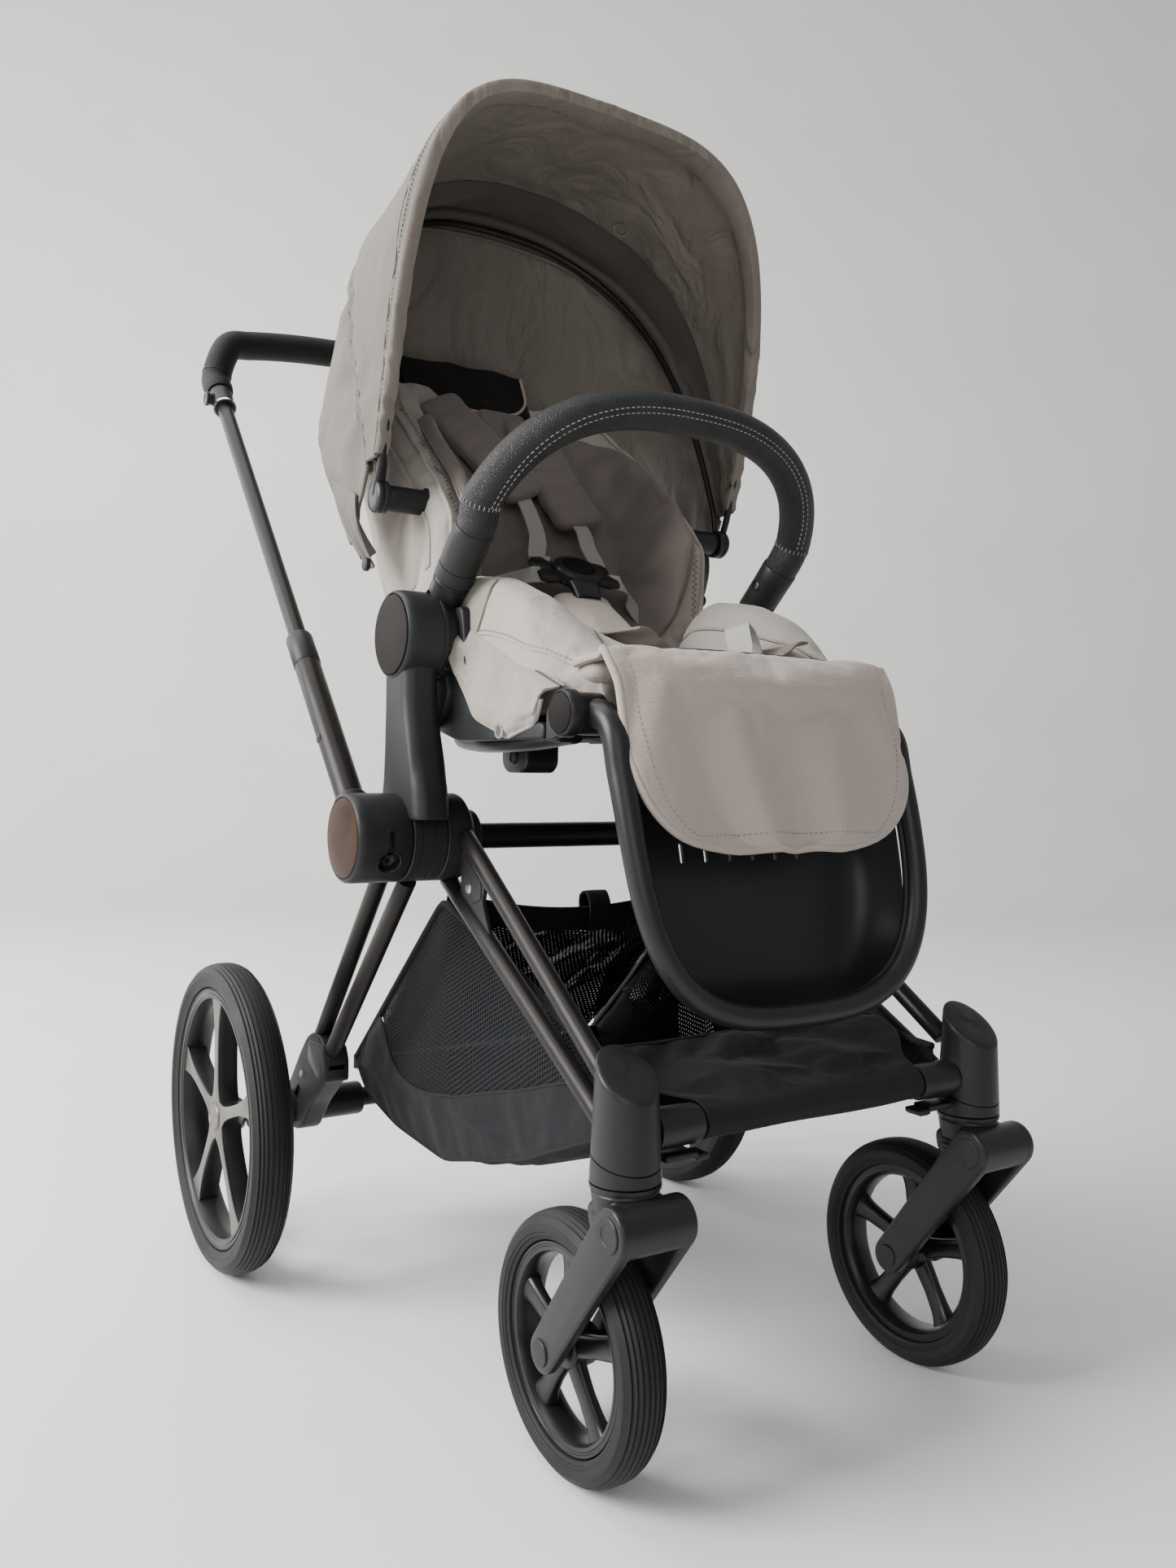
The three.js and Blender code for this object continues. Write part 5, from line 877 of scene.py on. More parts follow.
# ------------------------------------------------------------------ seat pad
def ip(x, xs, ys): return float(np.interp(x, xs, ys))
zc_ = lambda y: 598 + 6 * (15 - y) / 231
zb_ = lambda y: ip(-y, [-15, 20, 80, 126, 166, 197, 216], [671, 687, 677, 658, 631, 608, 601])
def seat_sec(y):
    zb, zc = zb_(y), zc_(y); h = zb - zc; k = 1.0 if y > -150 else 1 - 0.10 * ((-150 - y) / 66)
    p = [(146, 558), (150, 566), (152.5, 585), (153.5, zc + h * .35), (151, zb - 16), (146, zb - 5), (137, zb), (126, zb - 1), (115, zb - 8), (105, zc + h * .60), (95, zc + h * .25 + 2), (83, zc + 3), (60, zc + 1.5), (30, zc), (0, zc - 1)]
    return [(x * k, min(z, 700)) for x, z in p]
yy = [16, 12, 4] + list(np.linspace(-8, -190, 19)) + [-202, -210, -216, -219]
R = []
for i, y in enumerate(yy):
    s = seat_sec(y); sh = {0: .86, 1: .95, len(yy) - 1: .62, len(yy) - 2: .84, len(yy) - 3: .95}.get(i, 1.0)
    loop = [(x, z) for x, z in s] + [(-x, z) for x, z in s[:-1][::-1]] + [(-100, 557), (-50, 557), (0, 557), (50, 557), (100, 557)]
    R.append([(x * (0.97 + 0.03 * sh), y, 557 + (z - 557) * sh) for x, z in loop])
seat_g = fix(rings(np.array(R)))
seat = soft("seat_pad", seat_g, "liner", "seat", 5.0, 4, 4.0, 0.035, 7.0, pin=lambda v: np.clip((572 - v[:, 2]) / 12, 0, 1), replaces=["seat_cushion"], slot="liner_fabric")
son = On(seat)
for s in (-1, 1):
    seam_on(son, [(s * 100, 12, 650), (s * 103, -20, 655), (s * 104, -80, 648), (s * 106, -126, 635), (s * 112, -166, 618), (s * 120, -196, 606)], "seat_seam_inner%d" % s, "seat", "seam_dark", 0.7, -0.1, thread=True)
    seam_on(son, [(s * 153, 10, 628), (s * 153, -60, 630), (s * 150, -110, 622), (s * 148, -160, 606), (s * 140, -200, 592)], "seat_seam_outer%d" % s, "seat", "liner", 1.5, 0.2, thread=True)
    # smooth panel on the outer rear of the bolster
    pan = []
    for a in np.linspace(0, 1, 15):
        y = 8 - 84 * a; z1 = zb_(y) - 3; z0 = 612 + 50 * max(0, (a - .62) / .38) ** 1.6; pan.append([son([(s * (156 if b < .8 else 150), y, z0 + (z1 - z0) * b)], 1.5)[0][0] for b in np.linspace(0, 1, 12)])
    pg = np.array(pan)
    for _ in range(2): pg[1:-1] = (pg[:-2] + 2 * pg[1:-1] + pg[2:]) / 4
    o = make("seat_side_panel%d" % s, sheet_shell(pg, 1.6), "side_green", "seat", smooth=60); declare_sheet(o, (0.085, 0.075))

# ------------------------------------------------------------------ apron hanging outside each bolster
for s in (-1, 1):
    ylo = [-28, -40, -71, -129, -180, -190]; zlo = [616, 594, 557, 538, 549, 566]
    S = []
    for a in np.linspace(0, 1, 34):
        y = -28 - 162 * a; top = ip(-y, [28, 60, 100, 140, 175, 190], [648, 640, 620, 600, 585, 578]); bot = ip(-y, [28, 40, 71, 129, 180, 190], zlo); row = []
        for b in np.linspace(0, 1, 22):
            x = ip(b, [0, .12, .35, .7, .92, 1], [152, 161, 171, 173.5, 172, 169.5]); y2 = y + 4 * math.sin(b * 2.6 + a * 5)
            fold = 1.6 * math.sin(a * 17 + b * 2) * b * (1 - .4 * a); row.append((s * (x + fold * .7), y2, top + (bot - top) * b))
        S.append(row)
    S = simgrid(np.array(S), frames=14, expand=0.035, cap=5.0, bend=0.3, pin=lambda v: np.where(np.abs(v[:, 0]) < 163, 1.0, 0.0) + np.where(v[:, 2] < np.interp(-v[:, 1], [28, 40, 71, 129, 180, 190], zlo) + 3, 0.8, 0))
    S[:, :, 0] = np.sign(S[:, :, 0]) * np.clip(np.abs(S[:, :, 0]), 151, 177)
    ap = make("seat_apron%d" % s, sheet_shell(S, 2.2), "liner_uv", "seat", smooth=60, sub=1); declare_sheet(ap, (0.17, 0.105), area=0.0145)
    hem = sweep(smoothpts(S[:, -1] + A(0, 0, 0.6), 2), 1.9, 10); make("seat_apron_hem%d" % s, hem, "liner", "seat", smooth=60)
    tb = sweep(smoothpts(S[:, 1] + A(s * 1.5, 0, 0), 2), 1.3, 8); make("seat_apron_seam%d" % s, tb, "seam_dark", "seat", smooth=60)
    ey = S[20, 19]; eye = lathe_closed([(s * 0.6 - 0, 6.6), (s * 1.9, 6.0), (s * 1.9, 4.4), (s * .6, 3.8)], 32, (ey[0] + s * .9, ey[1], ey[2])); make("seat_eyelet%d" % s, eye, "steel", "seat", smooth=50)
    # a dark disc fills the eyelet's opening: painted shade of the hole
    eyelet_shade_disc = lathe([(0, 0.1), (0, 4.2), (s * 1.5, 4.2), (s * 1.6, 0.1)] if s > 0 else [(-1.6, .1), (-1.5, 4.2), (0, 4.2), (0, .1)], 24, c=(ey[0] + s * .9, ey[1], ey[2])); make("seat_eyelet_hole%d" % s, eyelet_shade_disc, "seam_dark", "seat", smooth=50)

# ------------------------------------------------------------------ seat frame below the pad
rim0 = [(-146, -197, 541), (-146, -120, 536), (-146, -40, 536), (-139, 8, 541), (-112, 33, 548), (0, 40, 552)]
rimp = spline(rim0 + [(-x, y, z) for x, y, z in rim0[:-1][::-1]], 120)
frg = sweep(rimp, 8, 24, up=A(0, 0, 1)) + slabx(outline([(-205, 543), (16, 543), (16, 556), (-205, 556)], 4), -134, 134, 3, 3)
for s in (-1, 1):
    b = slabx(outline([(-96, 546), (-96, 517), (-88, 510), (-60, 510), (-52, 518), (-52, 546)], 5), 98, 131, 2.5, 3)
    b2 = slabx(outline([(-150, 550), (-150, 536), (-60, 536), (-60, 550)], 4), 120, 146, 2, 2)
    hd = lathe([(160.2, 7), (160.2, 17.6), (161, 18.5), (168.6, 18.5), (170.8, 17.6), (171.6, 16.6), (171.0, 16.0), (170.4, 15.8), (170.4, 4)], 64, c=(0, -216, 556)) + lathe([(134.6, 7), (162, 7)], 24, c=(0, -216, 556))
    hb2 = slabx(outline([(-214, 572), (-214, 540), (-190.5, 534), (-190.5, 560)], 5), 160.3, 168.5, 1.5, 3) + slabx(outline([(-198.9, 534), (-190.5, 534), (-190.5, 550), (-198.9, 550)], 1.5), 142, 161, .8, 2)
    for g_ in (b, b2, hd, hb2): frg = frg + (g_ if s > 0 else g_.mirror())
ribs_ = G()
for x in (-96, -64, -32, 0, 32, 64, 96): ribs_ = ribs_ + slabx(outline([(-196, 545), (8, 545), (8, 539), (-196, 539)], 2), x - 1.3, x + 1.3, .5, 1)
for y in (-160, -110, -60, -15): ribs_ = ribs_ + slabx(outline([(y - 1.3, 545), (y + 1.3, 545), (y + 1.3, 539.5), (y - 1.3, 539.5)], .5), -128, 128, .5, 1)
make("seat_frame", frg, "plastic_satin", "seat", replaces="seat_frame", smooth=34, slot="moulding")
make("seat_pan_ribs", ribs_, "plastic", "seat", smooth=34, slot="moulding")
caps = lathe([(170.2, 0), (170.2, 15.5), (171.6, 15.4), (172.0, 14.6), (172.2, 0)], 64, c=(0, -216, 556)); make("foot_hinge_disc_left", caps, "disc", "seat", slot="moulding"); make("foot_hinge_disc_right", caps.mirror(), "disc", "seat", slot="moulding")
bc = lathe([(131, 6.6), (132.6, 6.2), (132.8, 4.8), (131.8, 4.2), (131.8, .2)], 32, c=(0, -74, 524)); pair("recline_box_boss", bc, "plastic", "seat", slot="moulding")
# pull loop with a ribbed grip
pl = spline([(-62, -150, 541.5), (-62, -152, 524), (-54, -156, 506), (-36, -158, 499), (0, -158, 498), (36, -158, 499), (54, -156, 506), (62, -152, 524), (62, -150, 541.5)], 110)
plg = sweep(pl, 5.5, 20, up=A(0, 1, 0))
for x in np.arange(-30, 31, 5.0): plg = plg + sweep([(x - 1.0, -158, 498.4), (x + 1.0, -158, 498.4)], 6.3, 20, round_end=.5)
make("pull_loop", plg, "plastic_satin", "recline_pull", replaces="pull_loop", smooth=40, slot="moulding")

# ------------------------------------------------------------------ backrest
WU = [-14, 20, 60, 90, 145, 241, 317, 354]; WN = [84, 104, 126, 143, 134, 98, 66, 52]
wing = lambda u: ip(u, WU, WN)
def back_sec(u):
    nw = wing(u); t = 1 if u < 270 else 1 - 0.12 * (u - 270) / 84; c = 43
    p = [(145, 9), (149, 16), (151.5, 30), (152, c + (nw - c) * .35), (150.5, nw - 14), (147, nw - 4), (140, nw), (131, nw - 2), (122, nw - 10), (112, c + (nw - c) * .60), (101, c + (nw - c) * .28 + 2), (88, c + 5), (62, c + 1), (30, c), (0, c)]
    return [(x * t, n) for x, n in p]
uu = [16, 20, 28] + list(np.linspace(40, 330, 24)) + [342, 350, 355, 358]
R = []
for i, u in enumerate(uu):
    s = back_sec(u); sh = {0: .8, 1: .94, len(uu) - 1: .5, len(uu) - 2: .78, len(uu) - 3: .92}.get(i, 1.0)
    loop = s + [(-x, n) for x, n in s[:-1][::-1]] + [(-100, 8.8), (-50, 8.8), (0, 8.8), (50, 8.8), (100, 8.8)]
    R.append([bp(x * (.97 + .03 * sh), u, 8.8 + (n - 8.8) * sh) for x, n in loop])
back = soft("back_pad", fix(rings(np.array(R))), "liner", "backrest", 5.0, 4, 4.0, 0.035, 7.0, pin=lambda v: np.clip((18 - ((v - A(0, 104, 600)) @ BN)) / 8, 0, 1), replaces=["back_cushion"], slot="liner_fabric")
bon = On(back)
for s in (-1, 1):
    us = np.linspace(28, 330, 14); crest = [bp(s * 146 * (1 if u < 270 else 1 - .12 * (u - 270) / 84), u, wing(u) - 2) for u in us]
    P, N = bon(spline(crest, 110), 0.6); P = smoothpts(P, 6)
    o = make("back_piping%d" % s, sweep(P, 2.3, 12), "liner", "backrest", smooth=60)
    ins = smoothpts(bon([p + A(-s * 9, 0, 0) for p in P])[0], 4); T_ = frames(ins)[0]; Nn = bon(ins)[1]; zz = np.cross(Nn, T_); zig = ins + Nn * .3 + zz * (np.where(np.arange(len(ins)) % 2, 2.2, -2.2))[:, None]
    make("back_zigzag%d" % s, sweep(zig, 0.5, 5), "thread_dull", "backrest", smooth=60)
# smooth insert over the back and the inside of the wings
def back_pt(s, u):
    nw = wing(u); c = 43; a = abs(s)
    x = ip(a, [0, .2, .4, .52, .66, .8, .92, 1], [0, 34, 68, 90, 105, 117, 127, 136]); n = ip(a, [0, .2, .4, .52, .66, .8, .92, 1], [c, c, c + 2, c + 8, c + (nw - c) * .38, c + (nw - c) * .74, nw - 6, nw + 1])
    return math.copysign(x, s), n
S = []
for i in range(58):
    q = i / 57; u = 14 + 300 * q; lim = (max(1 - abs(2 * q - 1 + .10) ** 3.6, 0.0) ** (1 / 2.6)) * 0.98; lim = max(lim, .30); row = []
    for j in range(61):
        a = -1 + 2 * j / 60; s_ = a * lim; x, n = back_pt(s_, u); edge = max(0, 1 - (1 - abs(a)) / .12)
        th = 14 * (1 - edge ** 2.5) ** .5 if edge < 1 else 0
        puffs = 1 - .42 * math.exp(-((abs(s_) - .47) / .035) ** 2)
        row.append(bp(x * (1 - th * .0012), u, n + 4.5 + th * puffs))
    S.append(row)
S = np.array(S)
S = simgrid(S, frames=14, expand=0.03, cap=5.0, bend=0.5, pressure=0.0, pin=lambda v: np.zeros(len(v)) + 0.03 + 0.9 * (np.arange(len(v)) % 61 < 2) + 0.9 * (np.arange(len(v)) % 61 > 58) + 0.9 * (np.arange(len(v)) < 61) + .5 * (np.abs(np.abs(np.arange(len(v)) % 61 - 30) - 14.5) < 1))
ins_o = make("seat_insert_back", sheet_shell(S, 3.0), "pad", "backrest", smooth=60, sub=1, slot="liner_fabric"); declare_sheet(ins_o, (0.36, 0.34), area=0.105)
ion = On(ins_o)
for s in (-1, 1):
    pts = []
    for q in np.linspace(.03, .93, 16):
        u = 14 + 300 * q; x, n = back_pt(s * (.44 + .03 * math.sin(q * 3)), u); pts.append(bp(x, u, n + 12))
    seam_on(ion, pts, "insert_seam%d" % s, "backrest", "seam_dark", 0.75, -0.1, 90)
edgeL = smoothpts(np.concatenate([S[:, 0], S[-1, :][1:], S[::-1, -1][1:]]), 2); make("insert_piping", sweep(edgeL, 1.7, 8), "pad", "backrest", smooth=60)
# the dark mesh window and top flap at the head
S = np.array([[bp(x, u, 47 + 6 * math.cos(x / 70) + 1.5 * math.sin(x / 9 + u / 15)) for x in np.linspace(-104, 44, 40)] for u in np.linspace(322, 386, 14)])
mw = make("head_mesh", sheet_shell(S, 1.2), "mesh_fine", "backrest", smooth=60); declare_sheet(mw, (0.148, 0.065))
S = np.array([[bp(x, u, 42 + 4 * math.cos(x / 70)) for x in np.linspace(-108, 50, 30)] for u in np.linspace(318, 392, 12)])
mb = make("head_mesh_back", sheet_shell(S, 1.2), "cloth", "backrest", smooth=60); declare_sheet(mb, (0.158, 0.075))
make("head_mesh_hem", sweep(spline([bp(-106, 322, 54), bp(-60, 319, 55), bp(-10, 319, 55), bp(24, 326, 54), bp(42, 346, 53), bp(46, 384, 52)], 70), 1.8, 8), "liner", "backrest", smooth=60)
def pillow(c, ax, ay, az, w, h, t, n=2.6, m=26):
    """rounded pad centred on c: ax across (w), ay along (h), az out (t)"""
    th = np.linspace(0, 2 * math.pi, 4 * m, endpoint=False); R = []
    for k in np.linspace(-1, 1, 13):
        r = (1 - abs(k) ** 2.6) ** (1 / 2.2) if abs(k) < 1 else 0.0; r = .55 + .45 * r if abs(k) < .999 else .5
        R.append([c + ax * (w / 2 * r * math.copysign(abs(math.cos(a)) ** (2 / 4.5), math.cos(a))) + ay * (h / 2 * r * math.copysign(abs(math.sin(a)) ** (2 / 4.5), math.sin(a))) + az * (t / 2 * k) for a in th])
    return fix(rings(np.array(R)))
def strip_pad(path, normal, w, t, quilt=0, taper=0):
    """padded strip along a path, quilted across if asked"""
    P = np.asarray(path, float); m = len(P); T = np.gradient(P, axis=0); T /= np.linalg.norm(T, axis=1)[:, None]; th = np.linspace(0, 2 * math.pi, 40, endpoint=False); R = []
    for i, (p, tt) in enumerate(zip(P, T)):
        u = normal if np.ndim(normal) == 1 else normal[i]; s = unit(np.cross(tt, u)); u2 = np.cross(s, tt); q = i / (m - 1)
        e = min(1, min(q, 1 - q) / .06); e = .55 + .45 * math.sqrt(max(0, 1 - (1 - e) ** 2)); k = 1 - (.28 * abs(math.cos(math.pi * quilt * q)) ** 8 if quilt else 0)
        R.append([p + s * (w / 2 * (1 - taper * q)) * e * math.copysign(abs(math.cos(a)) ** .45, math.cos(a)) + u2 * t / 2 * k * e * math.copysign(abs(math.sin(a)) ** .7, math.sin(a)) for a in th])
    return fix(rings(np.array(R)))
def backpath(pts, n=46): return spline([bp(*p) for p in pts], n)
sp1 = soft("shoulder_pad_right", strip_pad(backpath([(-84, 312, 64), (-58, 268, 70), (-30, 222, 76), (-10, 184, 82)], 60), BN, 58, 20, quilt=6), "pad", "backrest", 3.2, 2, 2.0, 0.03, 3.0, frames=12)
sp2 = soft("shoulder_pad_left", strip_pad(backpath([(26, 300, 64), (28, 250, 72), (34, 200, 78), (46, 152, 84)], 60), BN, 60, 20, quilt=6), "pad", "backrest", 3.2, 2, 2.0, 0.03, 3.0, frames=12)

# outer cover of the back: a U round the shell and its arms
S = []
for i in range(40):
    u = 62 + 294 * i / 39; t = 1 if u < 270 else 1 - .10 * (u - 270) / 86; ne = max(22, wing(u) - 26); row = []
    prof = [(-158, ne), (-160, ne * .6), (-160, ne * .3), (-159, 4), (-154, -3.5), (-140, -5.5), (-90, -6), (-30, -6)]
    prof = prof + [(-x, n) for x, n in prof[::-1]]
    row = even(np.array([(x * t, 0, n) for x, n in prof]), 90); S.append([bp(p[0], u, p[2]) for p in row])
S = simgrid(np.array(S), frames=12, expand=0.02, cap=4.0, bend=.5, pin=lambda v: np.clip((np.abs((v - A(0, 104, 600)) @ BN) < 7) * .9 + (np.arange(len(v)) % 90 < 2) * .9 + (np.arange(len(v)) % 90 > 87) * .9, 0, 1))
bc_ = make("back_cover", sheet_shell(S, 2.0), "liner_uv", "backrest", smooth=60, sub=1, slot="liner_fabric"); declare_sheet(bc_, (0.50, 0.30), area=0.135)
for s, col in ((-1, 0), (1, -1)): make("back_cover_hem%d" % s, sweep(smoothpts(S[:, col], 2), 1.8, 8), "liner", "backrest", smooth=60)
armO = outline([(-16, 622), (-6, 614.5), (10, 611), (60, 622), (118, 640), (170, 722), (160, 745), (112, 738), (80, 776), (58, 780), (48, 762), (64, 722), (68, 692), (20, 656), (-12, 642)], 6)
arms = slabx(armO, 148.2, 156.6, 2.2, 3) + lathe([(150, 8), (150, 12), (190, 12), (193.4, 11), (193.7, 8)], 40, c=(0, 64, 765), r=.5) + lathe([(152.8, 9), (152.8, 11.6), (186, 11.6)], 40, c=(0, SY, SZ))
sh_ = np.array([[bp(x * (1 - (0.10 * (u - 288) / 68 if u > 288 else 0)), u, 4) for x in np.linspace(-150, 150, 30)] for u in np.linspace(12, 356, 30)])
make("back_shell", arms + arms.mirror() + sheet_shell(sh_, 8), "plastic", "backrest", replaces="back_shell", smooth=34, slot="moulding")

# ------------------------------------------------------------------ canopy
CN = {"front": (210, 408, 109.5, 3.84, 3.94, 57, 62, 765), "mid": (210, 377, 74.5, 2.45, 3.48, 65, 62, 765), "rear": (200, 275, 50, 4.6, 4.6, 0, 115, 712)}
def bow(c, u, grow=0.0):
    w_, h_, a_, ex, ey, b_, y_, z_ = CN[c]; t = u * math.pi / 2; st, ct = math.sin(t), max(math.cos(t), 0)
    s = ct ** (2 / ey); S_ = s * (h_ + grow)
    return A((w_ + grow) * math.copysign(abs(st) ** (2 / ex), st), y_ + S_ * math.cos(math.radians(a_)) + b_ * s * s, z_ + S_ * math.sin(math.radians(a_)))
def bowpts(c, n, grow=0.0): return even(np.array([bow(c, u, grow) for u in np.linspace(-1, 1, 1601)]), n)
NB = 121
Fb, Mb, Rb = bowpts("front", NB), bowpts("mid", NB), bowpts("rear", NB)
CC = A(0, 110, 780)
def canopy_grid(a0, b0, u0, u1, vs, puff, nu=111):
    us = np.linspace(u0, u1, nu) * (NB - 1); pa = np.stack([np.interp(us, np.arange(NB), a0[:, k]) for k in range(3)], 1); pb = np.stack([np.interp(us, np.arange(NB), b0[:, k]) for k in range(3)], 1); G_ = []
    for v in vs:
        p = pa * (1 - v) + pb * v; n = p - CC; n /= np.linalg.norm(n, axis=1)[:, None]; e = np.minimum(1, 6 * np.minimum(np.linspace(0, 1, nu), 1 - np.linspace(0, 1, nu)))
        G_.append(p - n * (puff * math.sin(math.pi * max(min(v, 1), 0)) * e)[:, None])
    return np.array(G_)
def gridnorm(S):
    N = np.cross(np.gradient(S, axis=1), np.gradient(S, axis=0)); N /= np.maximum(np.linalg.norm(N, axis=2), 1e-9)[..., None]
    c = S.reshape(-1, 3).mean(0); 
    if np.sum(N * (S - CC)) < 0: N = -N
    return N
def loop_loft(L, mats=None):
    """L (k, n, 3): k points of a closed cross-section, n stations; flat caps; mats per cross-section segment"""
    k, n, _ = L.shape; f, mi = [], []
    for i in range(k):
        q = (i + 1) % k
        for j in range(n - 1): f.append((i * n + j, i * n + j + 1, q * n + j + 1, q * n + j)); mi.append(mats[i] if mats else 0)
    f.append(tuple(i * n for i in range(k))); f.append(tuple(i * n + n - 1 for i in range(k))[::-1]); mi += [0, 0]
    lu = np.concatenate([np.zeros((k, 1)), np.cumsum(np.linalg.norm(np.diff(L, axis=1), axis=2), axis=1)], 1); lu = lu - lu[:, [n // 2]]
    d = np.linalg.norm(np.diff(L, axis=0), axis=2).mean(1); lv = np.concatenate([[0], np.cumsum(d)])[:, None] * np.ones((1, n))
    g = G(L.reshape(-1, 3), f, np.stack([lu, lv], 2).reshape(-1, 2) / 1000, mi)
    return g if volume(g) > 0 else g.flip()
# front panel with its turned-in hem
vs = np.linspace(0, 0.985, 34)
S = canopy_grid(Fb, Mb, 0.035, 0.965, vs, 4.0); nn = S.shape[1]
rowid = lambda v: np.arange(len(v)) // nn
S = simgrid(S, frames=16, expand=0.014, cap=6.0, bend=0.6, stiff=14, pressure=0.6, pin=lambda v: np.where((rowid(v) < 2) | (rowid(v) > 32), 1.0, 0.0) + 0.12 * (rowid(v) < 5))
FN = gridnorm(S); FS = S
out = S + FN * 1.3; fwd = S[0] - S[2]; fwd /= np.linalg.norm(fwd, axis=1)[:, None]
nose = [S[0] + FN[0] * 1.4 + fwd * 1.6, S[0] + fwd * 3.4 + FN[0] * .6, S[0] + fwd * 4.2 - FN[0] * 1.4, S[0] + fwd * 4.0 - FN[0] * 5.0, S[0] - FN[0] * 11.2 + fwd * 2.4]
k1 = 4
inn = S - FN * 1.5
inner = [S[1] * .6 + S[2] * .4 - FN[1] * 12.0, S[2] * .3 + S[3] * .7 - FN[2] * 10.4, S[4] * .6 + S[3] * .4 - FN[3] * 6.4, inn[4] - FN[4] * 1.6]
L = np.array(list(out[::-1]) + nose + inner + list(inn[5:])); segs = len(L); nb = len(out) + len(nose)
band0 = nb + len(inner) + int(.70 * 34) - 5
mats = [0] * (nb - 4) + [1] * (band0 - nb + 4) + [2] * (segs - band0)
cf = make("canopy_front_cover", loop_loft(L, mats), ["canopy_out", "canopy_in", "canopy_band"], None, smooth=50, slot="canopy_fabric", replaces=["canopy_panel_front"])
for p in cf.data.polygons: p.use_smooth = True
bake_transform(cf)
# rear panel
S = canopy_grid(Mb, Rb, 0.03, 0.97, np.linspace(0.012, 1, 40), 4.0); nn = S.shape[1]
S = simgrid(S, frames=18, expand=0.035, cap=9.0, bend=0.35, stiff=12, pressure=0.0, pin=lambda v: np.where((np.arange(len(v)) // nn < 1) | (np.arange(len(v)) // nn > 38), 1.0, 0.0))
RN = gridnorm(S); RS = S; out = S + RN * 1.2; inn = S - RN * 1.2
L = np.array(list(out[::-1]) + list(inn)); mats = [0] * len(out) + [1] * len(inn)
cr = make("canopy_rear_cover", loop_loft(L, mats), ["canopy_out", "canopy_in2"] if "canopy_in2" in MATS else ["canopy_out", "canopy_in"], None, smooth=50, slot="canopy_fabric", replaces=["canopy_panel_rear"])
for p in cr.data.polygons: p.use_smooth = True
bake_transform(cr)
def ribbon_on(S_, N_, v, off, r, name, mat, body, thread=False, nmax=None):
    i = v * (S_.shape[0] - 1); a = int(i); f = i - a; a2 = min(a + 1, S_.shape[0] - 1); P = S_[a] * (1 - f) + S_[a2] * f + (N_[a] * (1 - f) + N_[a2] * f) * off
    P = smoothpts(P, 2)
    if thread: g = stitches(P, N_[a] * math.copysign(1, off), 0.0, 0.25, 4.6, 2.9, 0.34)
    else: g = sweep(P, r, 8)
    return make(name, g, mat, body, smooth=60)
pcs = [ribbon_on(FS, FN, .115, -3.2, 1.0, "canopy_hem_seam", "seam_dark", None), ribbon_on(FS, FN, .135, -3.0, .5, "canopy_hem_thread", "thread_dull", None, True), ribbon_on(FS, FN, .70, -1.7, .8, "canopy_band_seam", "seam_dark", None),
       ribbon_on(FS, FN, .055, 1.75, .5, "canopy_edge_thread", "thread_dull", None, True), ribbon_on(FS, FN, .10, 1.65, .8, "canopy_edge_seam", "canopy_in", None)]
for o in pcs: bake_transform(o)
# rib sleeve and zip on the middle bow, inside; piping outside
rib = [ribbon_on(FS, FN, .985, -6.5, 5.6, "canopy_rib_sleeve", "canopy_band", "canopy_mid"), ribbon_on(RS, RN, .05, -4.5, 2.4, "canopy_zip_cord", "seam_dark", "canopy_mid"), ribbon_on(RS, RN, .085, -3.5, 2.0, "canopy_zip_tape", "canopy_in", "canopy_mid"),
       ribbon_on(FS, FN, .99, .6, 2.0, "canopy_mid_piping", "canopy_out", "canopy_mid"), ribbon_on(RS, RN, .035, 1.2, .5, "canopy_mid_thread", "thread_dull", "canopy_mid", True)]
hemR = ribbon_on(RS, RN, .985, 0, 2.6, "canopy_rear_hem", "canopy_out", "backrest")
for k, (SS, NN, nm, pr) in enumerate(((FS, FN, "front", ("canopy_mid", "canopy_front", "mid", "front")), (RS, RN, "rear", ("backrest", "canopy_mid", "rear", "mid")))):
    for col, side in ((0, "right"), (-1, "left")):
        o = make("canopy_%s_low_hem_%s" % (nm, side), sweep(smoothpts(SS[:, col], 2), 2.2, 8), "canopy_out", None, smooth=60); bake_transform(o)
# snap ring on the lining
i = int(.66 * 33); c = FS[i, int(.62 * 110)]; n_ = -FN[i, int(.62 * 110)]
rg = ribbon_ring(c + n_ * 2.6, n_, 7.4, 1.6, 1.6, 36); o = make("canopy_snap_ring", rg, "steel", "canopy_front", smooth=50)
# rods and pivots
mdp = [p + A(0, -5, 0) for p in bowpts("mid", 161, -14.2)]; mdp = np.array([p for p in mdp if p[2] > 792])
mp = np.concatenate([[A(-197.1, 64, 766), A(-197.1, 66, 786)], mdp, [A(197.1, 66, 786), A(197.1, 64, 766)]])
frp = np.array([p for p in bowpts("front", 161, -6.2) if p[2] > 784]); fp = np.concatenate([[A(-204.3, 64, 766), A(-204.3, 60, 776)], frp, [A(204.3, 60, 776), A(204.3, 64, 766)]])
pm = lathe([(194, 5), (194, 14.2), (194.8, 15), (199.4, 15), (200.1, 14.4), (200.1, 5)], 56, c=(0, 64, 765)); pf_ = lathe([(200.6, 4), (200.6, 14.6), (201, 15), (204.8, 15), (206.6, 13.4), (207, 9), (207, .2)], 56, c=(0, 64, 765))
make("canopy_rod_mid", sweep(even(mp, 170), 3.6, 12) + pm + pm.mirror(), "plastic_satin", "canopy_mid", replaces="canopy_bow_mid", smooth=45, slot="moulding")
make("canopy_rod_front", sweep(even(fp, 170), 3.7, 12) + pf_ + pf_.mirror(), "plastic_satin", "canopy_front", replaces="canopy_bow_front", smooth=45, slot="moulding")
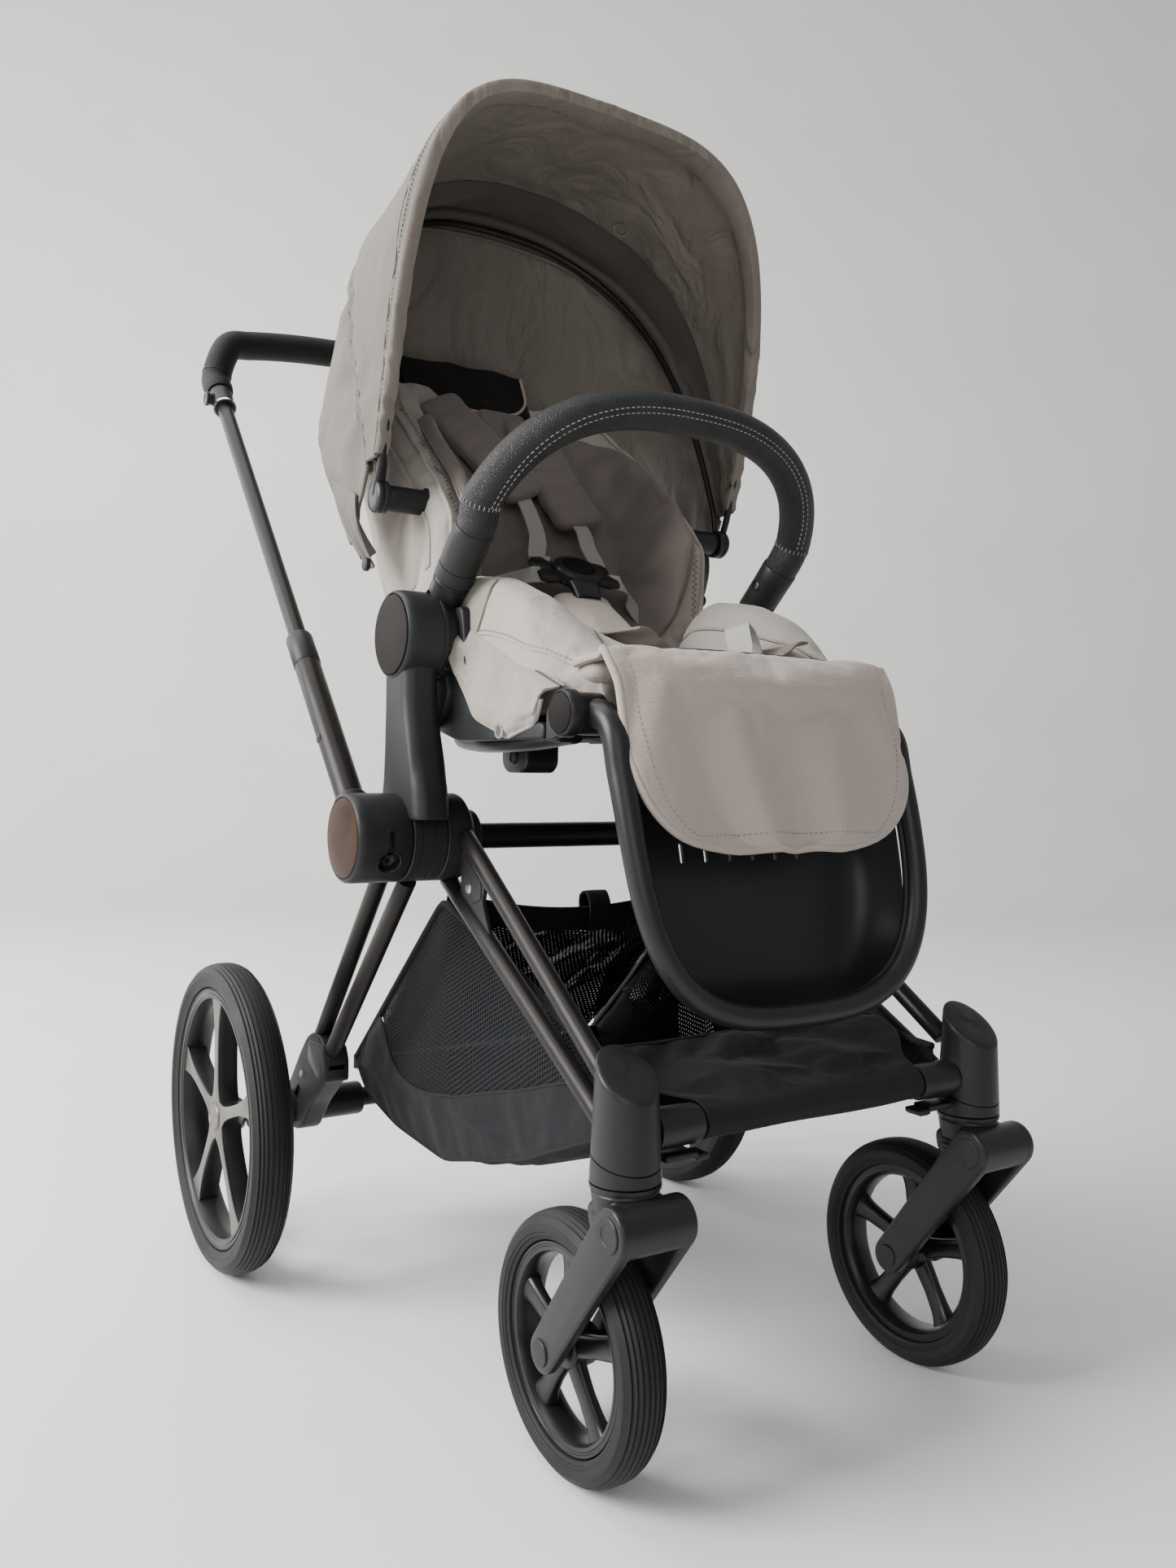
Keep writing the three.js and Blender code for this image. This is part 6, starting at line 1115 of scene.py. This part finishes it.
# gathered corner with its elastic button, low at the back of each side
for s in (-1, 1):
    S = []
    for a in np.linspace(0, 1, 30):
        top = A(s * (211 - 6 * a), 96 + 76 * a, 772 + 30 * a); low = A(s * (197 - 4 * math.sin(a * 3)), 86 + 28 * a, 711 + 7 * math.sin(a * 9)); row = []
        for b in np.linspace(0, 1, 16):
            p = top * (1 - b) + low * b; p = p + A(s * (3.2 * math.sin(a * 20 + b * 2) * b + 5 * math.sin(b * math.pi)), 0, 0); row.append(p)
        S.append(row)
    gat = make("canopy_gather%d" % s, sheet_shell(np.array(S), 1.6), "canopy_out", "backrest", smooth=60); declare_sheet(gat, (0.10, 0.075))
    bt = lathe([(0, .2), (0, 6.4), (3.6, 6.4), (4.6, 5.4), (5.0, 2), (5.0, 0)], 32, c=(0, 0, 0), r=.4)
    if s < 0: bt = bt.mirror()
    make("canopy_elastic_button%d" % s, bt.move(s * 199, 92, 706), "plastic", "backrest", smooth=40)
declare_sheet(cf, (0.98, 0.26)); declare_sheet(cr, (0.90, 0.22))

# ------------------------------------------------------------------ footrest
def footAt(u, grow=0.0):
    t = u * math.pi / 2; s = max(math.cos(t), 0) ** (2 / 4.25); Sg = (245 + grow) * s
    return A((145.5 + grow) * math.copysign(abs(math.sin(t)) ** (2 / 3), math.sin(t)), -245 - Sg * math.sin(math.radians(21)) + 32.5 * s * s, 555 - Sg * math.cos(math.radians(21)))
fmid = [p for p in even(np.array([footAt(u) for u in np.linspace(-1, 1, 801)]), 60) if p[2] < 522]
ftop = [(145.5, -252, 541), (145.5, -240, 553), (145.5, -224, 556.5)]
fpts = spline([(-x, y, z) for x, y, z in ftop[::-1]] + fmid + ftop, 200)
rr = np.array([9.6 + 2.0 * max(0, 1 - min(i, 199 - i) / 34) for i in range(200)])
tube_f = sweep(fpts, rr, 36, up=A(1, 0, 0))
kn = lathe([(136.4, 8), (136.4, 15.6), (137.4, 16.5), (158.6, 16.5), (159.5, 15.6), (159.5, 8)], 56, c=(0, -216, 556))
S = []
for i in range(60):
    v = i / 59; z = 548 - 218 * v; y0 = -245 - 0.29 * (548 - z) * 0.82 - 2; half = 136.5 * max(1 - max((520 - z) / 192, 0) ** 4.2, .02) ** (1 / 3); row = []
    for j in range(61):
        q = 2 * j / 60 - 1; q = math.copysign(abs(q) ** .9, q) if q else 0.0; dish = 40 * (1 - abs(q) ** 13) * (1 - v ** 17); row.append((half * q, y0 + dish + 1.7, z))
    S.append(row)
tub = sheet_shell(np.array(S), 3.4); tub = G(tub.v, tub.f)
cuts = [blockbox(x - 1.9, x + 1.9, -300, -190, 440, 456, 1.7) for x in (-66, -42, -18, 6, 30, 54)]
tub = boolean(tub, *cuts)
ledge = sweep(smoothpts(fpts[34:166] + A(0, 6, 0), 2), 3.0, 10)
make("footrest", tube_f + kn + kn.mirror() + tub, "plastic_satin", "leg_rest", replaces="footrest", smooth=42, slot="moulding")
make("footrest_inner_lip", sweep(np.array([p + A(-math.copysign(min(9.0, abs(p[0])), p[0]) * .9, 3.0, 5.0 * max(0, 1 - (p[2] - 325) / 60)) for p in fpts[26:174]]), 3.2, 12), "plastic", "leg_rest", smooth=45, slot="moulding")

# ------------------------------------------------------------------ calf flap
S = []
NX, NY = 61, 52
for i in range(NY):
    v = i / (NY - 1); Ld = v * 204 - 34; row = []
    for j in range(NX):
        q = 2 * j / (NX - 1) - 1
        cfac = max(1 - max((v - .34) / .66, 0) ** 3.4, 0.0); half = 142 * (.40 + .60 * cfac ** .45) if v > .34 else 142 + 9 * (1 - v / .34)
        if Ld < 0: y, z = -226 - Ld, 606.0 - 4.0 * (Ld / 34) ** 2 + .0
        elif Ld < 32: a = Ld / 32 * 1.3; y, z = -226 - 25 * math.sin(a), 581 + 25 * math.cos(a)
        else: d = Ld - 32; y, z = -226 - 25 * math.sin(1.3) - d * .20, 581 + 25 * math.cos(1.3) - d * .98
        x = half * q; drop = 9.0 * abs(q) ** 3 * (1 - v); wv = 1.2 * math.sin(q * 9.0 + 1.2 * math.sin(v * 3)) * max(0, v - .25)
        row.append((x, y - 4.5 - wv - 3.0 * min(max((Ld - 12) / 30, 0), 1), z - drop + 1.5))
    S.append(row)
S = np.array(S)
S = simgrid(S, frames=16, expand=0.030, cap=6.0, bend=0.5, stiff=10, pin=lambda v: np.where(np.arange(len(v)) // NX < 9, .9, 0.0) + .06)
fl = sheet_shell(S, 6.4); flap = make("calf_flap", fl, "flap", None, smooth=60, sub=1, slot="liner_fabric", replaces=["calf_flap"])
edge = np.concatenate([S[10:, 0], S[-1, 1:], S[::-1, -1][1:-10]]); hemg = sweep(smoothpts(edge, 3), 3.5, 10)
hem = make("calf_flap_edge", hemg, "flap", None, smooth=60)
Nf = np.cross(np.gradient(S, axis=1), np.gradient(S, axis=0)); Nf /= np.linalg.norm(Nf, axis=2)[..., None]
if Nf[30, 30][1] > 0: Nf = -Nf
e2 = np.concatenate([S[10:-3, 3], S[-4, 4:-4], S[::-1, -4][3:-10]]); n2 = np.concatenate([Nf[10:-3, 3], Nf[-4, 4:-4], Nf[::-1, -4][3:-10]])
th_ = make("calf_flap_stitch", stitches(smoothpts(e2, 2), n2, 3.0, 0.35, 4.6, 3.0, .36), "thread_dull", None, smooth=60)
grv = make("calf_flap_topseam", sweep(smoothpts(S[8, 2:-2] + Nf[8, 2:-2] * 3.2, 2), .8, 8), "seam_dark", None, smooth=60)
for o in (flap, hem, th_, grv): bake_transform(o)
declare_sheet(flap, (0.296, 0.204))
roll = soft("seat_front_roll", pillow(A(0, -206, 589), A(1, 0, 0), A(0, 1, 0), A(0, 0, 1), 286, 46, 30), "flap", "seat", 4.5, 3, 2.0, .02, 3.0)

# ------------------------------------------------------------------ buckle and harness
bcx = A(0, 42, 704); bN = unit(A(0, -.62, .785)); bX = A(1, 0, 0); bY = np.cross(bN, bX)
def disc_b(prof, n=72, sx=1.0, sy=.82): # profile (height, radius)
    t = np.linspace(0, 2 * math.pi, n, endpoint=False); return fix(rings(np.array([[bcx + bN * h + bX * r * sx * math.cos(a) + bY * r * sy * math.sin(a) for a in t] for h, r in prof])))
body_b = boolean(disc_b([(0, 22), (1.0, 25.4), (3, 27), (9, 27.2), (10, 26.4), (10.6, 26.4), (11.4, 27), (14.4, 26), (16, 23.6), (16, 18)]), disc_b([(8, 17.6), (22, 17.6)]))
make("buckle_body", body_b, "plastic_satin", "seat", replaces="buckle", smooth=40, slot="moulding")
make("buckle_button", disc_b([(11.2, 12), (11.8, 16.9), (15.8, 17.0), (17.2, 16.2), (18.0, 14.0), (17.4, 9), (17.0, 0.1)]), "disc", "buckle_press", replaces="buckle_button", smooth=40, slot="moulding")
tong = G()
for sx in (-1, 1):
    c = bcx + bN * 5
    tong = tong + sweep([c + bX * sx * 20 + bY * 10, c + bX * sx * 34 + bY * 17, c + bX * sx * 44 + bY * 20], [6.4, 7.2, 4.6], 20, section=lambda a: (1.7 * math.copysign(abs(math.cos(a)) ** .6, math.cos(a)), .62 * math.sin(a)), up=bX * sx * .4 + bY)
    tong = tong + sweep([c + bX * sx * 20 - bY * 4, c + bX * sx * 36 - bY * 6, c + bX * sx * 47 - bY * 8], [6.4, 7.4, 4.8], 20, section=lambda a: (1.5 * math.copysign(abs(math.cos(a)) ** .6, math.cos(a)), .62 * math.sin(a)), up=bY)
foot_b = sweep([bcx - bY * 16 + bN * 6, bcx - bY * 27 + bN * 4, bcx - bY * 36 + bN * 0], [9, 8.4, 7.4], 24, section=lambda a: (1.9 * math.copysign(abs(math.cos(a)) ** .5, math.cos(a)), .8 * math.sin(a)), up=bX)
make("buckle_tongues", tong + foot_b, "plastic_satin", "seat", smooth=45, slot="moulding")
def addweb(name, pts, up, body, w=24, mat="webbing"):
    P = spline(pts, 60); o = make(name, web(P, up, w), mat, body, smooth=60); return o
U = BN
st1 = addweb("strap_shoulder_right", [bp(-14, 196, 74), bp(-16, 160, 84), bp(-22, 120, 94), bcx + bX * -34 + bY * 20 + bN * 6, bcx + bX * -25 + bY * 14 + bN * 7], U, None, 19)
st2 = addweb("strap_shoulder_left", [bp(42, 166, 78), bp(42, 140, 88), bp(36, 112, 96), bcx + bX * 36 + bY * 20 + bN * 6, bcx + bX * 25 + bY * 14 + bN * 7], U, None, 19)
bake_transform(st1)
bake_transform(st2)
addweb("strap_waist_right", [bp(-112, 26, 78), bp(-96, 44, 74), bp(-76, 62, 84), bcx + bX * -52 - bY * 7 + bN * 5, bcx + bX * -40 - bY * 5 + bN * 5], U, "seat", 18)
addweb("strap_waist_left", [bp(112, 26, 78), bp(96, 44, 74), bp(76, 62, 84), bcx + bX * 52 - bY * 7 + bN * 5, bcx + bX * 40 - bY * 5 + bN * 5], U, "seat", 18)
cp = spline([(0, 34, 682), (0, 18, 668), (0, -8, 650), (0, -34, 632), (0, -62, 619), (0, -92, 612)], 60)
cT = np.gradient(cp, axis=0); cU = np.array([unit(np.cross(unit(t), A(1, 0, 0))) for t in cT]); cU[cU[:, 2] < 0] *= -1
crotch = soft("crotch_pad", strip_pad(cp, cU, 66, 24), "flap", "seat", 3.4, 2, 3.0, .04, 4.0, frames=14)
# smooth insert on the seat between the bolsters
S = []
for i in range(40):
    y = 22 - 226 * i / 39; zc = zc_(y); row = []
    for j in range(49):
        q = 2 * j / 48 - 1; x = 100 * q * (1 - .10 * max(0, (-150 - y) / 60)); th = 10 * math.sqrt(max(0, 1 - abs(q) ** 5)); row.append((x, y, zc + 1.5 + th + (22 * (abs(q) - .78) / .22 if abs(q) > .78 else 0)))
    S.append(row)
S = simgrid(np.array(S), frames=14, expand=.035, cap=5, bend=.4, pin=lambda v: np.where((np.arange(len(v)) % 49 < 2) | (np.arange(len(v)) % 49 > 46) | (np.arange(len(v)) < 49), .95, 0.0) + .03)
si = make("seat_insert", sheet_shell(S, 3.0), "pad", "seat", smooth=60, sub=1, slot="liner_fabric"); declare_sheet(si, (0.235, 0.23))
# webbing loop at the front of the seat
dl = spline([(50, -160, 606), (51, -158, 624), (54, -150, 640), (62, -141, 645), (74, -137, 638), (79, -139, 622), (79, -142, 604)], 60)
make("seat_loop", web(dl, np.array([unit(p - A(65, -149, 612)) for p in dl]), 22), "webbing_light", "seat", smooth=60)

# ------------------------------------------------------------------ basket
TOP = [(-298, 285), (-262, 287), (-150, 333), (22, 391), (60, 357), (226, 206)]; BOT = [(-298, 254), (-240, 236), (-129, 191), (40, 143), (150, 150), (214, 170), (226, 204)]
def tpl(P): P = even(np.array([(y, 0, z) for y, z in P], float), 400); return P
Tt, Bt = tpl(TOP), tpl(BOT)
nar = lambda z: 0.9 + 0.1 * min(1, max(0, (z - 140) / 60))
BORD = [(-300, 294), (-248, 285), (-191, 268), (-120, 246), (-71, 234), (-9, 216), (60, 205), (97, 206), (126, 218), (145, 240), (159, 263), (190, 300), (240, 330)]
def bord(y): return ip(y, [p[0] for p in BORD], [p[1] for p in BORD])
solid, meshp = [], []
NT = 64
for i in range(NT):
    q = i / (NT - 1); t = Tt[int(q * 399)]; b = Bt[int(q * 399)]; rs, rm = [], []
    # crossing of the strip with the border curve
    f = np.linspace(0, 1, 200); ys = b[0] + (t[0] - b[0]) * f; zs = b[2] + (t[2] - b[2]) * f; below = zs < np.array([bord(y) for y in ys]); fc = f[below][-1] if below.any() else 0.0; fc = min(max(fc, .03), .97)
    for k in range(22): a = fc * k / 21; y, z = b[0] + (t[0] - b[0]) * a, b[2] + (t[2] - b[2]) * a; rs.append((150 * nar(z) + 2.5 * math.sin(a * 3.1) , y, z))
    for k in range(22): a = fc + (1 - fc) * k / 21; y, z = b[0] + (t[0] - b[0]) * a, b[2] + (t[2] - b[2]) * a; rm.append((150 * nar(z) + 2.5 * math.sin(a * 3.1) - 1.0, y, z))
    solid.append(rs); meshp.append(rm)
solid, meshp = np.array(solid), np.array(meshp)
bask = []
for s in (-1, 1):
    F_ = A(s, 1, 1)
    G1 = simgrid(solid * F_, frames=12, expand=.010, cap=4, bend=.4, pin=lambda v: np.where((np.arange(len(v)) % 22 < 1) | (np.arange(len(v)) % 22 > 20) | (np.arange(len(v)) < 44), 1.0, .02))
    o = make("basket_side%d" % s, sheet_shell(G1, 1.8), "cloth_uv", None, smooth=60, sub=1, slot="basket_fabric", replaces=["basket"] if s < 0 else ()); declare_sheet(o, (0.52, 0.09), area=0.036); bask.append(o)
    G2 = meshp * F_; k_ = np.linspace(0, 1, G2.shape[1])[None, :]; i_ = np.linspace(0, 1, G2.shape[0])[:, None]; G2[:, :, 0] -= s * 2.2 * np.sin(math.pi * k_) * (1 + .8 * np.sin(i_ * 17 + k_ * 3))
    o = make("basket_mesh%d" % s, sheet_shell(G2, 0.9), "mesh", None, smooth=60, slot="basket_fabric"); declare_sheet(o, (0.50, 0.12), area=0.034); bask.append(o)
    o = make("basket_piping%d" % s, sweep(smoothpts(G1[:, -1], 2), 1.5, 8) + sweep(smoothpts(G2[:, -1], 1), 3.4, 10), "cloth", None, smooth=60, slot="basket_fabric"); bask.append(o)
# floor
S = []
Bf = [p for p in Bt if p[0] > -262]; Bf = even(np.array(Bf), 60)
for p in Bf: h = 150 * nar(p[2]); S.append([(x, p[0], p[2] - 3.0 * math.cos(x / h * 1.5)) for x in np.linspace(-h, h, 41)])
S = simgrid(np.array(S), frames=14, expand=.02, cap=6, bend=.4, pin=lambda v: np.where((np.arange(len(v)) % 41 < 1) | (np.arange(len(v)) % 41 > 39) | (np.arange(len(v)) < 41) | (np.arange(len(v)) >= 59 * 41), 1.0, .02))
o = make("basket_floor", sheet_shell(S, 2.2), "cloth_uv", None, smooth=60, sub=1, slot="basket_fabric"); declare_sheet(o, (0.29, 0.53)); bask.append(o)
for s in (-1, 1): bask.append(make("basket_floor_seam%d" % s, sweep(smoothpts(S[:, 0 if s < 0 else -1], 2), 1.8, 8), "cloth", None, smooth=60, slot="basket_fabric"))
# rear wall of mesh, hanging from the sagging top band
S = []
for i in range(44):
    q = i / 43; row = []
    for j in range(61):
        c = 2 * j / 60 - 1; sag = 22 * (1 - c * c) * (1 - q) ** 1.5; y = 24 + 200 * q; z = 390 - 184 * q - sag; x = 147 * c * (.93 + .07 * (1 - q)); row.append((x, y + 3 * math.sin(c * 12 + q * 5) * (1 - q) * q * 3, z + 3.5 * math.sin(c * 9 + 2 + q * 9) * q * (1 - q) * 3))
    S.append(row)
S = simgrid(np.array(S), frames=14, expand=.022, cap=8, bend=1.2, pin=lambda v: np.where((np.arange(len(v)) % 61 < 1) | (np.arange(len(v)) % 61 > 59) | (np.arange(len(v)) < 61) | (np.arange(len(v)) >= 43 * 61), 1.0, .02))
o = make("basket_rear_mesh", sheet_shell(S, 0.9), "mesh", None, smooth=60, slot="basket_fabric"); declare_sheet(o, (0.29, 0.275)); bask.append(o)
bt = S[0]
band = np.array([[p + A(0, -2, 0) + A(0, .25, -.97) * h for h in np.linspace(-9, 13, 6)] for p in bt])
o = make("basket_band", sheet_shell(band, 3.2), "cloth", None, smooth=60, sub=1, slot="basket_fabric"); declare_sheet(o, (0.30, 0.022)); bask.append(o)
o = make("basket_band_piping", sweep(smoothpts(band[:, 0], 2), 1.8, 8) + sweep(smoothpts(band[:, -1], 2), 1.2, 8), "cloth", None, smooth=60, slot="basket_fabric"); bask.append(o)
lc = S[0, 34]; lp = spline([lc + A(0, -6, -14), lc + A(0, -9, 0), lc + A(0, -8, 14), lc + A(0, 0, 24), lc + A(0, 10, 20), lc + A(0, 11, 6), lc + A(0, 9, -10)], 50)
o = make("basket_loop", web(lp, np.array([unit(p - (lc + A(0, 1, 3))) for p in lp]), 24, 2.0), "cloth", None, smooth=60, slot="basket_fabric"); bask.append(o)
# front panel round the cross tube
prof = [(-240, 238), (-268, 240), (-296, 247), (-310, 248.6), (-321, 253), (-326.2, 262), (-321.5, 272), (-312, 276.4), (-300, 279), (-286, 284), (-262, 287.5), (-244, 294), (-228, 300)]
pp = even(np.array([(0, y, z) for y, z in prof], float), 64); S = []
for p in pp:
    yq = p[1]; hw = ip(yq, [-327, -312, -290, -262, -228], [108, 108, 120, 142, 148]) ; hw = hw if p[2] > 262 or yq < -300 else ip(yq, [-312, -240], [108, 134]); S.append([(x, p[1] + .6 * math.sin(x / 16), p[2] + .7 * math.sin(x / 21 + p[1] / 14)) for x in np.linspace(-hw, hw, 61)])
S = simgrid(np.array(S), frames=14, expand=.03, cap=5, bend=.4, pin=lambda v: np.where((np.arange(len(v)) < 61) | (np.arange(len(v)) >= 63 * 61) | ((np.arange(len(v)) // 61 > 18) & (np.arange(len(v)) // 61 < 36)), .95, .02))
o = make("basket_front", sheet_shell(S, 1.8), "cloth_uv", None, smooth=60, sub=1, slot="basket_fabric"); declare_sheet(o, (0.25, 0.235)); bask.append(o)
for j in (0, -1): bask.append(make("basket_front_edge%d" % (j + 1), sweep(smoothpts(S[:, j], 2), 1.4, 8), "cloth", None, smooth=60, slot="basket_fabric"))
bask.append(make("basket_front_top_edge", sweep(smoothpts(S[-1], 2), 2.0, 8), "cloth", None, smooth=60, slot="basket_fabric"))
for o in bask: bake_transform(o)
tabs = G()
for s in (-1, 1):
    b = slabx(outline([(214, 212), (214, 194), (236, 190), (236, 206)], 3), 128, 150, 1.5, 2); tabs = tabs + (b if s > 0 else b.mirror())
make("basket_rear_tabs", tabs, "cloth", "chassis", smooth=40, slot="basket_fabric")

print("FLAT", json.dumps(FLAT))
